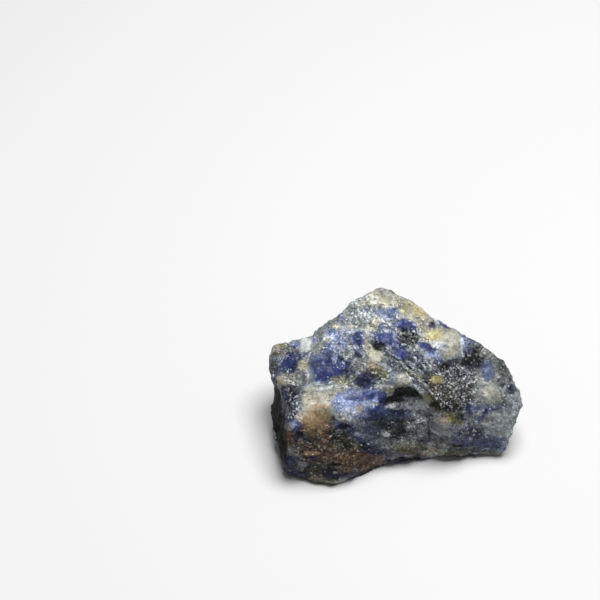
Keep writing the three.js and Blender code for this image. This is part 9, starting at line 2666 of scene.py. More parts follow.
S -3.4 -10.13 14.35 3.55 0.99 0 6.9 0.7 0.35
S 6.2 0.34 21.96 1.79 0.79 -22 3.5 0.7 0.35
S 18.38 -1.21 16.34 1 1.6 0 3.3 0.5 0.35
S 10.13 2.82 21.38 2.79 2.79 0 5.9 0.95 0.35
S 0.34 -5.72 18.88 1.78 1.38 -15 3.3 0.6 0.35
S -4.51 -1.07 20.56 0.99 1.59 0 2.7 0.8 0.35
S -19.19 -0.56 17.4 1 1 0 2.7 0.6 0.35
S -22.58 -2.94 15.86 1.2 1.4 0 4.6 0.5 0.35
K -17.2 -16.29 1.49 5.19 1.6 0 9 0.5 0.8
K -9.22 -16.26 2.08 3.99 1.2 10 9 0.5 0.8
K -4.78 7.7 24.38 5.2 2 -8 9 0 0.8
P -18.19 4.93 18.16 1.21 1.01 0 3.5 0.5 0.5
P -13.22 -1.51 18.42 2.39 1.59 0 3.8 0.35 0.8
P 7.3 3.02 22.32 1.99 1.2 0 4.2 0.35 0.7
P 8.65 1.29 21.54 1.19 0.8 0 2.6 0.4 0.6
S 11.13 2.17 20.62 2.39 2.79 0 5.2 1 0.5
S 18.06 -4.78 14.63 2.59 1.99 0 3.7 0.9 0.5
S -15.78 3.48 18.96 1.6 1 0 3.8 0.6 0.5
S -18.19 5.06 18.17 1.41 1.21 0 3.9 1 0.4
S -4.16 10.37 26.25 2.41 1.2 -20 4.3 0.8 0.5
S 3.85 8.27 24.38 2.4 1.4 -25 4.8 0.6 0.5
S 0.93 -5.5 19.22 1.18 1.18 0 2.6 0.8 0.5
S 20.89 -0.18 15.82 1.2 1.8 25 3.4 0.3 0.5
F -13.61 -0.59 18.6 3.59 3.99 0 7.8 0.2 0.6
F -9.22 2.22 20.57 2.79 2.79 0 6.5 0.4 0.6
F -22.2 0.41 16.66 2.8 2.8 0 5.3 0.3 0.6
F -2.32 0.06 21.39 5.16 5.96 0 8.3 0.35 0.6
F -9.33 -8.02 16.72 3.55 1.97 0 6.9 0.25 0.6
K -14.21 -0.92 18.38 2.79 2.39 0 5.4 0.55 0.8
P -10.52 -9.15 16.21 1.97 1.18 0 3.1 0.25 0.8
K -17.99 -16.05 1.2 5.2 1.6 0 9 0.3 0.8
P 14.93 -9.68 5.42 4.82 1.61 0 9 0.25 0.8
K -11.29 -15.27 8.85 7.9 3.95 0 9 0.35 0.8
K 3.86 8.71 24.51 3.21 1.6 -28 5.4 0.12 0.7
K 0.77 6.08 24.32 1 1.6 10 2.6 0 0.7
K 10.57 -5.12 16.48 4.76 3.97 0 9 0.28 0.8
K -0.51 -10.46 10.25 5.17 2.78 0 8.3 0.3 0.8
K -8.14 8.97 23.1 2.41 2.41 0 4.3 0.1 0.8
K -21.2 2.71 17.43 2.81 2.41 0 5.7 0.4 0.8
P 18.06 -4.61 14.74 1.99 1.59 0 2.9 0.3 0.8
K 20.92 0.64 16.13 1.4 2.41 35 4.8 0.35 0.8
K -15.66 -11.8 16.21 3.14 2.35 0 5 0 0.8
P 2.18 -6.54 16.56 2.57 1.19 0 6.8 0.35 0.8
P -16.25 -13.39 14.47 1.96 1.18 0 3.4 0.2 0.8
S -15.66 -11.6 16.29 3.34 3.34 0 5.3 0.95 0.5
K -5.98 -12.01 12.91 2.37 1.38 -15 4.9 0.5 0.8
K 4.04 -11.32 4.88 3.21 1.4 -5 7.1 0.5 0.8
K 10.75 -9.61 12.28 1.78 1.19 -10 2.9 0.6 0.7
K 12.54 -10.79 3.95 2.81 0.8 0 5.9 0.5 0.7
K 18.78 -7.81 9.66 1.8 1.2 0 3.2 0.12 0.8
P 20.53 -8.97 6.43 1.81 0.8 0 4.1 0.2 0.8
K 6.35 -10.12 12.56 0.99 0.79 0 2.5 0.7 0.7
K 2.25 -9.33 11.97 0.79 1.19 0 2.8 0.5 0.7
K 9.29 -8.51 14.91 1.58 0.99 0 3.3 0.7 0.7
K 3.96 -10.63 7.73 0.8 0.6 0 2.1 0.5 0.7
K 2.25 1.29 22.4 1.19 0.79 0 2.2 0.7 0.7
K -2.85 3.77 22.69 0.6 0.6 0 1.9 0.2 0.7
K 5.35 -1.02 21.95 0.79 0.59 0 2.5 0.4 0.7
K 3.36 -1.95 21.21 0.79 0.59 0 2.1 0.5 0.7
K 4.72 4.63 23.81 0.8 0.8 0 1.9 0 0.7
K -10.01 2.08 20.42 1 0.6 0 2.8 0.15 0.7
K -14.81 -17.01 1.73 3.99 0.6 -2 7.5 0.5 0.7
P -7.77 -9.82 16.07 1.77 1.38 -20 4 0.1 0.8
P -3.79 -8.3 15.85 1.19 0.79 20 2.7 0.7 0.8
P 8.03 -11.08 9.75 1.99 0.6 -20 4.4 0.1 0.8
P -20.38 -15.61 8.34 1.58 0.99 0 3.3 0.7 0.8
P -11.51 -13.58 12.01 0.99 0.79 0 2.2 0.7 0.7
P -8.92 -13.79 10.45 0.79 0.59 0 2.2 0.6 0.7
P 1.31 4.26 23.9 1.59 0.6 0 3.7 0.25 0.7
P -0.3 2.46 22.62 0.6 1.19 10 2.5 0.5 0.7
P 1.03 -0.71 21.33 0.99 1.19 0 2.5 0.4 0.7
P -21.56 -12.37 12.72 0.79 0.99 0 3 0.5 0.7
P -6.93 -13.42 9.72 1.19 0.59 0 2.9 0.5 0.7
P -4.5 -0.5 20.83 1.59 0.79 -48 3 0.5 0.9
P -2.02 -6.99 17.34 1.38 0.99 20 2.7 0.6 0.8
P -16 1.02 18.64 1.2 1.2 0 3 0.5 0.7
P -15.66 -9.69 17.09 2.75 0.79 0 3.4 0.4 0.8
K 7.8 -11.09 10.37 1.98 0.99 -20 4.8 0.5 0.7
K 8.73 -10.43 12.31 1.78 1.39 0 3.1 0.3 0.8
K -22.36 -13.53 9.85 0.71 5.54 5 9 1.5 0.4
P -7.26 -14.62 5.66 1.59 1.59 0 3.9 0.4 0.8
K -12.07 -4.53 18.17 1.19 0.79 0 3.7 0.4 0.8
K -11.03 -0.17 19.6 0.8 1 0 2.4 0.4 0.8
U 19.19 2.99 17.43 4.02 1.41 -38 6.4 0.75 1
U 14.94 4.45 19.4 1.41 1 -40 3.9 0.5 1
U 2.83 8.68 25.1 2 1 -30 4.3 0.45 1
U -7.52 10.51 24.12 1.61 1.01 20 3.1 0.4 1
U 23.64 -6.72 9.93 0.8 1.6 -10 2.5 0.6 1
N -12.36 6.74 21.36 1.81 1 25 3.8 0.75 1
N -20.2 5.57 17.65 1.21 0.81 0 2.8 0.5 1
N -2.18 9.72 26.33 2.4 1 -12 4.2 0.5 1
N -9.94 8.39 22.26 1.21 0.8 30 3.1 0.3 1
N 12.92 5.19 20.36 0.8 0.8 -35 2.8 0.4 1
F -13.28 -15.92 9 6.71 3.94 0 9 0.18 0.8
K 3.66 -6.32 19.24 0.79 0.99 -20 2.3 0.6 0.8
P -7.31 -3.49 19.09 1.58 0.79 0 3 0.4 0.8
P -5.97 -7.27 17.35 1.38 0.79 0 2.5 0.4 0.8
P -1.01 -6.88 16.93 0.59 0.99 -20 2.8 0.6 0.8
P -1.76 -1.68 20.63 1.19 0.59 -30 2.5 0.4 0.8
K -18.48 -5.38 17.34 0.59 0.79 0 3.1 0.4 0.8
K -11.08 -4.56 18.21 1.58 0.79 10 3.5 0.5 0.8
K 15.87 -9.27 6.78 1.6 1.2 0 4.2 0.5 0.8
K 9.7 -8.6 14.41 1.78 0.99 -10 3.6 0.9 0.8
K -21.76 -9.2 14.79 1.58 1.98 0 9 0.6 0.8
K -21.17 -6.83 16.29 1.39 1.39 0 3.4 0.4 0.8
K -16.8 -16.53 1.16 4.8 1.2 0 8.6 0.7 0.8
K 12.05 -1.55 18.46 0.99 0.8 0 2.4 0.4 0.8
K 18.75 2.32 17.26 1 0.8 -38 2.3 0.5 0.8
P 15.54 3.5 18.35 0.8 1 -20 2.6 0.7 0.8
P 8.74 -2.56 19.83 0.99 0.59 -10 2.2 0.5 0.8
P 11 -3.72 17.29 0.79 0.79 0 2.2 0.7 0.8
P 18.18 -1.07 16.49 0.6 0.6 0 1.8 0.4 0.8
P 15.12 -1.99 16.59 1.2 0.8 0 2.3 0.3 0.8
P 9.05 -11.23 9.03 2.39 0.99 -14 6 0.5 0.8
P -3.77 -13.25 2.83 1.4 0.6 0 4.9 0.5 0.8
P 17.45 -6.53 13.01 1.59 0.6 0 3.1 0.4 0.8
P 22.4 -6.16 11.11 1.6 2.4 0 4.3 0.2 0.8
P 3.85 8.5 24.43 2.41 1 -28 4.8 0.3 0.8
P 0.28 -10.4 10.48 0.79 0.6 0 1.8 0 0.8
"""
CHANNELS = "GSFHDKPUN"

ACROSS = np.array([1.0, 0.0, 0.0])                    # the patches' own axes
UP = np.array([0.0, math.sqrt(0.5), math.sqrt(0.5)])
IN = np.array([0.0, math.sqrt(0.5), -math.sqrt(0.5)])


# ---------------------------------------------------------------- seeded noise in mm space
def lattice(ix, iy, iz, seed):
    h = (ix.astype(np.int64) * 73856093) ^ (iy.astype(np.int64) * 19349663) ^ (iz.astype(np.int64) * 83492791) ^ (seed * 2654435761 % 4294967291)
    h &= 0xFFFFFFFF
    h ^= h >> 16
    h = (h * 0x7FEB352D) & 0xFFFFFFFF
    h ^= h >> 15
    h = (h * 0x846CA68B) & 0xFFFFFFFF
    h ^= h >> 16
    return h.astype(np.float64) / 4294967296.0


def noise(p, size, seed):
    q = p / size
    i = np.floor(q).astype(np.int64)
    f = q - i
    f = f * f * f * (f * (f * 6 - 15) + 10)
    total = np.zeros(len(p))
    for dx in (0, 1):
        wx = f[:, 0] if dx else 1 - f[:, 0]
        for dy in (0, 1):
            wy = f[:, 1] if dy else 1 - f[:, 1]
            for dz in (0, 1):
                wz = f[:, 2] if dz else 1 - f[:, 2]
                total += wx * wy * wz * lattice(i[:, 0] + dx, i[:, 1] + dy, i[:, 2] + dz, seed)
    return total * 2 - 1


def layers(p, size, seed, count=3, fall=0.5):
    total, amount, whole = np.zeros(len(p)), 1.0, 0.0
    for n in range(count):
        total += amount * noise(p + 17.3 * n, size / 2**n, seed + n)
        whole += amount
        amount *= fall
    return total / whole


NEAR = [(a, b, c) for a in (-1, 0, 1) for b in (-1, 0, 1) for c in (-1, 0, 1)]


def cells(p, size, seed, jitter=0.9):
    """Nearest cell's own three random numbers, and the distances to the two nearest cells."""
    q = p / size
    base = np.floor(q).astype(np.int64)
    first = np.full(len(p), 1e9)
    second = np.full(len(p), 1e9)
    own = np.zeros((len(p), 3))
    centre = np.zeros((len(p), 3))
    for off in NEAR:
        c = base + np.array(off)
        r = np.stack([lattice(c[:, 0], c[:, 1], c[:, 2], seed + k) for k in range(3)], 1)
        at = c + 0.5 + (r - 0.5) * jitter
        d = np.linalg.norm(q - at, axis=1)
        closer = d < first
        second = np.where(closer, first, np.minimum(second, d))
        first = np.where(closer, d, first)
        own[closer] = r[closer]
        centre[closer] = at[closer]
    return own, first * size, second * size, centre * size


def scars(p, size, seed, bowl, tilt, step):
    """Chips struck side by side: the lowest of the shallow bowls about seeded centres."""
    q = p / size
    base = np.floor(q).astype(np.int64)
    low = np.full(len(p), 1e9)
    for off in NEAR:
        c = base + np.array(off)
        r = np.stack([lattice(c[:, 0], c[:, 1], c[:, 2], seed + k) for k in range(7)], 1)
        away = q - (c + 0.5 + (r[:, :3] - 0.5) * 0.95)
        d2 = (away**2).sum(1)
        h = bowl * d2 + tilt * ((r[:, 3:6] - 0.5) * 2 * away).sum(1) + step * (r[:, 6] - 0.5)
        h += np.where(d2 > 2.2, (d2 - 2.2) * 4 * (bowl + step), 0)
        low = np.minimum(low, h)
    return low


def smooth(a, b, x):
    t = np.clip((x - a) / (b - a), 0, 1)
    return t * t * (3 - 2 * t)


# ---------------------------------------------------------------- the stone's mesh, finer
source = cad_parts["sodalite_stone"].data
raw = np.zeros(len(source.vertices) * 3)
source.vertices.foreach_get("co", raw)
raw = raw.reshape(-1, 3) * 1000
source.calc_loop_triangles()
faces = np.zeros(len(source.loop_triangles) * 3, dtype=np.int64)
source.loop_triangles.foreach_get("vertices", faces)
faces = faces.reshape(-1, 3)
key = np.round(raw, 3)
points, inverse = np.unique(key, axis=0, return_inverse=True)
faces = inverse.reshape(-1)[faces]
faces = faces[(faces[:, 0] != faces[:, 1]) & (faces[:, 1] != faces[:, 2]) & (faces[:, 2] != faces[:, 0])]


def cut_up(points, faces, n):
    """Each triangle in n x n, with shared points along the shared edges."""
    edges = np.sort(np.concatenate([faces[:, [0, 1]], faces[:, [1, 2]], faces[:, [2, 0]]]), axis=1)
    unique, which = np.unique(edges, axis=0, return_inverse=True)
    which = which.reshape(3, -1)
    t = np.arange(1, n) / n
    on_edge = points[unique[:, 0]][:, None, :] * (1 - t)[None, :, None] + points[unique[:, 1]][:, None, :] * t[None, :, None]
    start_edge = len(points)
    start_face = start_edge + len(unique) * (n - 1)
    inner = [(i, j) for i in range(1, n) for j in range(1, n - i)]
    weights = np.array([((n - i - j) / n, i / n, j / n) for i, j in inner])
    inside = np.einsum("kw,fwc->fkc", weights, points[faces])
    everything = np.concatenate([points, on_edge.reshape(-1, 3), inside.reshape(-1, 3)])

    def edge_point(side, step):
        """The step-th point from the side's first corner to its second, for every face."""
        a, b = faces[:, side], faces[:, (side + 1) % 3]
        forward = a < b
        k = np.where(forward, step - 1, n - 1 - step)
        return start_edge + which[side] * (n - 1) + k

    grid = {}
    for i in range(n + 1):
        for j in range(n + 1 - i):
            if i == 0 and j == 0:
                grid[i, j] = faces[:, 0]
            elif i == n:
                grid[i, j] = faces[:, 1]
            elif j == n:
                grid[i, j] = faces[:, 2]
            elif j == 0:
                grid[i, j] = edge_point(0, i)
            elif i + j == n:
                grid[i, j] = edge_point(1, j)
            elif i == 0:
                grid[i, j] = edge_point(2, n - j)
            else:
                grid[i, j] = start_face + np.arange(len(faces)) * len(inner) + inner.index((i, j))
    out = []
    for i in range(n):
        for j in range(n - i):
            out.append(np.stack([grid[i, j], grid[i + 1, j], grid[i, j + 1]], 1))
            if i + j < n - 1:
                out.append(np.stack([grid[i + 1, j], grid[i + 1, j + 1], grid[i, j + 1]], 1))
    return everything, np.concatenate(out)


P, T = cut_up(points, faces, FINE)
pairs = np.unique(np.sort(np.concatenate([T[:, [0, 1]], T[:, [1, 2]], T[:, [2, 0]]]), axis=1), axis=0)
degree = np.bincount(pairs.ravel(), minlength=len(P)).astype(float)


def spread(values):
    """Each vertex's neighbours' mean."""
    out = np.zeros_like(values)
    np.add.at(out, pairs[:, 0], values[pairs[:, 1]])
    np.add.at(out, pairs[:, 1], values[pairs[:, 0]])
    return out / (degree[:, None] if values.ndim > 1 else degree)


def normals(P):
    n = np.cross(P[T[:, 1]] - P[T[:, 0]], P[T[:, 2]] - P[T[:, 0]])
    out = np.zeros_like(P)
    for k in range(3):
        np.add.at(out, T[:, k], n)
    return out / np.maximum(np.linalg.norm(out, axis=1), 1e-12)[:, None]


on_spot = P[:, 2] < 0.02
home = P.copy()
for n in range(ROUNDING):
    P = P + 0.55 * (spread(P) - P)
    P = P - 0.50 * (spread(P) - P) if n % 2 else P
    P[on_spot, 2] = 0
N = normals(P)
for n in range(3):
    N = spread(N)
    N /= np.linalg.norm(N, axis=1)[:, None]


# ---------------------------------------------------------------- which mineral is where
def read(table, letters):
    """The table's weights at every vertex, one column for each letter."""
    warp = np.stack([layers(P, 2.6, SEED + 40 + 5 * k, 3, 0.6) for k in range(3)], 1) * 0.36
    own, _, _, _ = cells(P, 0.95, SEED + 60)
    own2, _, _, _ = cells(P, 0.5, SEED + 66)
    Q = P + warp + (own - 0.5) * 0.30 + (own2 - 0.5) * 0.16
    W = np.zeros((len(P), len(letters)))
    u, v, w = Q @ ACROSS, Q @ UP, Q @ IN
    for line in table.strip().splitlines():
        vein = line[0] == "L"
        words = line[1:].split() if vein else line.split()
        kinds = words[0]
        value = [float(x) for x in words[1:]]
        if vein:
            half, amount, soft = value[:3]
            path = np.array(value[3:]).reshape(-1, 3)
            small = 1.0
        else:
            x, y, z, rx, ry, turn, depth, amount, soft = value
            small = min(1.0, min(rx, ry) / 0.55)
        if vein:
            near = np.full(len(P), 1e9)
            box_low, box_high = path.min(0) - 2, path.max(0) + 2
            pick = np.where(((P > box_low) & (P < box_high)).all(1))[0]
            if not len(pick):
                continue
            S = P[pick] + (Q[pick] - P[pick]) * 0.45
            best = np.full(len(pick), 1e9)
            for a, b in zip(path[:-1], path[1:]):
                ab = b - a
                t = np.clip(((S - a) @ ab) / max(ab @ ab, 1e-9), 0, 1)
                gap = S - (a + t[:, None] * ab)
                # The wall's own slope carries a vein in depth, so depth counts for less.
                gap = np.stack([gap @ ACROSS, gap @ UP, 0.35 * (gap @ IN)], 1)
                best = np.minimum(best, np.linalg.norm(gap, axis=1))
            d = best / max(half, 0.14)
        else:
            reach = max(rx, ry) * 1.5 + 1.2
            cx, cy, cz = np.array([x, y, z]) @ np.stack([ACROSS, UP, IN], 1)
            pick = np.where((np.abs(u - cx) < reach) & (np.abs(v - cy) < reach) & (np.abs(w - cz) < depth * 1.6))[0]
            if not len(pick):
                continue
            # Small flecks are bent less than large fields.
            S = P[pick] + (Q[pick] - P[pick]) * (0.35 + 0.65 * small)
            a, b, c = S @ ACROSS - cx, S @ UP - cy, S @ IN - cz
            co, si = math.cos(math.radians(turn)), math.sin(math.radians(turn))
            along, over = a * co + b * si, -a * si + b * co
            d = np.sqrt((along / max(rx, 0.16)) ** 2 + (over / max(ry, 0.16)) ** 2 + (c / depth) ** 4)
        amount = amount * (1 - smooth(1 - soft * 0.5, 1 + soft * 0.5, d))
        mix = np.zeros(len(letters))
        share = (1.0,) if len(kinds) == 1 else (0.60, 0.40) if len(kinds) == 2 else (0.5, 0.3, 0.2)
        for letter, part in zip(kinds, share):
            mix[letters.index(letter)] += part
        if letters is KINDS:
            W[pick] += amount[:, None] * (mix[None, :] - W[pick])
        else:
            W[pick] = np.maximum(W[pick], amount[:, None] * mix[None, :])
    return W


W = read(PATCHES, KINDS)
G = read(REGIONS, CHANNELS)

# ---------------------------------------------------------------- the hidden sides, in the same manner
left = 1 - W.sum(1)
B = np.zeros_like(W)
fields = [
    ("g", 9.0, 0.10), ("k", 7.0, 0.02), ("s", 6.0, 0.02), ("b", 5.0, 0.03), ("i", 4.2, -0.02),
    ("l", 3.4, -0.10), ("c", 5.0, -0.06), ("w", 2.6, -0.18), ("t", 6.5, -0.10), ("d", 3.2, -0.12),
    ("r", 5.5, -0.16), ("o", 3.6, -0.24), ("y", 4.0, -0.26), ("p", 2.8, -0.30),
]
warped = P + np.stack([layers(P, 3.0, SEED + 300 + 7 * k, 3, 0.6) for k in range(3)], 1) * 0.9
shift, _, _, _ = cells(P, 1.0, SEED + 340)
warped += (shift - 0.5) * 0.6
for n, (letter, size, bias) in enumerate(fields):
    B[:, KINDS.index(letter)] = layers(warped, size, SEED + 400 + 11 * n, 3, 0.55) + bias
B = np.exp(B * 9.0)
B /= B.sum(1)[:, None]
broad = N.copy()
for n in range(24):
    broad = spread(broad)
broad /= np.linalg.norm(broad, axis=1)[:, None]
turned = -(broad @ IN)
hidden = 1 - smooth(-0.42, -0.12, turned + 0.15 * layers(P, 3.5, SEED + 350, 3, 0.6))
behind = 1 - smooth(-0.75, -0.25, turned)
# the dark left facet, a painted shadow, gives way to other minerals as it goes back
back = smooth(-6.0, 2.0, P[:, 1] + 5.0 * layers(P, 4.0, SEED + 360, 3)) * (1 - smooth(0.25, 0.60, turned))
back *= (1 - smooth(-21.0, -18.0, P[:, 0])) * (1 - smooth(10.0, 14.0, P[:, 2]))
hidden = np.maximum(hidden, 0.85 * back)
W = (1 - hidden)[:, None] * (W + left[:, None] * B) + hidden[:, None] * B
G *= (1 - hidden)[:, None]
unseen = np.maximum(smooth(0.2, 0.8, left), hidden)
G[:, 0] = np.maximum(G[:, 0], unseen * smooth(0.05, 0.35, layers(P, 8.0, SEED + 500, 2)))
G[:, 1] = np.maximum(G[:, 1], unseen * smooth(0.10, 0.35, layers(P, 7.0, SEED + 510, 2)) * 0.8)
G[:, 2] = np.maximum(G[:, 2], unseen * smooth(-0.05, 0.30, layers(P, 9.0, SEED + 520, 2)) * 0.35)
G[:, 3] = np.maximum(G[:, 3], unseen * smooth(0.10, 0.35, layers(P, 10.0, SEED + 530, 2)) * 0.8)
G[:, 4] = np.maximum(G[:, 4], unseen * smooth(0.12, 0.35, layers(P, 9.0, SEED + 540, 2)) * 0.8)
G[:, 5] = np.maximum(G[:, 5], unseen * (0.15 + 0.55 * smooth(-0.2, 0.4, layers(P, 7.0, SEED + 550, 3))))
# the same mask keeps the left facet's painted shade, as deeper tone, where it gives way at the back
G[:, 5] = np.maximum(G[:, 5], 0.9 * back)

# ---------------------------------------------------------------- relief
grain, calm, fleck_and_glint, flat_lines, slant_lines, deep_tone_and_shade, pale_tone, swollen, sunken = G.T
grain = grain * (1 - 0.9 * calm)
rough = 1 - 0.6 * calm
SLANT = (ACROSS + UP) / math.sqrt(2)
LEVEL = np.array([0.10, 0.25, 0.96])


def ledges(q, period, seed):
    """Small steps, each with a long tread and a short riser, across the coordinate q."""
    t = q / period
    step = np.floor(t)
    rise = lattice(step, np.zeros_like(step), np.zeros_like(step), seed)
    f = t - step
    return (f - smooth(0.72, 1.0, f)) * (0.4 + 1.2 * rise)


h = np.zeros(len(P))
bent = P + np.stack([layers(P, 4.0, SEED + 80 + 3 * k, 3) for k in range(3)], 1) * 0.8
h += 0.95 * (scars(bent, 4.4, SEED + 100, 0.50, 0.55, 0.30) - 0.12)
h += 0.42 * rough * (scars(bent, 2.0, SEED + 120, 0.60, 0.9, 0.5) - 0.05)
h += 0.11 * rough * scars(bent, 1.0, SEED + 140, 0.7, 1.2, 0.9)
own, f1, f2, centre = cells(bent, 0.66, SEED + 160)
h += (0.015 + 0.07 * grain) * rough * (own[:, 0] - 0.5) * 2
tilted = ((own - 0.5) * (bent - centre)).sum(1)
h += (0.14 + 0.30 * grain) * rough * tilted
h += 0.07 * rough * layers(P, 0.9, SEED + 180, 2)
wave = layers(P, 5.0, SEED + 185, 3) * 1.2
h += 0.26 * slant_lines * ledges(P @ SLANT + wave, 1.15, SEED + 190)
h += 0.26 * flat_lines * ledges(P @ LEVEL + wave, 1.35, SEED + 195)
h += 0.22 * flat_lines * rough * tilted
pale = W[:, KINDS.index("w")] + 0.6 * W[:, KINDS.index("c")]
dark = W[:, KINDS.index("d")]
h += 0.08 * np.clip(pale, 0, 1) - 0.20 * np.clip(dark, 0, 1)
h -= np.average(h)
h += 0.6 * swollen - 0.6 * sunken
h += behind * (1.05 * scars(bent, 6.2, SEED + 110, 0.20, 1.15, 0.35) + 0.45 * scars(bent, 3.1, SEED + 130, 0.40, 1.1, 0.5) + 0.25)
keep = smooth(0.05, 1.3, P[:, 2])
h *= np.where(on_spot, 0, 0.15 + 0.85 * keep)
P = P + N * h[:, None]
P[:, 2] = np.where(on_spot, 0, np.maximum(P[:, 2], 0.02))
# the front rim comes down almost to the ground
down = P[:, 2] * (1 - smooth(0.0, 1.8, P[:, 2])) * (1 - smooth(-7.0, -1.0, P[:, 1]))
P[:, 1] += down
P[:, 2] = np.where(on_spot, 0, np.maximum(P[:, 2] - down, 0.02))

# ---------------------------------------------------------------- the object
mesh = bpy.data.meshes.new("rough_sodalite")
mesh.vertices.add(len(P))
mesh.vertices.foreach_set("co", (P / 1000).astype(np.float32).ravel())
mesh.loops.add(len(T) * 3)
mesh.loops.foreach_set("vertex_index", T.astype(np.int32).ravel())
mesh.polygons.add(len(T))
mesh.polygons.foreach_set("loop_start", (np.arange(len(T)) * 3).astype(np.int32))
mesh.polygons.foreach_set("use_smooth", np.ones(len(T), dtype=bool))
mesh.update(calc_edges=True)
mesh.validate()
stone = bpy.data.objects.new("rough_sodalite", mesh)
bpy.context.collection.objects.link(stone)


def attribute(name, columns):
    made = mesh.attributes.new(name, "FLOAT_VECTOR", "POINT")
    data = np.zeros((len(P), 3), dtype=np.float32)
    for k, column in enumerate(columns):
        data[:, k] = column
    made.data.foreach_set("vector", data.ravel())


groups = []
for n in range(0, len(KINDS), 3):
    name = "minerals_%d" % (n // 3)
    attribute(name, [W[:, k] for k in range(n, min(n + 3, len(KINDS)))])
    groups.append(name)


def linear(rgb):
    return tuple((c / 12.92 if c <= 0.04045 else ((c + 0.055) / 1.055) ** 2.4) for c in (v / 255 for v in rgb)) + (1.0,)


# the stone is a little clear, so under the grains each place keeps the mean of what is about it
through = np.clip(W, 0, None) ** 1.3
through /= np.maximum(through.sum(1), 1e-6)[:, None]
for n in range(2):
    through = 0.5 * through + 0.5 * spread(through)
glow = through @ np.array([linear(PALETTE[k][1])[:3] for k in KINDS])
attribute("glow", list(glow.T))
attribute("surface_0", [grain, calm, fleck_and_glint])
attribute("surface_1", [flat_lines, slant_lines, pale_tone - deep_tone_and_shade])


# ---------------------------------------------------------------- material
mat = bpy.data.materials.new("sodalite_rock")
mat.use_nodes = True
tree = mat.node_tree
shader = tree.nodes["Principled BSDF"]


def node(kind, **values):
    made = tree.nodes.new(kind)
    for name, value in values.items():
        setattr(made, name, value)
    return made


def join(value, socket):
    if hasattr(value, "is_output"):
        tree.links.new(value, socket)
    else:
        socket.default_value = value


def calc(operation, a, b=0.0, c=0.0, clamp=False):
    made = node("ShaderNodeMath", operation=operation, use_clamp=clamp)
    for socket, value in zip(made.inputs, (a, b, c)):
        join(value, socket)
    return made.outputs[0]


def vec(operation, a, b=None, scale=None):
    made = node("ShaderNodeVectorMath", operation=operation)
    join(a, made.inputs[0])
    if b is not None:
        join(b, made.inputs[1])
    if scale is not None:
        made.inputs["Scale"].default_value = scale
    return made.outputs["Value" if operation in ("DOT_PRODUCT", "LENGTH") else 0]


def blend(how, amount, a, b):
    made = node("ShaderNodeMix", data_type="RGBA", blend_type=how, clamp_factor=True)
    join(amount, made.inputs[0])
    join(a, made.inputs[6])
    join(b, made.inputs[7])
    return made.outputs[2]


def span(value, low, high, to_low=0.0, to_high=1.0):
    made = node("ShaderNodeMapRange", interpolation_type="SMOOTHSTEP")
    for k, v in enumerate((value, low, high, to_low, to_high)):
        join(v, made.inputs[k])
    return made.outputs[0]


def parts(name):
    got = node("ShaderNodeAttribute", attribute_type="GEOMETRY", attribute_name=name)
    apart = node("ShaderNodeSeparateXYZ")
    tree.links.new(got.outputs["Vector"], apart.inputs[0])
    return list(apart.outputs)


place = node("ShaderNodeTexCoord").outputs["Object"]
mm = vec("SCALE", place, scale=1000.0)


def clouds(where, scale, detail=2.0, rough=0.6, seed=0.0, distort=0.0):
    made = node("ShaderNodeTexNoise", noise_dimensions="4D")
    join(where, made.inputs["Vector"])
    made.inputs["W"].default_value = seed
    made.inputs["Scale"].default_value = scale
    made.inputs["Detail"].default_value = detail
    made.inputs["Roughness"].default_value = rough
    made.inputs["Distortion"].default_value = distort
    return made


def grains(where, scale, feature="F1", jitter=1.0):
    made = node("ShaderNodeTexVoronoi", voronoi_dimensions="3D", feature=feature)
    join(where, made.inputs["Vector"])
    made.inputs["Scale"].default_value = scale
    made.inputs["Randomness"].default_value = jitter
    return made


def three(colour):
    apart = node("ShaderNodeSeparateXYZ")
    tree.links.new(colour, apart.inputs[0])
    return list(apart.outputs)


# a little wander, so that grain edges aren't straight
wander = clouds(mm, 1.3, 2.0, 0.6, 3.1)
moved = vec("ADD", mm, vec("SCALE", vec("SUBTRACT", wander.outputs["Color"], (0.5, 0.5, 0.5)), scale=0.55))

channels = []
for k in range(5):
    soft = three(clouds(mm, 0.85 + 0.12 * k, 2.0, 0.55, 7.0 * k + 1.0).outputs["Color"])
    offset = vec("ADD", moved, (3.7 * k, 5.1 * k, 2.3 * k))
    hard = three(grains(offset, 2.3 + 0.25 * k).outputs["Color"])
    for a, b in zip(soft, hard):
        channels.append(calc("ADD", calc("MULTIPLY", calc("SUBTRACT", a, 0.5), 0.52), calc("MULTIPLY", calc("SUBTRACT", b, 0.5), 0.06)))

weights = []
for name in groups:
    weights += parts(name)
weights = weights[: len(KINDS)]
grainy, smoothness, flecks_and_glints = parts("surface_0")
level, slanted, paleness_and_shade = parts("surface_1")

# each kind's own tone runs between its dark, middle and light
tone_a = three(clouds(mm, 0.62, 4.0, 0.58, 41.0).outputs["Color"])
tone_b = three(clouds(moved, 2.1, 3.0, 0.65, 43.0).outputs["Color"])
shard = three(grains(vec("ADD", moved, (9.0, 2.0, 4.0)), 2.9).outputs["Color"])
tiny = three(grains(vec("ADD", mm, (1.0, 7.0, 3.0)), 5.5).outputs["Color"])


def ramp(value, kind):
    light, middle, dark = (linear(c) for c in PALETTE[kind])
    made = node("ShaderNodeValToRGB")
    join(value, made.inputs[0])
    made.color_ramp.elements[0].position = 0.22
    made.color_ramp.elements[0].color = dark
    made.color_ramp.elements[1].position = 0.80
    made.color_ramp.elements[1].color = light
    between = made.color_ramp.elements.new(0.5)
    between.color = middle
    return made.outputs[0]


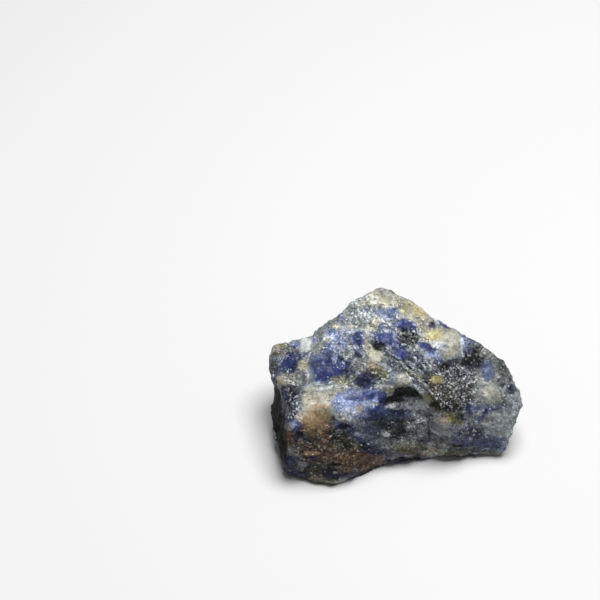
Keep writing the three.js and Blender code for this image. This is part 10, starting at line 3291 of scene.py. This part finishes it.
def tone(k):
    value = calc("MULTIPLY", calc("SUBTRACT", tone_a[k % 3], 0.5), 1.3)
    value = calc("ADD", value, calc("MULTIPLY", calc("SUBTRACT", tone_b[(k + 1) % 3], 0.5), 0.55))
    value = calc("ADD", value, calc("MULTIPLY", calc("SUBTRACT", shard[(k + 2) % 3], 0.5), 0.14))
    value = calc("ADD", value, calc("MULTIPLY", calc("SUBTRACT", tiny[k % 3], 0.5), 0.07))
    value = calc("ADD", value, calc("MULTIPLY", paleness_and_shade, 0.22))
    return calc("ADD", value, 0.5)


tones = [tone(0), tone(1), tone(2)]
best = None
colour = None
for k, kind in enumerate(KINDS):
    held = calc("ADD", weights[k], calc("MULTIPLY", channels[k], calc("MINIMUM", calc("MULTIPLY", weights[k], 3.0), 1.0)))
    paint = ramp(tones[k % 3], kind)
    if best is None:
        best, colour = held, paint
    else:
        colour = blend("MIX", span(calc("SUBTRACT", held, best), -0.32, 0.32), colour, paint)
        best = calc("MAXIMUM", best, held)

# the clear body under the grains
body = node("ShaderNodeAttribute", attribute_type="GEOMETRY", attribute_name="glow").outputs["Vector"]
shade = calc("ADD", 1.0, calc("MULTIPLY", calc("SUBTRACT", tones[1], 0.5), 1.5))
lit = node("ShaderNodeVectorMath", operation="SCALE")
join(body, lit.inputs[0])
join(shade, lit.inputs["Scale"])
colour = blend("MIX", 0.45, colour, lit.outputs[0])

# light and dark grain, alike in colour: random tone in two clouds, and painted glints and painted shade on small
# crystals, each brighter or darker as if it took the light its own way
grit_a = clouds(moved, 1.5, 2.0, 0.6, 101.0).outputs["Fac"]
grit_b = clouds(mm, 3.4, 2.0, 0.6, 103.0).outputs["Fac"]
crystal = three(grains(vec("ADD", moved, (2.0, 9.0, 5.0)), 2.2).outputs["Color"])
small_crystal = three(grains(vec("ADD", moved, (8.0, 1.0, 3.0)), 4.2).outputs["Color"])
grit_and_glint = calc("ADD", calc("MULTIPLY", calc("SUBTRACT", grit_a, 0.5), GRIT_AND_GLINT[0]), calc("MULTIPLY", calc("SUBTRACT", grit_b, 0.5), GRIT_AND_GLINT[1]))


def rare(value):
    """From 0..1 to -1..1, with most of the values near 0."""
    t = calc("MULTIPLY", calc("SUBTRACT", value, 0.5), 2.0)
    return calc("MULTIPLY", calc("MULTIPLY", t, t), t)


grit_and_glint = calc("ADD", grit_and_glint, calc("MULTIPLY", rare(crystal[0]), GRIT_AND_GLINT[2]))
grit_and_glint = calc("ADD", grit_and_glint, calc("MULTIPLY", rare(small_crystal[0]), GRIT_AND_GLINT[3]))
grit_and_glint = calc("MULTIPLY", grit_and_glint, calc("SUBTRACT", calc("ADD", 1.0, calc("MULTIPLY", level, GRIT_AND_GLINT[4])), calc("MULTIPLY", smoothness, 0.74)))
# in granular places more crystals get the same painted glints and shade
sugar_a = three(grains(vec("ADD", moved, (6.0, 4.0, 1.0)), 2.7).outputs["Color"])
sugar_b = three(grains(vec("ADD", moved, (3.0, 2.0, 9.0)), 4.6).outputs["Color"])
sugar = calc("ADD", calc("MULTIPLY", rare(sugar_a[0]), 1.5), calc("MULTIPLY", rare(sugar_b[0]), 1.8))
grit_and_glint = calc("ADD", grit_and_glint, calc("MULTIPLY", sugar, grainy))
gritty_and_glinting = node("ShaderNodeVectorMath", operation="SCALE")
join(colour, gritty_and_glinting.inputs[0])
join(calc("POWER", 2.0, grit_and_glint), gritty_and_glinting.inputs["Scale"])
# painted reflection: the brightest of them are mixed towards white, as if they threw back the light itself
colour = blend("MIX", span(grit_and_glint, 0.25, 1.3, 0.0, 0.24), gritty_and_glinting.outputs[0], linear((136, 137, 138)))

# slanting and level lines
slant = node("ShaderNodeCombineXYZ")
join(vec("DOT_PRODUCT", moved, (0.7071, 0.5, 0.5)), slant.inputs[0])
join(vec("DOT_PRODUCT", mm, (0.0, 0.13, -0.13)), slant.inputs[1])
join(vec("DOT_PRODUCT", mm, (-0.10, 0.07, 0.07)), slant.inputs[2])
slant_noise = clouds(slant.outputs[0], 1.7, 3.0, 0.7, 61.0).outputs["Fac"]
lie = node("ShaderNodeCombineXYZ")
join(vec("DOT_PRODUCT", moved, (0.08, 0.30, 0.95)), lie.inputs[0])
join(vec("DOT_PRODUCT", mm, (0.12, 0.0, 0.0)), lie.inputs[1])
join(vec("DOT_PRODUCT", mm, (0.0, 0.12, 0.0)), lie.inputs[2])
level_noise = clouds(lie.outputs[0], 1.5, 3.0, 0.7, 67.0).outputs["Fac"]
lines = calc("ADD",
             calc("MULTIPLY", slanted, calc("SUBTRACT", slant_noise, 0.5)),
             calc("MULTIPLY", level, calc("MULTIPLY", calc("SUBTRACT", level_noise, 0.5), 0.7)))
colour = blend("MIX", calc("MULTIPLY", span(lines, 0.10, 0.24), 0.55), colour, linear((180, 184, 190)))
colour = blend("MIX", calc("MULTIPLY", span(lines, -0.10, -0.24), 0.70), colour, linear((34, 36, 44)))

# salt and pepper grains
salt = grains(vec("ADD", moved, (5.0, 5.0, 5.0)), 2.8)
salt_r = three(salt.outputs["Color"])
pepper = calc("MULTIPLY", grainy, span(salt_r[0], 0.40, 0.34))
colour = blend("MIX", calc("MULTIPLY", pepper, 0.88), colour, linear((17, 19, 21)))
stain = calc("MULTIPLY", grainy, calc("MULTIPLY", span(salt_r[2], 0.82, 0.86), span(salt_r[0], 0.50, 0.62)))
colour = blend("MIX", calc("MULTIPLY", stain, 0.4), colour, linear((112, 92, 84)))
white = calc("MULTIPLY", grainy, span(salt_r[1], 0.87, 0.90))
colour = blend("MIX", calc("MULTIPLY", white, 0.85), colour, linear((198, 200, 200)))

# scattered white splinters in clusters, lying two ways, partly white mineral and partly painted highlights of gloss on
# cleavage faces, and a few dark specks
cluster = clouds(mm, 0.55, 3.0, 0.7, 91.0).outputs["Fac"]


def splinters(a, b, c, shift):
    lay = node("ShaderNodeCombineXYZ")
    for k, row in enumerate((a, b, c)):
        join(vec("DOT_PRODUCT", vec("ADD", moved, shift), row), lay.inputs[k])
    return three(grains(lay.outputs[0], 1.0).outputs["Color"])


open_place = span(paleness_and_shade, -1.5, -0.6)
way = splinters((2.6, 1.9, 1.9), (0.75, -0.55, -0.55), (0.0, 2.2, -2.2), (2.0, 8.0, 6.0))
odds = calc("SUBTRACT", 1.01, calc("MULTIPLY", calc("MULTIPLY", span(cluster, 0.44, 0.62), calc("MULTIPLY", calc("ADD", 0.08, flecks_and_glints), calc("SUBTRACT", 1.0, calc("MULTIPLY", smoothness, 0.85)))), 0.22))
chosen = span(calc("SUBTRACT", way[0], odds), -0.008, 0.008)
colour = blend("MIX", calc("MULTIPLY", calc("MULTIPLY", chosen, open_place), 0.88), colour, linear((208, 214, 216)))
way_b = splinters((0.9, -0.4, 0.5), (1.0, 3.0, 0.6), (-0.8, 0.6, 3.4), (7.0, 4.0, 1.0))
odds = calc("SUBTRACT", 1.005, calc("MULTIPLY", calc("MULTIPLY", span(cluster, 0.40, 0.58), calc("MULTIPLY", calc("ADD", calc("ADD", 0.10, calc("MULTIPLY", level, 0.25)), flecks_and_glints), calc("SUBTRACT", 1.0, calc("MULTIPLY", smoothness, 0.85)))), 0.09))
chosen = span(calc("SUBTRACT", way_b[0], odds), -0.006, 0.006)
colour = blend("MIX", calc("MULTIPLY", calc("MULTIPLY", chosen, open_place), 0.85), colour, linear((214, 219, 222)))
# painted glints (small highlights, brightened and mixed towards white) and small dark specks, a fifth to a third of a
# millimetre across
tiny_a = three(grains(vec("ADD", moved, (4.0, 6.0, 2.0)), 3.3).outputs["Color"])
tiny_b = three(grains(vec("ADD", mm, (2.0, 1.0, 7.0)), 4.4).outputs["Color"])
place_odds = calc("MULTIPLY", calc("SUBTRACT", 1.0, calc("MULTIPLY", smoothness, 0.85)), calc("ADD", 0.10, flecks_and_glints))
glint = span(calc("SUBTRACT", tiny_a[0], calc("SUBTRACT", 1.0, calc("MULTIPLY", calc("MULTIPLY", span(cluster, 0.42, 0.60), place_odds), 0.15))), -0.01, 0.01)
brighter = node("ShaderNodeVectorMath", operation="SCALE")
join(colour, brighter.inputs[0])
brighter.inputs["Scale"].default_value = 3.0
painted_glint_colour = blend("MIX", 0.42, brighter.outputs[0], linear((206, 212, 220)))
colour = blend("MIX", calc("MULTIPLY", calc("MULTIPLY", glint, open_place), 0.75), colour, painted_glint_colour)
glint = span(calc("SUBTRACT", tiny_b[1], calc("SUBTRACT", 1.0, calc("MULTIPLY", place_odds, 0.06))), -0.01, 0.01)
colour = blend("MIX", calc("MULTIPLY", calc("MULTIPLY", glint, open_place), 0.85), colour, painted_glint_colour)
dark_speck = span(calc("SUBTRACT", tiny_b[2], calc("SUBTRACT", 1.0, calc("MULTIPLY", place_odds, 0.13))), -0.01, 0.01)
colour = blend("MIX", calc("MULTIPLY", dark_speck, 0.72), colour, linear((34, 36, 42)))
specks = span(calc("SUBTRACT", way_b[1], calc("ADD", 0.94, calc("MULTIPLY", smoothness, 0.03))), -0.008, 0.008)
colour = blend("MIX", calc("MULTIPLY", specks, 0.55), colour, linear((36, 38, 42)))

# deeper and paler places: the deeper tone is partly painted shade (the lower front faces, the hollow and the left
# facet) and partly the mineral's own tone
tone_and_shade_scale = calc("POWER", 2.0, calc("SUBTRACT", calc("MULTIPLY", paleness_and_shade, 0.85), 0.20))
scaled = node("ShaderNodeVectorMath", operation="SCALE")
join(colour, scaled.inputs[0])
join(tone_and_shade_scale, scaled.inputs["Scale"])
colour = scaled.outputs[0]

tree.links.new(colour, shader.inputs["Base Color"])

# cleavage: each small grain has its own flat face, tilted its own way
def facets(scale, shift):
    got = grains(vec("ADD", moved, shift), scale)
    away = vec("SUBTRACT", vec("ADD", moved, shift), got.outputs["Position"])
    tilt = vec("SUBTRACT", got.outputs["Color"], (0.5, 0.5, 0.5))
    return three(got.outputs["Color"]), vec("DOT_PRODUCT", away, tilt)


gr, face_a = facets(1.25, (4.0, 3.0, 8.0))
gs, face_b = facets(2.6, (1.0, 6.0, 2.0))
uneven = clouds(mm, 1.6, 3.0, 0.6, 81.0).outputs["Fac"]
ease = calc("SUBTRACT", 1.0, calc("MULTIPLY", smoothness, 0.6))
height = calc("MULTIPLY", calc("ADD", calc("MULTIPLY", face_a, 0.30), calc("MULTIPLY", face_b, 0.16)), ease)
height = calc("MULTIPLY", height, calc("ADD", 1.0, calc("MULTIPLY", level, 1.0)))
height = calc("ADD", height, calc("MULTIPLY", uneven, 0.12))
height = calc("ADD", height, calc("MULTIPLY", lines, 0.20))
bump = node("ShaderNodeBump")
bump.inputs["Strength"].default_value = 1.0
bump.inputs["Distance"].default_value = 0.001
join(height, bump.inputs["Height"])
tree.links.new(bump.outputs[0], shader.inputs["Normal"])

# gloss: cleavage faces shine more or less from grain to grain, and places of deeper tone are duller
dull = calc("ADD", 0.40, calc("MULTIPLY", calc("SUBTRACT", gr[0], 0.5), 0.25))
dull = calc("ADD", dull, calc("MULTIPLY", calc("SUBTRACT", gs[1], 0.5), 0.25))
dull = calc("ADD", dull, calc("MULTIPLY", calc("SUBTRACT", tone_b[0], 0.5), 0.30))
dull = calc("ADD", calc("MINIMUM", calc("MAXIMUM", dull, 0.14), 0.80), span(paleness_and_shade, -0.4, -1.5, 0.0, 0.5))
tree.links.new(calc("MINIMUM", dull, 0.96), shader.inputs["Roughness"])
shader.inputs["Specular IOR Level"].default_value = 0.25
shader.inputs["IOR"].default_value = 1.49

mesh.materials.append(mat)
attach(stone, "root")
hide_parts("sodalite_stone")

# ---------------------------------------------------------------- floor, light and camera
ground = bpy.data.meshes.new("floor")
ground.from_pydata([(-3, -3, 0), (3, -3, 0), (3, 3, 0), (-3, 3, 0)], [], [(0, 1, 2, 3)])
ground_mat = bpy.data.materials.new("pale_floor")
ground_mat.use_nodes = True
ground_shader = ground_mat.node_tree.nodes["Principled BSDF"]
ground_shader.inputs["Base Color"].default_value = (0.72, 0.72, 0.72, 1)
ground_shader.inputs["Roughness"].default_value = 0.95
ground_shader.inputs["Specular IOR Level"].default_value = 0.0
ground.materials.append(ground_mat)
floor = bpy.data.objects.new("floor", ground)
bpy.context.collection.objects.link(floor)


def lamp(name, place, size, watts, target=(0.0, 0.0, 0.012)):
    light = bpy.data.lights.new(name, "AREA")
    light.shape = "DISK"
    light.size = size
    light.energy = watts
    ob = bpy.data.objects.new(name, light)
    ob.location = place
    ob.rotation_euler = (Vector(target) - Vector(place)).to_track_quat("-Z", "Y").to_euler()
    bpy.context.collection.objects.link(ob)


lamp("overhead", (0.09, 0.04, 0.62), 0.42, 5.2)

world = bpy.data.worlds.new("studio")
world.use_nodes = True
world.node_tree.nodes["Background"].inputs["Color"].default_value = (1.0, 1.0, 1.0, 1)
world.node_tree.nodes["Background"].inputs["Strength"].default_value = 0.15
bpy.context.scene.world = world
bpy.context.scene.view_settings.view_transform = "Standard"

view = bpy.data.cameras.new("camera")
view.lens = 120
view.sensor_width = 36
view.clip_start = 0.01
eye = bpy.data.objects.new("camera", view)
eye.location = (-0.019194, -0.273663, 0.309147)
eye.rotation_euler = (math.radians(45), 0, 0)
bpy.context.collection.objects.link(eye)
bpy.context.scene.camera = eye
